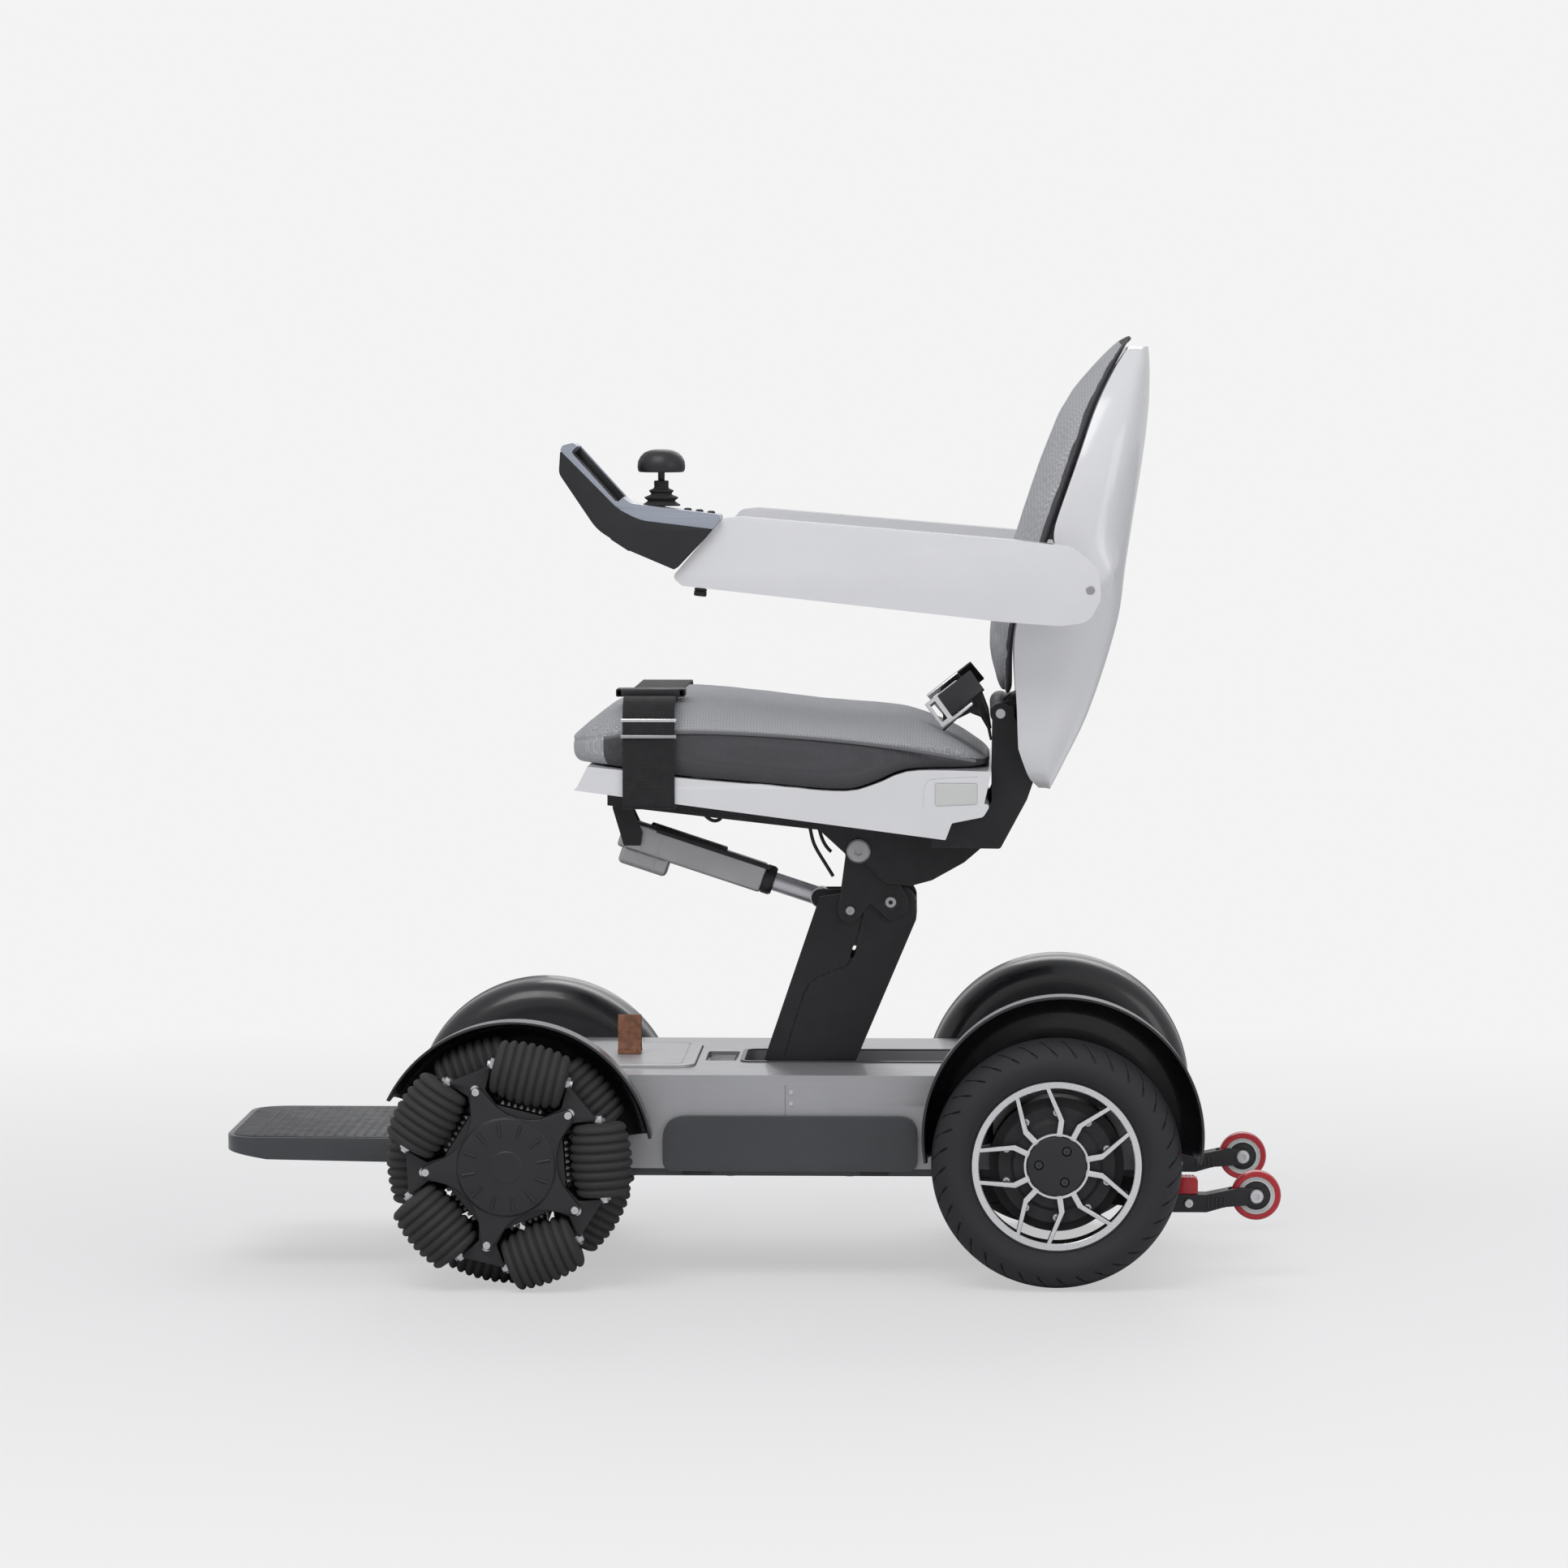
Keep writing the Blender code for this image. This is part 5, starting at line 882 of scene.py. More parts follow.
@dataclass
class RollerWheels(Assembly):
    """The two front wheels, each with two staggered rows of five ribbed rollers."""

    radius: float = 0.130
    axle: Flat = (-0.246, 0.130)
    middle_y: float = 0.2512
    row: float = 0.0262
    rollers: int = 5
    roller_r: float = 0.0325
    roller_half: float = 0.0385
    ribs: int = 8
    groove: float = 0.0060
    phase: float = 4.0
    stud_r: float = 0.0855
    star_half: float = 0.0085

    def build(self) -> None:
        """Shape both wheels."""
        for side in Side:
            centre = (self.axle[0], side.value * self.middle_y, self.axle[1])
            body = f"front_wheel_{side.word}"
            self.build_row(side, centre, body, "outer", self.row, self.phase)
            self.build_row(side, centre, body, "inner", -self.row, self.phase + 180.0 / self.rollers)
            self.build_cover(side, centre, body)
            self.carry(f"front_axle_{side.word}", STEEL)

    def roller_profile(self) -> list[Flat]:
        """A roller's section: rounded ribs under the wheel's own circle, with sunk ends."""
        chord = self.radius - self.roller_r
        made = [(0.0, -self.roller_half + 0.003), (0.010, -self.roller_half + 0.003), (0.012, -self.roller_half)]
        pitch = 2 * (self.roller_half - 0.001) / self.ribs
        for rib in range(self.ribs):
            for t in (0.05, 0.13, 0.25, 0.4, 0.6, 0.75, 0.87, 0.95):
                along = -self.roller_half + 0.001 + (rib + t) * pitch
                full = math.sqrt(self.radius ** 2 - along ** 2) - chord - 0.0002
                made.append((full - self.groove * (1 - math.sin(math.pi * t) ** 0.45), along))
        return made + [(0.012, self.roller_half), (0.010, self.roller_half - 0.003), (0.0, self.roller_half - 0.003)]

    def build_row(self, side: Side, centre: Point, body: str, name: str, out: float, phase: float) -> None:
        """Five rollers, the star that carries them and its bright pins."""
        step = 360.0 / self.rollers
        label = f"{name}_{side.word}"
        barrels, pins, clips = [], [], []
        for k in range(self.rollers):
            angle = phase + step * k
            along = Vector(on_wheel(ORIGIN, side, 1.0, angle + 90.0, 0.0))
            hub = on_wheel(centre, side, self.radius - self.roller_r, angle, out)
            barrels.append(spun(f"roller_{label}_{k}", self.roller_profile(), hub, along, 40))
            for sign in (-1, 1):
                for what, inset, length, radius, sides in (("pin", -0.002, 0.0085, 0.0042, 16),
                                                           ("nut", 0.0005, 0.0035, 0.0068, 6)):
                    end = Vector(hub) + along * sign * (self.roller_half + inset)
                    pins.append(rod(f"{what}_{label}_{k}_{sign}", end, end + along * sign * length, radius, sides))
            knuckle = on_wheel(centre, side, self.stud_r, angle + step / 2, out + self.star_half + 0.001)
            clips.append(screw_head(f"stud_{label}_{k}", knuckle, (0, side.value, 0), 0.0052, 0.004))
        self.add(gathered(f"rollers_{label}", barrels), body, ROLLER, f"front_roller_row_{label}", angle=50)
        self.add(gathered(f"roller_pins_{label}", pins), body, STEEL)
        self.add(gathered(f"roller_studs_{label}", clips), body, STEEL)
        self.build_star(side, centre, body, label, out, phase)

    def build_star(self, side: Side, centre: Point, body: str, label: str, out: float, phase: float) -> None:
        """A black star plate with forks between the rollers, and a row of bright teeth on each spoke."""
        chord = self.radius - self.roller_r
        fork = ((0.000, 0.0405), (0.026, 0.0405), (0.038, 0.026))
        turns = [phase + 360.0 / self.rollers * k for k in range(self.rollers)]
        ways = [[Vector(on_wheel(ORIGIN, side, 1.0, turn + quarter, 0.0)) for quarter in (0.0, 90.0)] for turn in turns]
        points = []
        for outward, along in ways:
            for drop, aside in [(drop, -aside) for drop, aside in fork] + list(reversed(fork)):
                spot = outward * (chord - drop) + along * aside
                points.append((centre[0] + spot.x, centre[2] + spot.z))
        star = prism(f"star_{label}", rounded(points, 0.003, 4),
                     *between(side.value, out - self.star_half, out + self.star_half, centre[1]), Plane.SIDE,
                     arc((centre[0], centre[2]), 0.013, 0, 352, 44))
        self.add(edges_round(star, 0.0012, 2), body, BLACK)
        teeth = []
        for k, (turn, (outward, along)) in enumerate(zip(turns, ways)):
            foot = Vector(on_wheel(centre, side, 0.0608, turn, out))
            for j in range(-3, 4):
                start = foot + along * j * 0.0066
                teeth.append(rod(f"tooth_{label}_{k}_{j}", start, start + outward * 0.0036, 0.0031, 6, 0.0012))
        self.add(gathered(f"roller_teeth_{label}", teeth), body, CAST)

    def build_cover(self, side: Side, centre: Point, body: str) -> None:
        """The five-armed hub cover with its round cap and raised tabs."""
        face = self.row + self.star_half + 0.0005 + GAP
        arm = ((-4.4, 0.084), (-2.2, 0.088), (2.2, 0.088), (4.4, 0.084), (14.0, 0.062), (24.0, 0.0545),
               (36.0, 0.0525), (48.0, 0.0545), (58.0, 0.062))
        loop = [on_wheel(centre, side, radius, self.phase + 36.0 + 72.0 * k + off, 0.0)[::2]
                for k in range(5) for off, radius in arm]
        plate = prism(f"hub_star_{side.word}", loop, *between(side.value, face, face + 0.0065, centre[1]))
        self.add(edges_round(plate, 0.002, 3, 25), body, BLACK, f"front_hub_cover_{side.word}", angle=40)
        cap = turned(f"hub_cap_{side.word}", [
            (0.0, 0.0112), (0.016, 0.0112), (0.0172, 0.0106), (0.030, 0.0104), (0.044, 0.0096), (0.0495, 0.0086),
            (0.0515, 0.0068), (0.0518, 0.0055), (0.0, 0.0055)],
            (centre[0], centre[1] + side.value * face, centre[2]), 96, side)
        self.add(cap, body, BLACK, angle=25)
        tabs = [rod(f"tab_{side.word}_{k}", on_wheel(centre, side, 0.032, 10 + 30 * k, face + 0.0102),
                    on_wheel(centre, side, 0.0455, 10 + 30 * k, face + 0.0092), 0.0013, 12, 0.0021)
                for k in range(12)]
        self.add(gathered(f"hub_tabs_{side.word}", tabs), body, BLACK)
        screws = [screw_head(f"hub_screw_{side.word}_{k}",
                             on_wheel(centre, side, 0.0835, self.phase + 36 + 72 * k, face + 0.0062),
                             (0, side.value, 0), 0.0042, 0.0024) for k in range(5)]
        self.add(gathered(f"hub_screws_{side.word}", screws), body, STEEL)


@dataclass
class RearWheels(Assembly):
    """The driven wheels: treaded tyre, bright spoked rim, black centre and the motor behind."""

    axle: Flat = (0.3205, 0.130)
    inner_y: float = 0.195
    width: float = 0.085
    radius: float = 0.130
    rim: float = 0.0886
    pair_angle: float = 36.4
    motor_root: float = 0.1853
    cap_radius: float = 0.0312

    def build(self) -> None:
        """Shape both wheels and motors."""
        for side in Side:
            self.build_tyre(side)
            self.build_rim(side)
            self.build_motor(side)

    def centre(self, side: Side) -> Point:
        """The wheel's middle."""
        return (self.axle[0], side.value * (self.inner_y + self.width / 2), self.axle[1])

    def build_tyre(self, side: Side) -> None:
        """The tyre's section turned, with slanted grooves cut into both shoulders."""
        half, top = self.width / 2, self.radius
        right = [(self.rim + 0.0002, half - 0.013), (self.rim + 0.003, half - 0.008), (self.rim + 0.006, half - 0.0045),
                 (self.rim + 0.011, half - 0.001), (self.rim + 0.018, half), (top - 0.019, half - 0.0012),
                 (top - 0.013, half - 0.005), (top - 0.0085, half - 0.0096), (top - 0.0052, half - 0.0150),
                 (top - 0.0030, half - 0.0215), (top - 0.0013, half - 0.030), (top - 0.0003, half - 0.037)]
        centre = self.centre(side)
        tyre = turned(f"tyre_{side.word}", mirrored(right), centre, 160, side)
        body = f"rear_wheel_{side.word}"
        run = ((top - 0.0155, half - 0.0035, 0.0), (top - 0.0085, half - 0.0096, 3.2),
               (top - 0.0045, half - 0.018, 6.0), (top - 0.0020, half - 0.027, 8.0))
        cutters = []
        for sign in (-1, 1):
            points = [on_wheel(centre, side, radius, degrees * sign, sign * out) for radius, out, degrees in run]
            cut = wire(f"groove_{sign}", points, 0.0015, 1)
            cutters.append(ring_of(cut, f"groove_{side.word}_{sign}", centre, 36))
        self.add(carve(tyre, *cutters), body, TYRE, f"rear_tyre_{side.word}", angle=40)
        root = self.rim - 0.0002
        bead = [(root, half - 0.0165), (root + 0.0020, half - 0.0125), (root, half - 0.0115),
                (root - 0.0020, half - 0.0140), (root, half - 0.0165)]
        band = turned(f"tyre_bead_{side.word}", bead, centre, 120, side)
        self.add(band, body, TYRE)

    def spoke(self, centre: Point, direction: float, sign: int, width: float) -> list[Flat]:
        """One kinked spoke's outline, from the hub to the rim, widened by a factor."""
        line = ((0.031, 23.0, 0.0027), (0.0480, 24.0, 0.0026), (0.0530, 21.2, 0.0024), (0.0825, 11.5, 0.0018))
        first, second = [], []
        for radius, degrees, half in line:
            for edge, into in ((half * width, first), (-half * width, second)):
                turn = direction + sign * degrees + math.degrees(edge / radius)
                into.append(on_wheel(centre, Side.LEFT, radius, turn, 0.0)[::2])
        return first + second[::-1]

    def build_rim(self, side: Side) -> None:
        """Bright outer ring and spoke faces over a black dish, with a capped centre."""
        centre, half = self.centre(side), self.width / 2
        body = f"rear_wheel_{side.word}"
        face = half - 0.0145
        lip, hub = self.rim - 0.0002, self.cap_radius
        barrel = [(lip, face), (lip, -face), (lip - 0.0042, -face), (lip - 0.0042, face - 0.010),
                  (lip - 0.0060, face - 0.004), (lip - 0.0060, face), (lip, face)]
        well = turned(f"rim_barrel_{side.word}", barrel, centre, 120, side)
        self.add(well, body, POWDER, f"rear_rim_{side.word}", slot="wheel_alloy", angle=40)
        edge = [(lip - 0.0002, face), (lip - 0.0006, face + 0.0016), (lip - 0.0072, face + 0.0020),
                (lip - 0.0080, face + 0.0012), (lip - 0.0080, face - 0.003), (lip - 0.0002, face - 0.0004),
                (lip - 0.0002, face)]
        ring = turned(f"rim_ring_{side.word}", edge, centre, 160, side)
        self.add(ring, body, ALLOY, angle=30)
        for part, width, low, high, finish in (("spoke_sides", 1.25, face - 0.009, face + 0.0007, POWDER),
                                               ("spoke_faces", 1.08, face + 0.0006, face + 0.0017, ALLOY)):
            spokes = []
            for k in range(5):
                direction = self.pair_angle + 72.0 * k
                for sign in (-1, 1):
                    loop = self.spoke(centre, direction, sign, width)
                    bar = prism(f"{part}_{side.word}_{k}_{sign}", loop, *between(side.value, low, high, centre[1]))
                    spokes.append(edges_round(bar, 0.0003, 2))
            self.add(gathered(f"{part}_{side.word}", spokes), body, finish, slot="wheel_alloy")
        dome = [(0.0, face + 0.0030), (0.010, face + 0.0030), (0.024, face + 0.0028), (0.0295, face + 0.0020),
                (hub, face + 0.0004), (hub, face - 0.0100), (0.0, face - 0.0100)]
        cap = turned(f"centre_cap_{side.word}", dome, centre, 96, side)
        holes = []
        for k in range(3):
            spot, far = (on_wheel(centre, side, 0.0185, self.pair_angle + 20 + 120 * k, out)
                         for out in (face - 0.002, face + 0.006))
            holes.append(rod(f"hole_{k}", spot, far, 0.0052, 28))
            bolt = screw_head(f"cap_bolt_{side.word}_{k}", spot, (0, side.value, 0), 0.0042, 0.0030)
            self.add(bolt, body, GREY, slot="bright_steel")
        self.add(carve(cap, *holes), body, BLACK, slot="black_alloy", angle=30)
        hoop = [(hub, face + 0.0014), (0.0318, face + 0.0020), (0.0338, face + 0.0018), (0.0344, face + 0.0006),
                (0.0344, face - 0.006), (hub, face - 0.006), (hub, face + 0.0014)]
        collar = turned(f"cap_ring_{side.word}", hoop, centre, 96, side)
        self.add(collar, body, ALLOY)
        valve = Vector(on_wheel(centre, side, 0.0775, -22.0, face - 0.010))
        tip = valve + Vector((-0.008, side.value * 0.006, 0.003))
        stem = rod(f"valve_{side.word}", valve, tip, 0.0024, 18, 0.0019)
        self.add(stem, body, STEEL)

    def build_motor(self, side: Side) -> None:
        """The geared motor: stepped drum with cooling ribs and a bolt ring."""
        centre = self.centre(side)
        low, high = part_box(f"rear_motor_{side.word}")
        outer = (high[1] if side is Side.RIGHT else -low[1]) - abs(centre[1])
        root = self.motor_root - abs(centre[1])
        drum = turned(f"motor_{side.word}", [
            (0.0, outer - 0.0006), (0.044, outer - 0.0006), (0.048, outer - 0.004), (0.060, outer - 0.0042),
            (0.064, outer - 0.008), (0.0695, outer - 0.010), (0.0695, outer - 0.024), (0.0655, outer - 0.026),
            (0.0695, outer - 0.028), (0.0695, outer - 0.034), (0.0655, outer - 0.036), (0.0695, outer - 0.038),
            (0.0695, outer - 0.044), (0.058, outer - 0.050), (0.050, root + 0.022), (0.026, root + 0.020),
            (0.026, root), (0.0, root)], centre, 96, side)
        self.add(drum, "base", POWDER, f"rear_motor_{side.word}", angle=28)
        bolts = [screw_head(f"motor_bolt_{side.word}_{k}",
                            on_wheel(centre, side, 0.0545, 18 + 36 * k, outer - 0.0046),
                            (0, side.value, 0), 0.0042, 0.0034, 0.55) for k in range(10)]
        self.add(gathered(f"motor_bolts_{side.word}", bolts), "base", STEEL)


@dataclass
class AntiTip(Assembly):
    """The two anti-tip arms with forks, red wheels and release levers."""

    y: float = 0.165
    wheel: Flat = (0.530, 0.088)
    radius: float = 0.026
    shelf: float = 0.0895
    top: float = 0.1077
    half: float = 0.013
    knee_x: float = 0.4595

    def build(self) -> None:
        """Shape both arms."""
        for side in Side:
            self.build_arm(side)
            self.build_wheel(side)
            self.build_lever(side)

    def build_arm(self, side: Side) -> None:
        """The bent arm, hinged block and fork, with a pivot bolt and a coil of ribs at the root."""
        x, z = self.wheel
        y = side.value * self.y
        loop = rounded([
            (0.345, z - 0.004), (0.438, z - 0.017), (0.478, z - 0.017), (0.497, z - 0.0115), (x + 0.004, z - 0.0085),
            (x + 0.0095, z - 0.001), (x + 0.007, z + 0.0075), (x - 0.016, z + 0.009), (0.478, self.shelf),
            (0.440, self.shelf), (0.402, self.top), (0.345, self.top)], 0.0035, 4)
        half = self.half
        arm = prism(f"tip_arm_{side.word}", loop, y - half, y + half)
        slot = cuboid("slot", (x - self.radius - 0.003, y - 0.0085, 0.05), (x + 0.06, y + 0.0085, 0.14))
        arm = edges_round(carve(arm, slot), 0.0012, 3, 50)
        self.add(arm, "base", POWDER, f"anti_tip_arm_{side.word}")
        axle = [rod(f"tip_axle_{side.word}", (x, y - 0.0126, z), (x, y + 0.0126, z), 0.0048, 32)]
        for out in (-1, 1):
            for what, at, radius, high in (("tip", (x, z), 0.0072, 0.0042),
                                           ("knee", (self.knee_x, z - 0.0075), 0.0048, 0.0030)):
                axle.append(screw_head(f"{what}_bolt_{side.word}_{out}", (at[0], y + out * half, at[1]), (0, out, 0),
                                       radius, high))
        self.add(gathered(f"tip_bolts_{side.word}", axle), "base", STEEL)
        ribs = [cuboid(f"rib_{k}", (0.4785 + 0.0042 * k, y - 0.0138, z - 0.012),
                       (0.4805 + 0.0042 * k, y + 0.0138, z - 0.001)) for k in range(5)]
        self.add(edges_round(gathered(f"tip_ribs_{side.word}", ribs), 0.0004, 2), "base", BLACK)

    def build_wheel(self, side: Side) -> None:
        """Red tyre on a pale core with a dark hub."""
        x, z = self.wheel
        centre = (x, side.value * self.y, z)
        r, half = self.radius, 0.0078
        body = f"tip_wheel_{side.word}"
        for name, profile, steps, finish, nodes, slot in (
                ("tyre", ((r - 0.0062, half - 0.0004), (r - 0.0022, half - 0.0002), (r - 0.0007, half - 0.0016),
                          (r, half - 0.0044)), 72, RED, (f"anti_tip_wheel_{side.word}",), ""),
                ("core", ((r - 0.0064, half - 0.0008), (r - 0.0096, half - 0.0022), (r - 0.0110, half - 0.0020)),
                 64, PALE, (), "red_plastic"),
                ("hub", ((0.0056, half), (0.0085, half), (0.0095, half - 0.0014), (0.0140, half - 0.0022),
                         (r - 0.0112, half - 0.0016)), 64, POWDER, (), "")):
            self.add(turned(f"tip_{name}_{side.word}", mirrored(profile), centre, steps, side), body, finish,
                     *nodes, slot=slot, angle=30)

    def build_lever(self, side: Side) -> None:
        """The red release lever with a finger groove."""
        low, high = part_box(f"release_lever_{side.word}")
        loop = rounded([(low[0], low[2]), (high[0], low[2]), (high[0], high[2] - 0.003), (high[0] - 0.004, high[2]),
                        (low[0] + 0.003, high[2]), (low[0], high[2] - 0.004)], 0.0022, 4)
        lever = prism(f"red_lever_{side.word}", loop, low[1], high[1])
        grooves = [cuboid(f"g{k}", (low[0] + 0.0055 + 0.0036 * k, low[1] + 0.003, high[2] - 0.0008),
                          (low[0] + 0.0067 + 0.0036 * k, high[1] - 0.003, high[2] + 0.002)) for k in range(4)]
        self.add(edges_round(carve(lever, gathered("grooves", grooves)), 0.0007, 2), f"lever_{side.word}", RED,
                 f"release_lever_{side.word}")


@dataclass
class Footplate(Assembly):
    """The folding footplate: a rounded slab with a lip and a ribbed mat, on a hinge block."""

    front: float = -0.556
    half: float = 0.145
    top: float = 0.142
    thick: float = 0.026
    hinge: Flat = (-0.352, 0.138)

    def build(self) -> None:
        """Shape the plate, its mat and the hinge."""
        bar = self.hinge[0] - 0.0125
        edge, ramp = 0.006, 0.060
        plan = rounded(oblong(self.front, -self.half, bar, self.half), (0.045, edge, edge, 0.045), 10)
        slab = prism("foot_slab", plan, self.top - self.thick, self.top - 0.0006, Plane.PLAN)
        for vert in slab.data.vertices:
            if vert.co.z < self.top - 0.02 and vert.co.x < self.front + ramp:
                vert.co.z += 0.010 * (self.front + ramp - vert.co.x) / ramp
        slab = edges_round(slab, 0.0055, 5, 40)
        mat_loop = rounded(oblong(self.front + edge, -self.half + edge, bar - edge, self.half - edge),
                           (0.040, 0.004, 0.004, 0.040), 10)
        ears = []
        x, z = self.hinge
        ear_y, ear_half = 0.060, 0.020
        for y in (-ear_y, ear_y):
            ear = rod("ear", (x, y - ear_half, z), (x, y + ear_half, z), 0.009, 40)
            web = prism("web", rounded([(bar - 0.012, z - 0.0075), (x - 0.002, z - 0.0085), (x - 0.002, z + 0.0035),
                                        (bar - 0.012, z + 0.0030)], 0.001, 2), y - ear_half, y + ear_half)
            ears += [ear, web]
        slab = carve(slab, *ears, how="UNION")
        slab = carve(slab, across("bore", self.hinge, 2 * THROUGH, 0.0046))
        self.add(slab, "footplate_body", GREY, "footplate", angle=40)
        mat = edges_round(prism("foot_mat", mat_loop, self.top - 0.0008, self.top, Plane.PLAN), 0.0004, 2)
        self.add(mat, "footplate_body", PAD)
        pitch, margin, lift = 0.0105, 0.018, 0.0004
        ribs = [cuboid(f"mat_rib_{k}", (self.front + 0.030 + pitch * k, -self.half + margin, self.top - lift),
                       (self.front + 0.0335 + pitch * k, self.half - margin, self.top + lift)) for k in range(16)]
        self.add(edges_round(gathered("mat_ribs", ribs), 0.0003, 2), "footplate_body", PAD)
        self.carry("footplate_bracket", POWDER)
        heads = [screw_head(f"bracket_screw_{y}", (-0.3414, y, z + 0.020), (-1, 0, 0), 0.0045, 0.0025)
                 for y in (-0.022, 0.022)]
        self.add(gathered("bracket_screws", heads), "base", STEEL)


@dataclass
class Column(Assembly):
    """The folding post with its lift bracket, bolts and seat frame."""

    half: float = 0.050
    foot: Flat = (0.060, 0.186)
    lift: Flat = (0.146, 0.385)
    tilt: Flat = (0.112, 0.440)
    latch: Flat = (0.103, 0.376)
    eye: Flat = (0.070, 0.386)

    def build(self) -> None:
        """Shape the post and what is bolted to it."""
        side = arc(self.foot, 0.028, 200, 340, 20) + [(0.1049, 0.205), (0.173, 0.366)]
        side += arc((0.154, 0.383), 0.019, 10, 90, 12) + [(0.0704, 0.390), (0.0076, 0.205)]
        post = prism("post_channel", side, -self.half, self.half)
        hollow = prism("hollow", [(0.1085, 0.2515), (0.1433, 0.3505), (0.2538, 0.4943), (-0.0796, 0.490),
                                  (-0.0724, 0.2540)], -0.042, 0.042)
        cuts = [across("foot_bore", self.foot, THROUGH, 0.0088), across("lift_bore", self.lift, THROUGH, 0.0078)]
        post = edges_round(carve(post, hollow, *cuts), 0.0014, 3, 40)
        slot_loop = rounded([(0.1020, 0.3255), (0.1060, 0.3240), (0.1105, 0.3370), (0.1065, 0.3385)], 0.0018, 5)
        slot = prism("slot", slot_loop, -THROUGH, THROUGH)
        fold = [(0.1162, 0.3866), (0.1173, 0.3710), (0.1063, 0.3315), (0.1014, 0.3157), (0.0885, 0.3128),
                (0.0669, 0.3029), (0.0599, 0.2979), (0.0511, 0.2841), (0.0393, 0.2406), (0.0330, 0.2190)]
        line_r = 0.0011
        folds = [wire("fold", [(x, sign * self.half, z) for x, z in fold], line_r, 3) for sign in (-1, 1)]
        self.add(carve(post, slot, *folds), "post_body", POWDER, "post")
        self.build_bracket()
        self.carry("seat_frame", POWDER)

    def build_bracket(self) -> None:
        """Cheeks outside the post, levers inside it, and the bright bolts."""
        cheek = arc(self.lift, 0.019, -95, 25, 12) + arc(self.tilt, 0.014, 25, 190, 16)
        cheek += arc(self.latch, 0.013, 180, 300, 12) + [(0.124, 0.384)]
        lever = arc(self.lift, 0.011, -90, 90, 14) + arc(self.eye, 0.0095, 90, 270, 14)
        parts = [across("lift_pin", self.lift, 0.0590, 0.007), across("eye_pin", self.eye, 0.0168, 0.0045)]
        bright = []
        for out in (-1, 1):
            parts.append(edges_round(prism("cheek", cheek, *between(out, 0.0508, 0.0568)), 0.0012))
            parts.append(edges_round(prism("lever", lever, *between(out, 0.0128, 0.0188)), 0.001))
            parts.append(rod("tilt_pin", (self.tilt[0], out * 0.0528, self.tilt[1]),
                             (self.tilt[0], out * 0.0650, self.tilt[1]), 0.006))
            for (x, z), radius, low, high in ((self.tilt, 0.0128, 0.0645, 0.005), (self.lift, 0.0064, 0.0566, 0.0034),
                                              (self.latch, 0.0052, 0.0566, 0.0034)):
                bright.append(screw_head(f"column_bolt_{out}_{len(bright)}", (x, out * low, z), (0, out, 0),
                                         radius, high, 0.4))
        self.add(gathered("bracket_plates", parts), "bracket", POWDER, "lift_bracket")
        self.add(gathered("column_bolts", bright), "bracket", CAST)
        for i, points in enumerate((
                [(0.056, -0.030, 0.478), (0.060, -0.030, 0.462), (0.061, -0.028, 0.445), (0.072, -0.026, 0.430),
                 (0.084, -0.024, 0.410)],
                [(0.066, -0.022, 0.476), (0.069, -0.022, 0.462), (0.070, -0.022, 0.446), (0.082, -0.022, 0.436)],
                [(-0.064, -0.030, 0.492), (-0.052, -0.030, 0.470), (-0.036, -0.030, 0.466), (-0.032, -0.030, 0.478),
                 (-0.040, -0.030, 0.489)])):
            self.add(wire(f"seat_cable_{i}", points, 0.0019), "seat", BLACK)


@dataclass
class Actuator(Assembly):
    """The tilt actuator: silver body with its motor end, black collar and polished rod."""

    front: Point = (-0.130, 0.0, 0.452)
    rear: Point = (0.070, 0.0, 0.386)
    half: float = 0.0155

    def build(self) -> None:
        """Shape it along +X and lay it on its line."""
        h = self.half
        run = Vector(self.rear) - Vector(self.front)
        lay = Matrix.Translation(self.front) @ Matrix.Rotation(-math.atan2(run.z, run.x), 4, "Y")
        case = edges_round(cuboid("actuator_case", (-0.014, -h, -h), (0.147, h, h)), 0.0035, 4)
        motor = edges_round(cuboid("m", (-0.008, -h, -0.032), (0.046, h, -h + 0.004)), 0.005, 4)
        case = carve(case, motor, how="UNION")
        seams = [cuboid(f"line_{x}", (x, -0.03, -0.04), (x + 0.0008, -h + 0.0005, 0.03)) for x in (0.012, 0.0300)]
        case = carve(case, rod("bore", (0.090, 0, 0), (0.2, 0, 0), 0.0108), across("eye", (0, 0), THROUGH, 0.0053),
                     *seams)
        collar = spun("actuator_collar", [(0.0108, 0.0), (0.0150, 0.0), (0.0158, 0.002), (0.0158, 0.009),
                                          (0.0140, 0.012), (0.0108, 0.012), (0.0108, 0.0)], (0.1462, 0, 0), (1, 0, 0))
        rail = edges_round(cuboid("actuator_rail", (0.022, -h - 0.001, h - 0.0045), (0.150, -h + 0.004, h + 0.0006)),
                           0.0008, 2)
        sleeve = edges_round(cuboid("actuator_sleeve", (0.014, -0.011, h - 0.002), (0.100, 0.011, h + 0.0035)), 0.002)
        end = (run.length, 0.0)
        shaft = rod("actuator_shaft_rod", (0.105, 0, 0), (run.length - 0.006, 0, 0), 0.010, 48)
        knuckle = edges_round(across("k", end, 0.012, 0.011, 40), 0.001)
        shaft = carve(carve(shaft, knuckle, how="UNION"), across("b", end, THROUGH, 0.0053))
        for piece, body, finish, nodes, slot in (
                (case, "actuator", CAST, ("actuator_body",), "grey_alloy"), (collar, "actuator", BLACK, (), ""),
                (rail, "actuator", POWDER, (), ""), (sleeve, "actuator", BLACK, (), ""),
                (shaft, "actuator_shaft", STEEL, ("actuator_rod",), "")):
            piece.data.transform(lay)
            self.add(piece, body, finish, *nodes, slot=slot)


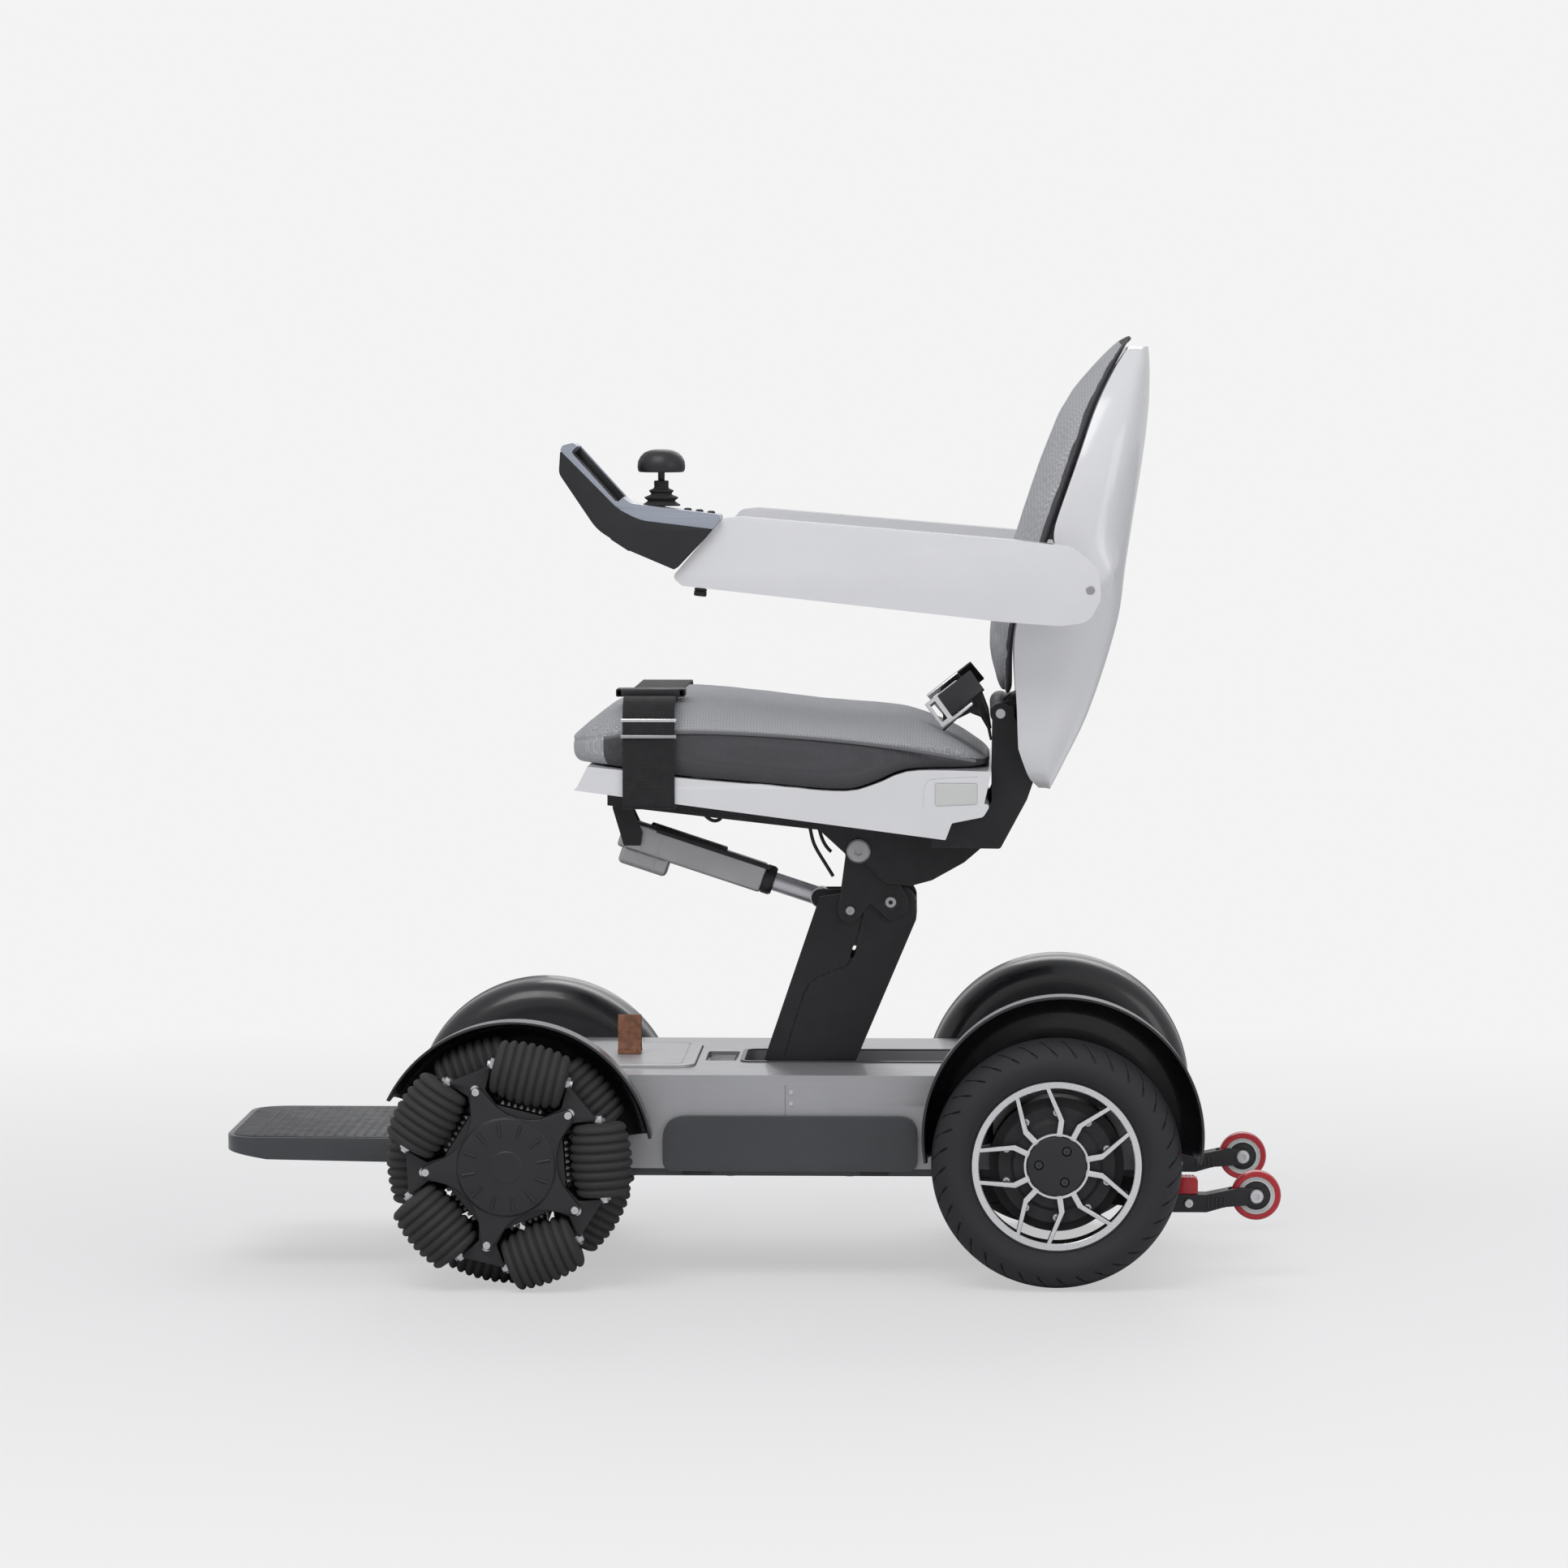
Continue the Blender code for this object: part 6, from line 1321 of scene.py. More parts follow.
def padded(name: str, cuts: int, place: Callable[[float, float, float], Point],
           fixed: Callable[[float, float, float], bool]) -> Piece:
    """A finely divided cube whose unit coordinates are put in place by a function.

    Args:
        name: its name.
        cuts: how often each edge of the cube is divided.
        place: where a point of the unit cube goes.
        fixed: which points the cloth holds still, such as a seam or the face it rests on.

    Returns:
        The piece, with its fixed points in the vertex group "held".
    """
    bpy.ops.object.select_all(action="DESELECT")
    bpy.ops.mesh.primitive_cube_add(size=2.0)
    piece = bpy.context.active_object
    piece.name = name
    with editing(piece):
        bpy.ops.mesh.select_all(action="SELECT")
        bpy.ops.mesh.subdivide(number_cuts=cuts)
    held = [vert.index for vert in piece.data.vertices if fixed(*vert.co)]
    piece.vertex_groups.new(name="held").add(held, 1.0, "REPLACE")
    for vert in piece.data.vertices:
        vert.co = Vector(place(*vert.co))
    return piece


def squared(u: float, v: float, power: float) -> tuple[float, float, float]:
    """Round a square's corners; the third value is how near the edge the point lies."""
    most = max(abs(u), abs(v))
    reach = (abs(u) ** power + abs(v) ** power) ** (1 / power)
    scale = most / reach if reach > 1e-9 else 1.0
    return u * scale, v * scale, most


def relax(piece: Piece, most: float, frames: int = 20) -> Piece:
    """Blow a padded piece up as cloth between its held points, so that it fills out like a stuffed cover.

    Args:
        piece: the padded piece, shaped.
        most: the furthest a point may move.
        frames: how long the cloth runs.

    Returns:
        The piece, subdivided once.
    """
    before = [vert.co.copy() for vert in piece.data.vertices]
    only(piece)
    bpy.ops.object.modifier_add(type="CLOTH")
    cloth = piece.modifiers[-1]
    cloth.settings.use_pressure = True
    cloth.settings.uniform_pressure_force = 4.0
    cloth.settings.effector_weights.gravity = 0.0
    cloth.settings.vertex_group_mass = "held"
    cloth.point_cache.frame_start, cloth.point_cache.frame_end = 1, frames
    for number in range(1, frames + 1):
        bpy.context.scene.frame_set(number)
    bpy.ops.object.modifier_apply(modifier=cloth.name)
    bpy.context.scene.frame_set(1)
    for vert, old in zip(piece.data.vertices, before):
        move = vert.co - old
        if move.length > most:
            vert.co = old + move * (most / move.length)
    return apply(piece, "SUBSURF", levels=1)


@dataclass
class Seat(Assembly):
    """The pan, the padded cushion and the black bracket behind it."""

    half: float = 0.210
    hinge: Flat = (0.262, 0.590)
    bracket_half: float = 0.135
    top_line: tuple[Flat, ...] = (
        (-0.167, 0.538), (-0.127, 0.534), (-0.076, 0.527), (0.024, 0.5186), (0.104, 0.5130), (0.134, 0.5211),
        (0.159, 0.5320), (0.184, 0.5350), (0.2525, 0.5337))
    crown_line: tuple[Flat, ...] = (
        (-0.190, 0.585), (-0.165, 0.602), (-0.080, 0.6065), (0.000, 0.600), (0.070, 0.592), (0.170, 0.584),
        (0.220, 0.574), (0.252, 0.556))
    seam_line: tuple[Flat, ...] = ((-0.190, 0.560), (-0.140, 0.569), (-0.060, 0.5735), (0.060, 0.568), (0.160, 0.557),
                                   (0.252, 0.5415))

    def build(self) -> None:
        """Shape the pan, the cushion and the bracket."""
        self.build_pan()
        self.build_cushion()
        corners = ((0.1895, 0.4633, 0.001), (0.1895, 0.449, 0.002), (0.262, 0.448, 0.004), (0.290, 0.500, 0.02),
                   (0.301, 0.532, 0.02), (0.292, 0.562, 0.02), (0.276, 0.585, 0.01), (0.276, 0.597, 0.003),
                   (0.254, 0.597, 0.003), (0.2535, 0.560, 0.01), (0.2530, 0.530, 0.002), (0.2530, 0.498, 0.008),
                   (0.2450, 0.4860, 0.004), (0.2120, 0.4793, 0.002), (0.2055, 0.4620, 0.001))
        loop = rounded([(x, z) for x, z, _ in corners], [radius for _, _, radius in corners], 4)
        bracket = prism("back_support", loop, -self.bracket_half, self.bracket_half)
        knuckle = across("n", self.hinge, self.bracket_half, 0.011, 40)
        gap = cuboid("g", (0.222, -0.0908, 0.574), (0.322, 0.0908, 0.640))
        bracket = edges_round(carve(carve(bracket, knuckle, how="UNION"), gap), 0.0015, 3, 40)
        self.add(bracket, "seat", POWDER, "back_bracket")
        self.add(across("back_hinge_pin", self.hinge, 0.1362, 0.005), "seat", STEEL)

    def build_pan(self) -> None:
        """The white pan with hollow pockets below and an inset panel on each side."""
        top = [(x, read_line(self.top_line, x)) for x in (0.2525 - 0.0126 * k for k in range(1, 33))]
        loop = rounded([(-0.186, 0.514), (0.205, 0.4625), (0.2115, 0.480), (0.2440, 0.4865), (0.2525, 0.500)],
                       (0.0005, 0.002, 0.003, 0.006, 0.008), 5)[1:]  # the first point is off the pan's outline
        pan = prism("pan", loop + [(0.2525, 0.5337)] + top + [(-0.167, 0.538)], -self.half, self.half)
        pan = edges_round(pan, 0.0028, 4, 50)
        below = [(x, 0.514 - (x + 0.186) * 0.1317 - 0.02) for x in (-0.140, 0.186)]
        section = below + [(0.186, 0.528), (0.150, 0.519), (0.104, 0.506), (0.024, 0.5116), (-0.076, 0.520),
                           (-0.140, 0.527)]
        tools = []
        for out in (-1, 1):
            tools.append(prism("pocket", section, *between(out, 0.072, 0.202)))
            tools.append(prism("inset", rounded([(0.1937, 0.497), (0.2383, 0.499), (0.2383, 0.522), (0.1937, 0.522)],
                                                0.003), *between(out, self.half - 0.0011, self.half + 0.01)))
            line = [(0.1821, 0.4955), (0.1826, 0.510), (0.1832, 0.5195), (0.1865, 0.5245), (0.195, 0.5264),
                    (0.2383, 0.5279)]
            tools.append(wire("groove", [(x, out * self.half, z) for x, z in line], 0.0009, 3))
        self.add(carve(pan, *tools), "seat", WHITE, "seat_pan", angle=35)
        for side in Side:
            panel = prism(f"pan_panel_{side.word}", rounded([(0.1945, 0.4978), (0.2375, 0.4998), (0.2375, 0.5212),
                                                             (0.1945, 0.5212)], 0.0024),
                          *between(side.value, self.half - 0.0014, self.half - 0.0003))
            self.add(edges_round(panel, 0.0004, 2), "seat", PALE)

    def cushion_point(self, u: float, v: float, w: float) -> Point:
        """Where a point of the unit cube lies on the cushion."""
        middle, reach = 0.03075, 0.2200
        fu, fv, most = squared(u, v, 5.0)
        x = middle + fu * reach
        low = read_line(self.top_line, x) + 0.0012
        crown = read_line(self.crown_line, x) - 0.0020 - 0.011 * most ** 5
        z = low + (crown - low) * (w + 1) / 2
        seam = read_line(self.seam_line, x)
        edge = 1.0 - 0.05 * abs(w) ** 4
        if most > 0.999:
            edge -= 0.006 * math.exp(-((z - seam) / 0.0028) ** 2)
        fv, x = fv * edge, middle + fu * reach * (1 - (1 - edge) * 0.5)
        ripple = 0.0003 * math.sin(x * 160 + v * 5) * math.sin(v * 9)
        if w > 0.99:
            z += ripple - 0.0012 * math.exp(-((most - 0.90) / 0.018) ** 2)
        return (x, fv * 0.2060, z)

    def build_cushion(self) -> None:
        """The cushion: mesh over the top and its shoulder, a dark band below the piped seam."""
        def fixed(u: float, v: float, w: float) -> bool:
            """Hold the underside and the seam."""
            x, _, z = self.cushion_point(u, v, w)
            return w < -0.99 or (max(abs(u), abs(v)) > 0.999 and abs(z - read_line(self.seam_line, x)) < 0.004)

        pad = padded("seat_pad", 46, self.cushion_point, fixed)
        for face in pad.data.polygons:
            middle = face.center
            if middle.z < read_line(self.seam_line, middle.x) and middle.x > -0.150:
                face.material_index = 1
        relax(pad, 0.005)
        self.add(pad, "seat", (MESH, BAND_AND_SHADE), "seat_cushion", angle=60)
        for side in Side:
            seam = [(x, side.value * (0.2055 - 0.014 * max(0.0, (x - 0.215) / 0.035) ** 2),
                     read_line(self.seam_line, x)) for x in (-0.150 + 0.0133 * k for k in range(30))]
            self.add(wire(f"seat_piping_{side.word}", seam, 0.0017, 3), "seat", PIPING)


@dataclass
class Straps(Assembly):
    """The webbing: the strap round the seat with its bright slides, and the two lap belt halves."""

    front: float = -0.130
    rear: float = -0.076
    belt_width: float = 0.040
    roll: float = 46.0

    def build(self) -> None:
        """Shape the strap and the belts."""
        half, low, high, t = 0.2112, 0.4958, 0.6080, 0.0023
        inner = rounded(oblong(-half, low, half, high), (0.006, 0.006, 0.030, 0.030), 8)
        outer = rounded(oblong(-half - t, low - t, half + t, high + t), (0.008, 0.008, 0.032, 0.032), 8)
        band = prism("seat_strap", outer, self.front, self.rear, Plane.FRONT, inner)
        self.add(edges_round(band, 0.0004, 2), "seat", STRAP, "front_strap")
        middle = (self.front + self.rear) / 2
        for i, (z, finish) in enumerate(((0.5865, ALLOY), (0.5695, CAST))):
            bar = edges_round(cuboid(f"strap_bar_{i}", (self.front - 0.002, -half - 0.0045, z - 0.0018),
                                     (self.rear + 0.002, -half - 0.0022, z + 0.0018)), 0.0008)
            self.add(bar, "seat", finish, slot="bright_steel")
        fold = edges_round(cuboid("strap_fold", (self.front + 0.001, -half - 0.0040, 0.5715),
                                  (self.rear - 0.001, -half - 0.0020, 0.5848)), 0.0008)
        self.add(fold, "seat", STRAP)
        slide = [edges_round(cuboid("s", (middle + x0, y0, 0.6090), (middle + x1, y1, 0.6172)), 0.0016)
                 for x0, y0, x1, y1 in (
                     (-0.036, -0.176, 0.036, -0.168), (-0.036, -0.150, 0.036, -0.142), (-0.036, -0.176, -0.029, -0.142),
                     (0.029, -0.176, 0.036, -0.142), (-0.036, -0.163, 0.036, -0.156))]
        self.add(gathered("strap_slide", slide), "seat", BLACK)
        for side in Side:
            self.build_belt(side)

    def build_belt(self, side: Side) -> None:
        """One lap belt half: webbing folded forward over the cushion, with its latch or tongue."""
        y = side.value * 0.112
        up = [(0.2020, 0.5900), (0.2160, 0.6000), (0.2300, 0.6040), (0.2420, 0.5960), (0.2490, 0.5800),
              (0.2520, 0.5620)]
        path = [up[0]] + [tuple((Vector(a) * (3 - k) + Vector(b) * k) / 3)
                          for a, b in zip(up, up[1:]) for k in (1, 2, 3)]

        def ribbon(u: float, v: float) -> Point:
            """A point of the webbing, which rolls outwards towards its free end."""
            way = v * (len(path) - 1)
            at = min(int(way + 0.0001), len(path) - 2)
            x, z = Vector(path[at]).lerp(Vector(path[at + 1]), way - at)
            roll, aside = math.radians(self.roll * (1 - v) ** 0.8), (u - 0.5) * self.belt_width
            return (x, y + aside * math.cos(roll), z + side.value * -aside * math.sin(roll) - 0.004 * (1 - v))

        belt = apply(surface(f"belt_{side.word}", 6, 40, ribbon), "SOLIDIFY", thickness=0.002, offset=0.0)
        self.add(belt, "seat", BELT, f"lap_belt_{side.word}", angle=60)
        turn = (Matrix.Translation((0.2000, y, 0.5880)) @ Matrix.Rotation(math.radians(-38), 4, "Y")
                @ Matrix.Rotation(side.value * math.radians(-self.roll), 4, "X"))
        latch = edges_round(cuboid("l", (-0.008, -0.021, 0.0022), (0.034, 0.021, 0.0062)), 0.0014, 4)
        latch = carve(latch, cuboid("w", (-0.004, -0.015, -0.01), (0.003, 0.015, 0.02)))
        latch.name = f"belt_latch_{side.word}"
        flap = edges_round(cuboid(f"belt_flap_{side.word}", (0.008, -0.017, 0.0064), (0.052, 0.017, 0.0092)), 0.0013)
        for piece, finish, slot in ((latch, ALLOY, "bright_steel"), (flap, BLACK, "black_plastic")):
            piece.data.transform(turn)
            self.add(piece, "seat", finish, slot=slot)
        for piece in (belt, latch, flap):
            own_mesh(piece)


@dataclass
class Back(Assembly):
    """The backrest: white moulded shell with its inner frame, and the padded cushion."""

    pivot: Flat = (0.262, 0.590)
    arm_pivot: Flat = (0.353, 0.724)
    seam_u: float = 0.30
    # share of the cushion's depth where the darker side band starts, painted partly as the shell's shade
    band_from: float = 0.66
    stations: tuple[tuple[float, float, float, float], ...] = (
        (0.5100, 0.2900, 0.3160, 0.150), (0.5295, 0.2828, 0.3260, 0.180), (0.5900, 0.2790, 0.3554, 0.190),
        (0.6854, 0.2778, 0.3857, 0.192), (0.7462, 0.3020, 0.3944, 0.192), (0.7900, 0.3180, 0.4010, 0.190),
        (0.8610, 0.3432, 0.4120, 0.180), (0.9110, 0.3610, 0.4178, 0.160), (0.9500, 0.3800, 0.4190, 0.130),
        (0.9740, 0.3960, 0.4180, 0.090))
    front_line: tuple[Flat, ...] = (
        (0.606, 0.2560), (0.651, 0.2530), (0.703, 0.2617), (0.768, 0.2816), (0.859, 0.3120), (0.920, 0.3380),
        (0.967, 0.3684), (0.986, 0.3920))
    rest_line: tuple[Flat, ...] = (
        (0.606, 0.2740), (0.6854, 0.2770), (0.7462, 0.3010), (0.790, 0.3170), (0.861, 0.3425), (0.911, 0.3600),
        (0.950, 0.3790), (0.986, 0.3990))
    half_line: tuple[Flat, ...] = (
        (0.606, 0.150), (0.660, 0.182), (0.790, 0.180), (0.861, 0.170), (0.911, 0.150), (0.950, 0.120), (0.986, 0.085))

    def build(self) -> None:
        """Shape the shell, the frame inside it and the cushion."""
        shell = surface("back_moulding", 96, 110, self.shell_point)
        with editing(shell) as mesh:
            for edge in mesh.edges:
                if edge.is_boundary and all(v.co.z > 0.9735 for v in edge.verts):
                    edge.select_set(True)
            bpy.ops.mesh.edge_face_add()
            bpy.ops.mesh.select_all(action="SELECT")
            bpy.ops.mesh.normals_make_consistent(inside=False)
        middle = min(shell.data.polygons, key=lambda f: (f.center - Vector((0.4, 0.0, 0.75))).length)
        apply(shell, "SOLIDIFY", thickness=0.0048, offset=-1.0 if middle.normal.x > 0 else 1.0)
        shell = edges_round(shell, 0.0014, 3, 60)
        self.add(shell, "back", WHITE, "back_shell", angle=50)
        bx, bz = self.pivot
        leaf = prism("leaf", [(bx - 0.002, bz + 0.0095), (bx + 0.002, bz - 0.0095), (bx + 0.016, bz - 0.010),
                              (0.345, 0.608), (0.369, 0.640), (0.340, 0.640), (bx + 0.014, bz + 0.0125)], -0.090, 0.090)
        leaf = carve(leaf, across("eye", self.pivot, 0.090, 0.011, 40), how="UNION")
        leaf = edges_round(carve(leaf, across("bore", self.pivot, 2 * THROUGH, 0.0058)), 0.001, 2, 40)
        self.add(leaf, "back", POWDER)
        x, z = self.arm_pivot
        bosses = [spun(f"boss_{out}", [(0.0, 0.0), (0.0105, 0.0), (0.0105, 0.052), (0.0095, 0.0590), (0.0, 0.0590)],
                       (x, out * 0.132, z), (0, out, 0)) for out in (-1, 1)]
        block = prism("block", [(0.3105, 0.770), (0.3965, 0.770), (0.4070, 0.850), (0.3395, 0.850)], -0.040, 0.040)
        self.add(edges_round(gathered("back_bosses", [*bosses, block]), 0.001, 2), "back", WHITE)
        self.build_cushion()

    def shell_point(self, u: float, v: float) -> Point:
        """A point of the shell's outside: u runs round the squared U, v up it."""
        z = 0.510 + v * 0.464
        front, rear, half = (read_line([(row[0], row[i]) for row in self.stations], z) for i in (1, 2, 3))
        turn = (2 * u - 1) * math.pi / 2
        depth = rear - front
        x = front + depth * abs(math.cos(turn)) ** 0.46
        y = math.copysign(half * abs(math.sin(turn)) ** 0.5, turn)
        away = abs(math.sin(turn)) ** 6
        notch = 0.030 * math.exp(-((z - 0.738) / 0.026) ** 2) * away
        low = max(0.0, 0.556 - z) / 0.046
        x += notch + 0.012 * low * away
        foot = 0.522
        return (x, y * (1.0 - 0.02 * low), z + (foot - z) * 0.25 * away if z < foot else z)

    def cushion_point(self, u: float, v: float, w: float) -> Point:
        """Where a point of the unit cube lies on the cushion: w up, v across, u from front to rear."""
        fw, fv, most = squared(w, v, 4.0)
        edge = 1.0 - 0.05 * abs(u) ** 4 - (0.007 * math.exp(-((u - self.seam_u) / 0.09) ** 2) if most > 0.999 else 0.0)
        fw, fv = fw * edge, fv * edge
        z = 0.796 + 0.190 * fw
        front = read_line(self.front_line, z) + 0.010 * max(abs(fv), fw if fw > 0 else 0.7 * abs(fw)) ** 5
        if u < -0.99:
            front += 0.0012 * math.exp(-((most - 0.88) / 0.02) ** 2) + 0.0004 * math.sin(z * 120) * math.sin(v * 7)
        return (front + (read_line(self.rest_line, z) - front) * (u + 1) / 2, fv * read_line(self.half_line, z), z)

    def build_cushion(self) -> None:
        """The cushion, with its light front and a darker side band, whose colour is partly painted shade where the
        shell shades it.
        """
        pad = padded("back_pad", 46, self.cushion_point, lambda u, v, w: u > 0.99 or (
            max(abs(v), abs(w)) > 0.999 and abs(u - self.seam_u) < 0.06))
        for face in pad.data.polygons:
            front, rest = (read_line(line, face.center.z) for line in (self.front_line, self.rest_line))
            face.material_index = int((face.center.x - front) / (rest - front) > self.band_from)
        relax(pad, 0.005)
        self.add(pad, "back", (MESH, BAND_AND_SHADE), "back_cushion", angle=60)


@dataclass
class Armrests(Assembly):
    """The two white arms with their pivot bolts and thumb knobs."""

    inner_y: float = 0.226
    width: float = 0.052
    pivot: Flat = (0.353, 0.724)

    def build(self) -> None:
        """Shape both arms."""
        loop = rounded([(-0.0750, 0.7370), (-0.0650, 0.7280), (0.262, 0.6915), (0.322, 0.6870), (0.352, 0.6910),
                        (0.3640, 0.7150), (0.3620, 0.7440), (0.336, 0.7680), (0.280, 0.7744), (-0.005, 0.7985),
                        (-0.024, 0.7965)], (0.006, 0.006, 0.1, 0.05, 0.022, 0.022, 0.022, 0.03, 0.1, 0.016, 0.008), 8)
        for side in Side:
            body, s = f"armrest_{side.word}", side.value
            span = between(s, self.inner_y, self.inner_y + self.width)
            arm = edges_round(prism(f"armrest_{side.word}", loop, *span), 0.0085, 7, 50)
            self.add(arm, body, WHITE, f"arm_{side.word}", angle=50)
            out = s * (self.inner_y + self.width)
            bolt = screw_head(f"arm_bolt_{side.word}", (self.pivot[0], out - s * 0.0004, self.pivot[1]), (0, s, 0),
                              0.0046, 0.0016)
            self.add(bolt, body, CAST)
            self.carry(f"arm_hub_{side.word}", STEEL)
            middle = s * (self.inner_y + self.width / 2)
            knob = spun(f"arm_knob_{side.word}", [
                (0.0, 0.0), (0.0030, 0.0), (0.0030, 0.0015), (0.0062, 0.0022), (0.0066, 0.0040), (0.0058, 0.0048),
                (0.0066, 0.0056), (0.0066, 0.0092), (0.0058, 0.0102), (0.0, 0.0102)],
                (-0.0465, middle, 0.7268), (-0.11, 0, -1))
            self.add(knob, body, POWDER)


@dataclass
class ControlPod(Assembly):
    """The control pod on the left arm: body, slanted tray, joystick with its boot, three buttons."""

    y: float = -0.252
    half: float = 0.034
    stick_x: float = -0.0872
    buttons_x: float = -0.060
    button_pitch: float = 0.012

    def deck(self, x: float) -> float:
        """Height of the pod's deck at x."""
        rear, rear_z, run, rise = -0.0260, 0.8010, -0.0930, 0.0115
        return rear_z + rise * (x - rear) / run

    def build(self) -> None:
        """Shape the pod and its controls."""
        low, high = self.y - self.half, self.y + self.half
        case = rounded([(-0.1890, 0.8660), (-0.1905, 0.8430), (-0.1520, 0.7860), (-0.1180, 0.7640), (-0.0724, 0.7447),
                        (-0.0335, 0.7858), (-0.1080, 0.7950), (-0.1300, 0.8065)],
                       (0.001, 0.014, 0.05, 0.03, 0.002, 0.002, 0.05, 0.03), 7)
        self.add(edges_round(prism("pod_case", case, low, high), 0.0042, 5, 45), "armrest_left", BLACK,
                 "pod_body", angle=45)
        top = rounded([(-0.1890, 0.8663), (-0.1300, 0.8068), (-0.1080, 0.7953), (-0.0332, 0.7862), (-0.0250, 0.7960),
                       (-0.0260, 0.8010), (-0.1190, 0.8125), (-0.1755, 0.8745), (-0.1870, 0.8715)],
                      (0.001, 0.03, 0.05, 0.001, 0.002, 0.004, 0.02, 0.005, 0.004), 7)
        bezel = edges_round(prism("pod_top", top, low + 0.001, high - 0.001), 0.0026, 4, 50)
        lean = Matrix.Translation((-0.1475, self.y, 0.8440)) @ Matrix.Rotation(math.atan2(0.062, 0.0565), 4, "Y")
        h = self.half
        front, rear, floor = -0.036, 0.034, -0.0110
        tray = cuboid("t", (front, -h + 0.0045, floor), (rear, h - 0.0045, 0.030))
        open_side = prism("open", rounded(oblong(front, floor + 0.0022, rear, 0.03), (0.004, 0.004, 0.001, 0.001)),
                          -h - 0.01, h - 0.0070)
        for tool in (tray, open_side):
            tool.data.transform(lean)
        well = self.deck(self.stick_x)
        tools = [tray, open_side,
                 rod("w", (self.stick_x, self.y, well - 0.0058), (self.stick_x, self.y, well + 0.03), 0.0100)]
        spots = [(x, self.y, self.deck(x)) for x in (self.buttons_x + self.button_pitch * k for k in range(3))]
        tools += [rod("h", (x, y, z - 0.0035), (x, y, z + 0.02), 0.0045) for x, y, z in spots]
        self.add(carve(bezel, *tools), "armrest_left", BLUE, "pod_bezel", angle=45)
        liner = [cuboid("l", (front + 0.0005, -h + 0.0050, -0.0108), (rear - 0.0005, h - 0.0050, -0.0098)),
                 cuboid("w", (front + 0.001, h - 0.0058, -0.0105), (rear - 0.001, h - 0.0048, -0.0016))]
        liner += [cuboid("r", (front + 0.003, y, -0.0100), (rear - 0.003, y + 0.0012, -0.0090))
                  for y in (-0.018, -0.006, 0.006, 0.018)]
        liner = edges_round(gathered("tray_liner", liner), 0.0003, 2)
        liner.data.transform(lean)
        self.add(liner, "armrest_left", BLACK)
        clip = edges_round(cuboid("pod_clip", (-0.0115, self.y - 0.010, -0.0012), (0.0115, self.y + 0.010, 0.0016)),
                           0.0008)
        clip.data.transform(Matrix.Translation((-0.1290, 0, 0.7700)) @ Matrix.Rotation(math.radians(33), 4, "Y"))
        self.add(clip, "armrest_left", BLACK)
        for k, spot in enumerate(spots):
            cap = spun(f"button_cap_{k + 1}", [(0.0, -0.0020), (0.0040, -0.0020), (0.0040, 0.0010), (0.0034, 0.0018),
                                               (0.0020, 0.0023), (0.0, 0.0024)], spot, (0, 0, 1), 40)
            self.add(cap, f"button_{k + 1}", BLACK, f"pod_button_{k + 1}")
        self.build_stick(well)

    def build_stick(self, well: float) -> None:
        """The mushroom knob on its stem, the pleated boot and the gimbal."""
        foot = (self.stick_x, self.y, well)
        self.carry("joystick_gimbal", STEEL)
        cap = spun("stick_knob", [
            (0.0, 0.0590), (0.006, 0.0588), (0.012, 0.0578), (0.0175, 0.0555), (0.0215, 0.0515), (0.0240, 0.0465),
            (0.0246, 0.0410), (0.0240, 0.0372), (0.0225, 0.0355), (0.018, 0.0352), (0.0045, 0.0362), (0.0035, 0.0350),
            (0.0032, 0.0038), (0.0, 0.0038)], foot, (0, 0, 1), 96)
        self.add(cap, "joystick", BLACK, "joystick_knob", angle=40)
        ribs = [(0.0192, 0.0008), (0.0196, 0.0022), (0.0150, 0.0050), (0.0140, 0.0062), (0.0172, 0.0086),
                (0.0174, 0.0098), (0.0112, 0.0124), (0.0106, 0.0136), (0.0126, 0.0158), (0.0126, 0.0168),
                (0.0078, 0.0190), (0.0074, 0.0206), (0.0076, 0.0262), (0.0064, 0.0268)]
        inner = [(r - 0.0012, h + 0.0001) for r, h in reversed(ribs[:-1])]
        boot = spun("stick_boot", ribs + [(0.0060, 0.0262)] + inner + [ribs[0]], foot, (0, 0, 1), 96)
        self.add(boot, "joystick", BOOT, "joystick_boot", angle=25)


def build_floor() -> None:
    """A pale floor that fades into the background for the camera, and keeps the shadow near the chair."""
    white = bpy.data.materials.new("floor_white")
    white.use_nodes = True
    kit = Wiring(white.node_tree)
    shade = white.node_tree.nodes["Principled BSDF"]
    shade.inputs["Base Color"].default_value = (0.80, 0.80, 0.805, 1.0)
    shade.inputs["Roughness"].default_value = 0.55
    far = kit.node("VectorMath", kit.place, mode={"operation": "LENGTH"}).outputs["Value"]
    seen = kit.sums("MULTIPLY", kit.span(far, 0.55, 1.0, 0.7, 2.4), kit.node("LightPath").outputs["Is Camera Ray"])
    glow = kit.node("Emission", Color=BACKDROP)
    mix = kit.node("MixShader", seen, shade.outputs[0], glow.outputs[0])
    kit.link(mix.outputs[0], white.node_tree.nodes["Material Output"].inputs["Surface"])
    bpy.ops.object.select_all(action="DESELECT")
    bpy.ops.mesh.primitive_plane_add(size=30.0)
    floor = bpy.context.active_object
    floor.name = "floor"
    floor.data.materials.append(white)


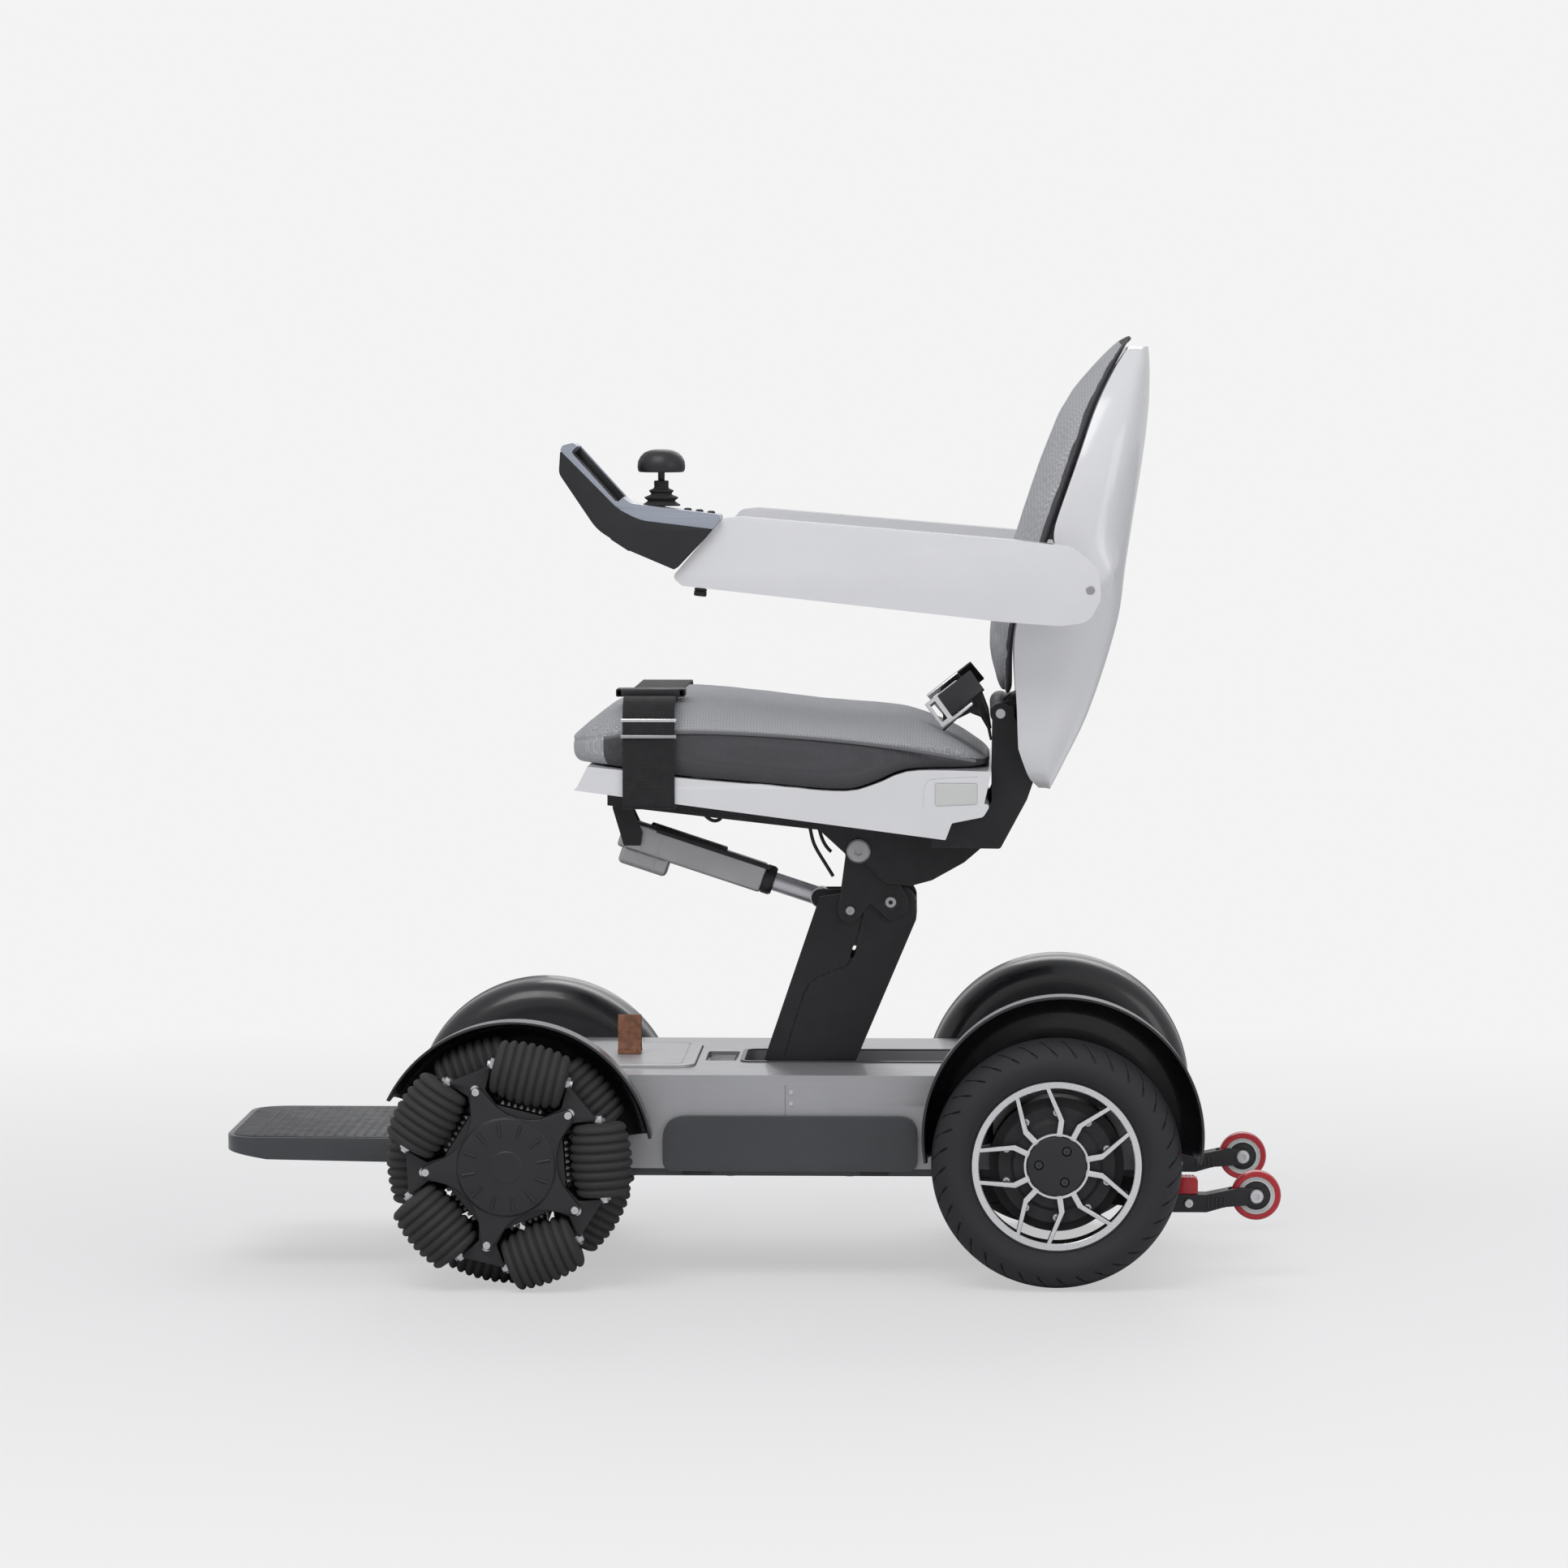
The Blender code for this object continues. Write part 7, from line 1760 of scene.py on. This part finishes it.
def build_sky() -> None:
    """A soft world light; the camera sees the pale backdrop instead, and reflections see part of it."""
    world = bpy.context.scene.world or bpy.data.worlds.new("studio")
    bpy.context.scene.world = world
    world.use_nodes = True
    kit = Wiring(world.node_tree)
    light = world.node_tree.nodes["Background"]
    light.inputs["Color"].default_value = (0.95, 0.96, 1.0, 1.0)
    light.inputs["Strength"].default_value = 0.42
    path = kit.node("LightPath")
    part = kit.sums("MULTIPLY", path.outputs["Is Glossy Ray"], 0.4)
    seen = kit.sums("MAXIMUM", part, path.outputs["Is Camera Ray"])
    mix = kit.node("MixShader", seen, light.outputs[0], kit.node("Background", Color=BACKDROP).outputs[0])
    kit.link(mix.outputs[0], world.node_tree.nodes["World Output"].inputs["Surface"])


def placed(name: str, data: bpy.types.ID) -> Piece:
    """A lamp or camera object in the scene."""
    item = bpy.data.objects.new(name, data)
    bpy.context.scene.collection.objects.link(item)
    return item


def studio() -> None:
    """Floor, lights and the camera of the photograph."""
    build_floor()
    build_sky()
    for name, place, size, power, aim in (
            ("key", (-0.8, -2.2, 3.4), 2.2, 54.0, (0.0, 0.0, 0.4)),
            ("fill", (3.0, -2.4, 1.6), 2.0, 16.0, (0.0, 0.0, 0.4)),
            ("rim", (0.6, 3.0, 2.6), 2.4, 34.0, (0.0, 0.0, 0.5))):
        lamp = bpy.data.lights.new(name, "AREA")
        lamp.energy = power
        lamp.size = size
        item = placed(name, lamp)
        item.location = place
        item.rotation_euler = (Vector(aim) - Vector(place)).to_track_quat("-Z", "Y").to_euler()
    lens = bpy.data.cameras.new("photo")
    lens.lens = 139.2
    lens.sensor_width = 36.0
    camera = placed("photo", lens)
    camera.location = (0.24, -6.48, 0.924)
    camera.rotation_euler = (math.radians(90 - 3.68), 0.0, math.radians(1.85))
    bpy.context.scene.camera = camera
    bpy.context.scene.view_settings.view_transform = "Standard"


ASSEMBLIES: tuple[type[Assembly], ...] = (Shell, Fenders, RollerWheels, RearWheels, AntiTip, Footplate, Column,
                                           Actuator, Seat, Straps, Back, Armrests, ControlPod)


def main() -> None:
    """Build every sub-assembly in order, then the studio."""
    logging.basicConfig(level=logging.INFO, format="%(name)s: %(message)s")
    for kind in ASSEMBLIES:
        assembly = kind()
        assembly.build()
        assembly.dress()
        LOG.info("%s: %d pieces", kind.__name__, len(assembly.finishes))
    studio()


if __name__ == "__main__":
    main()
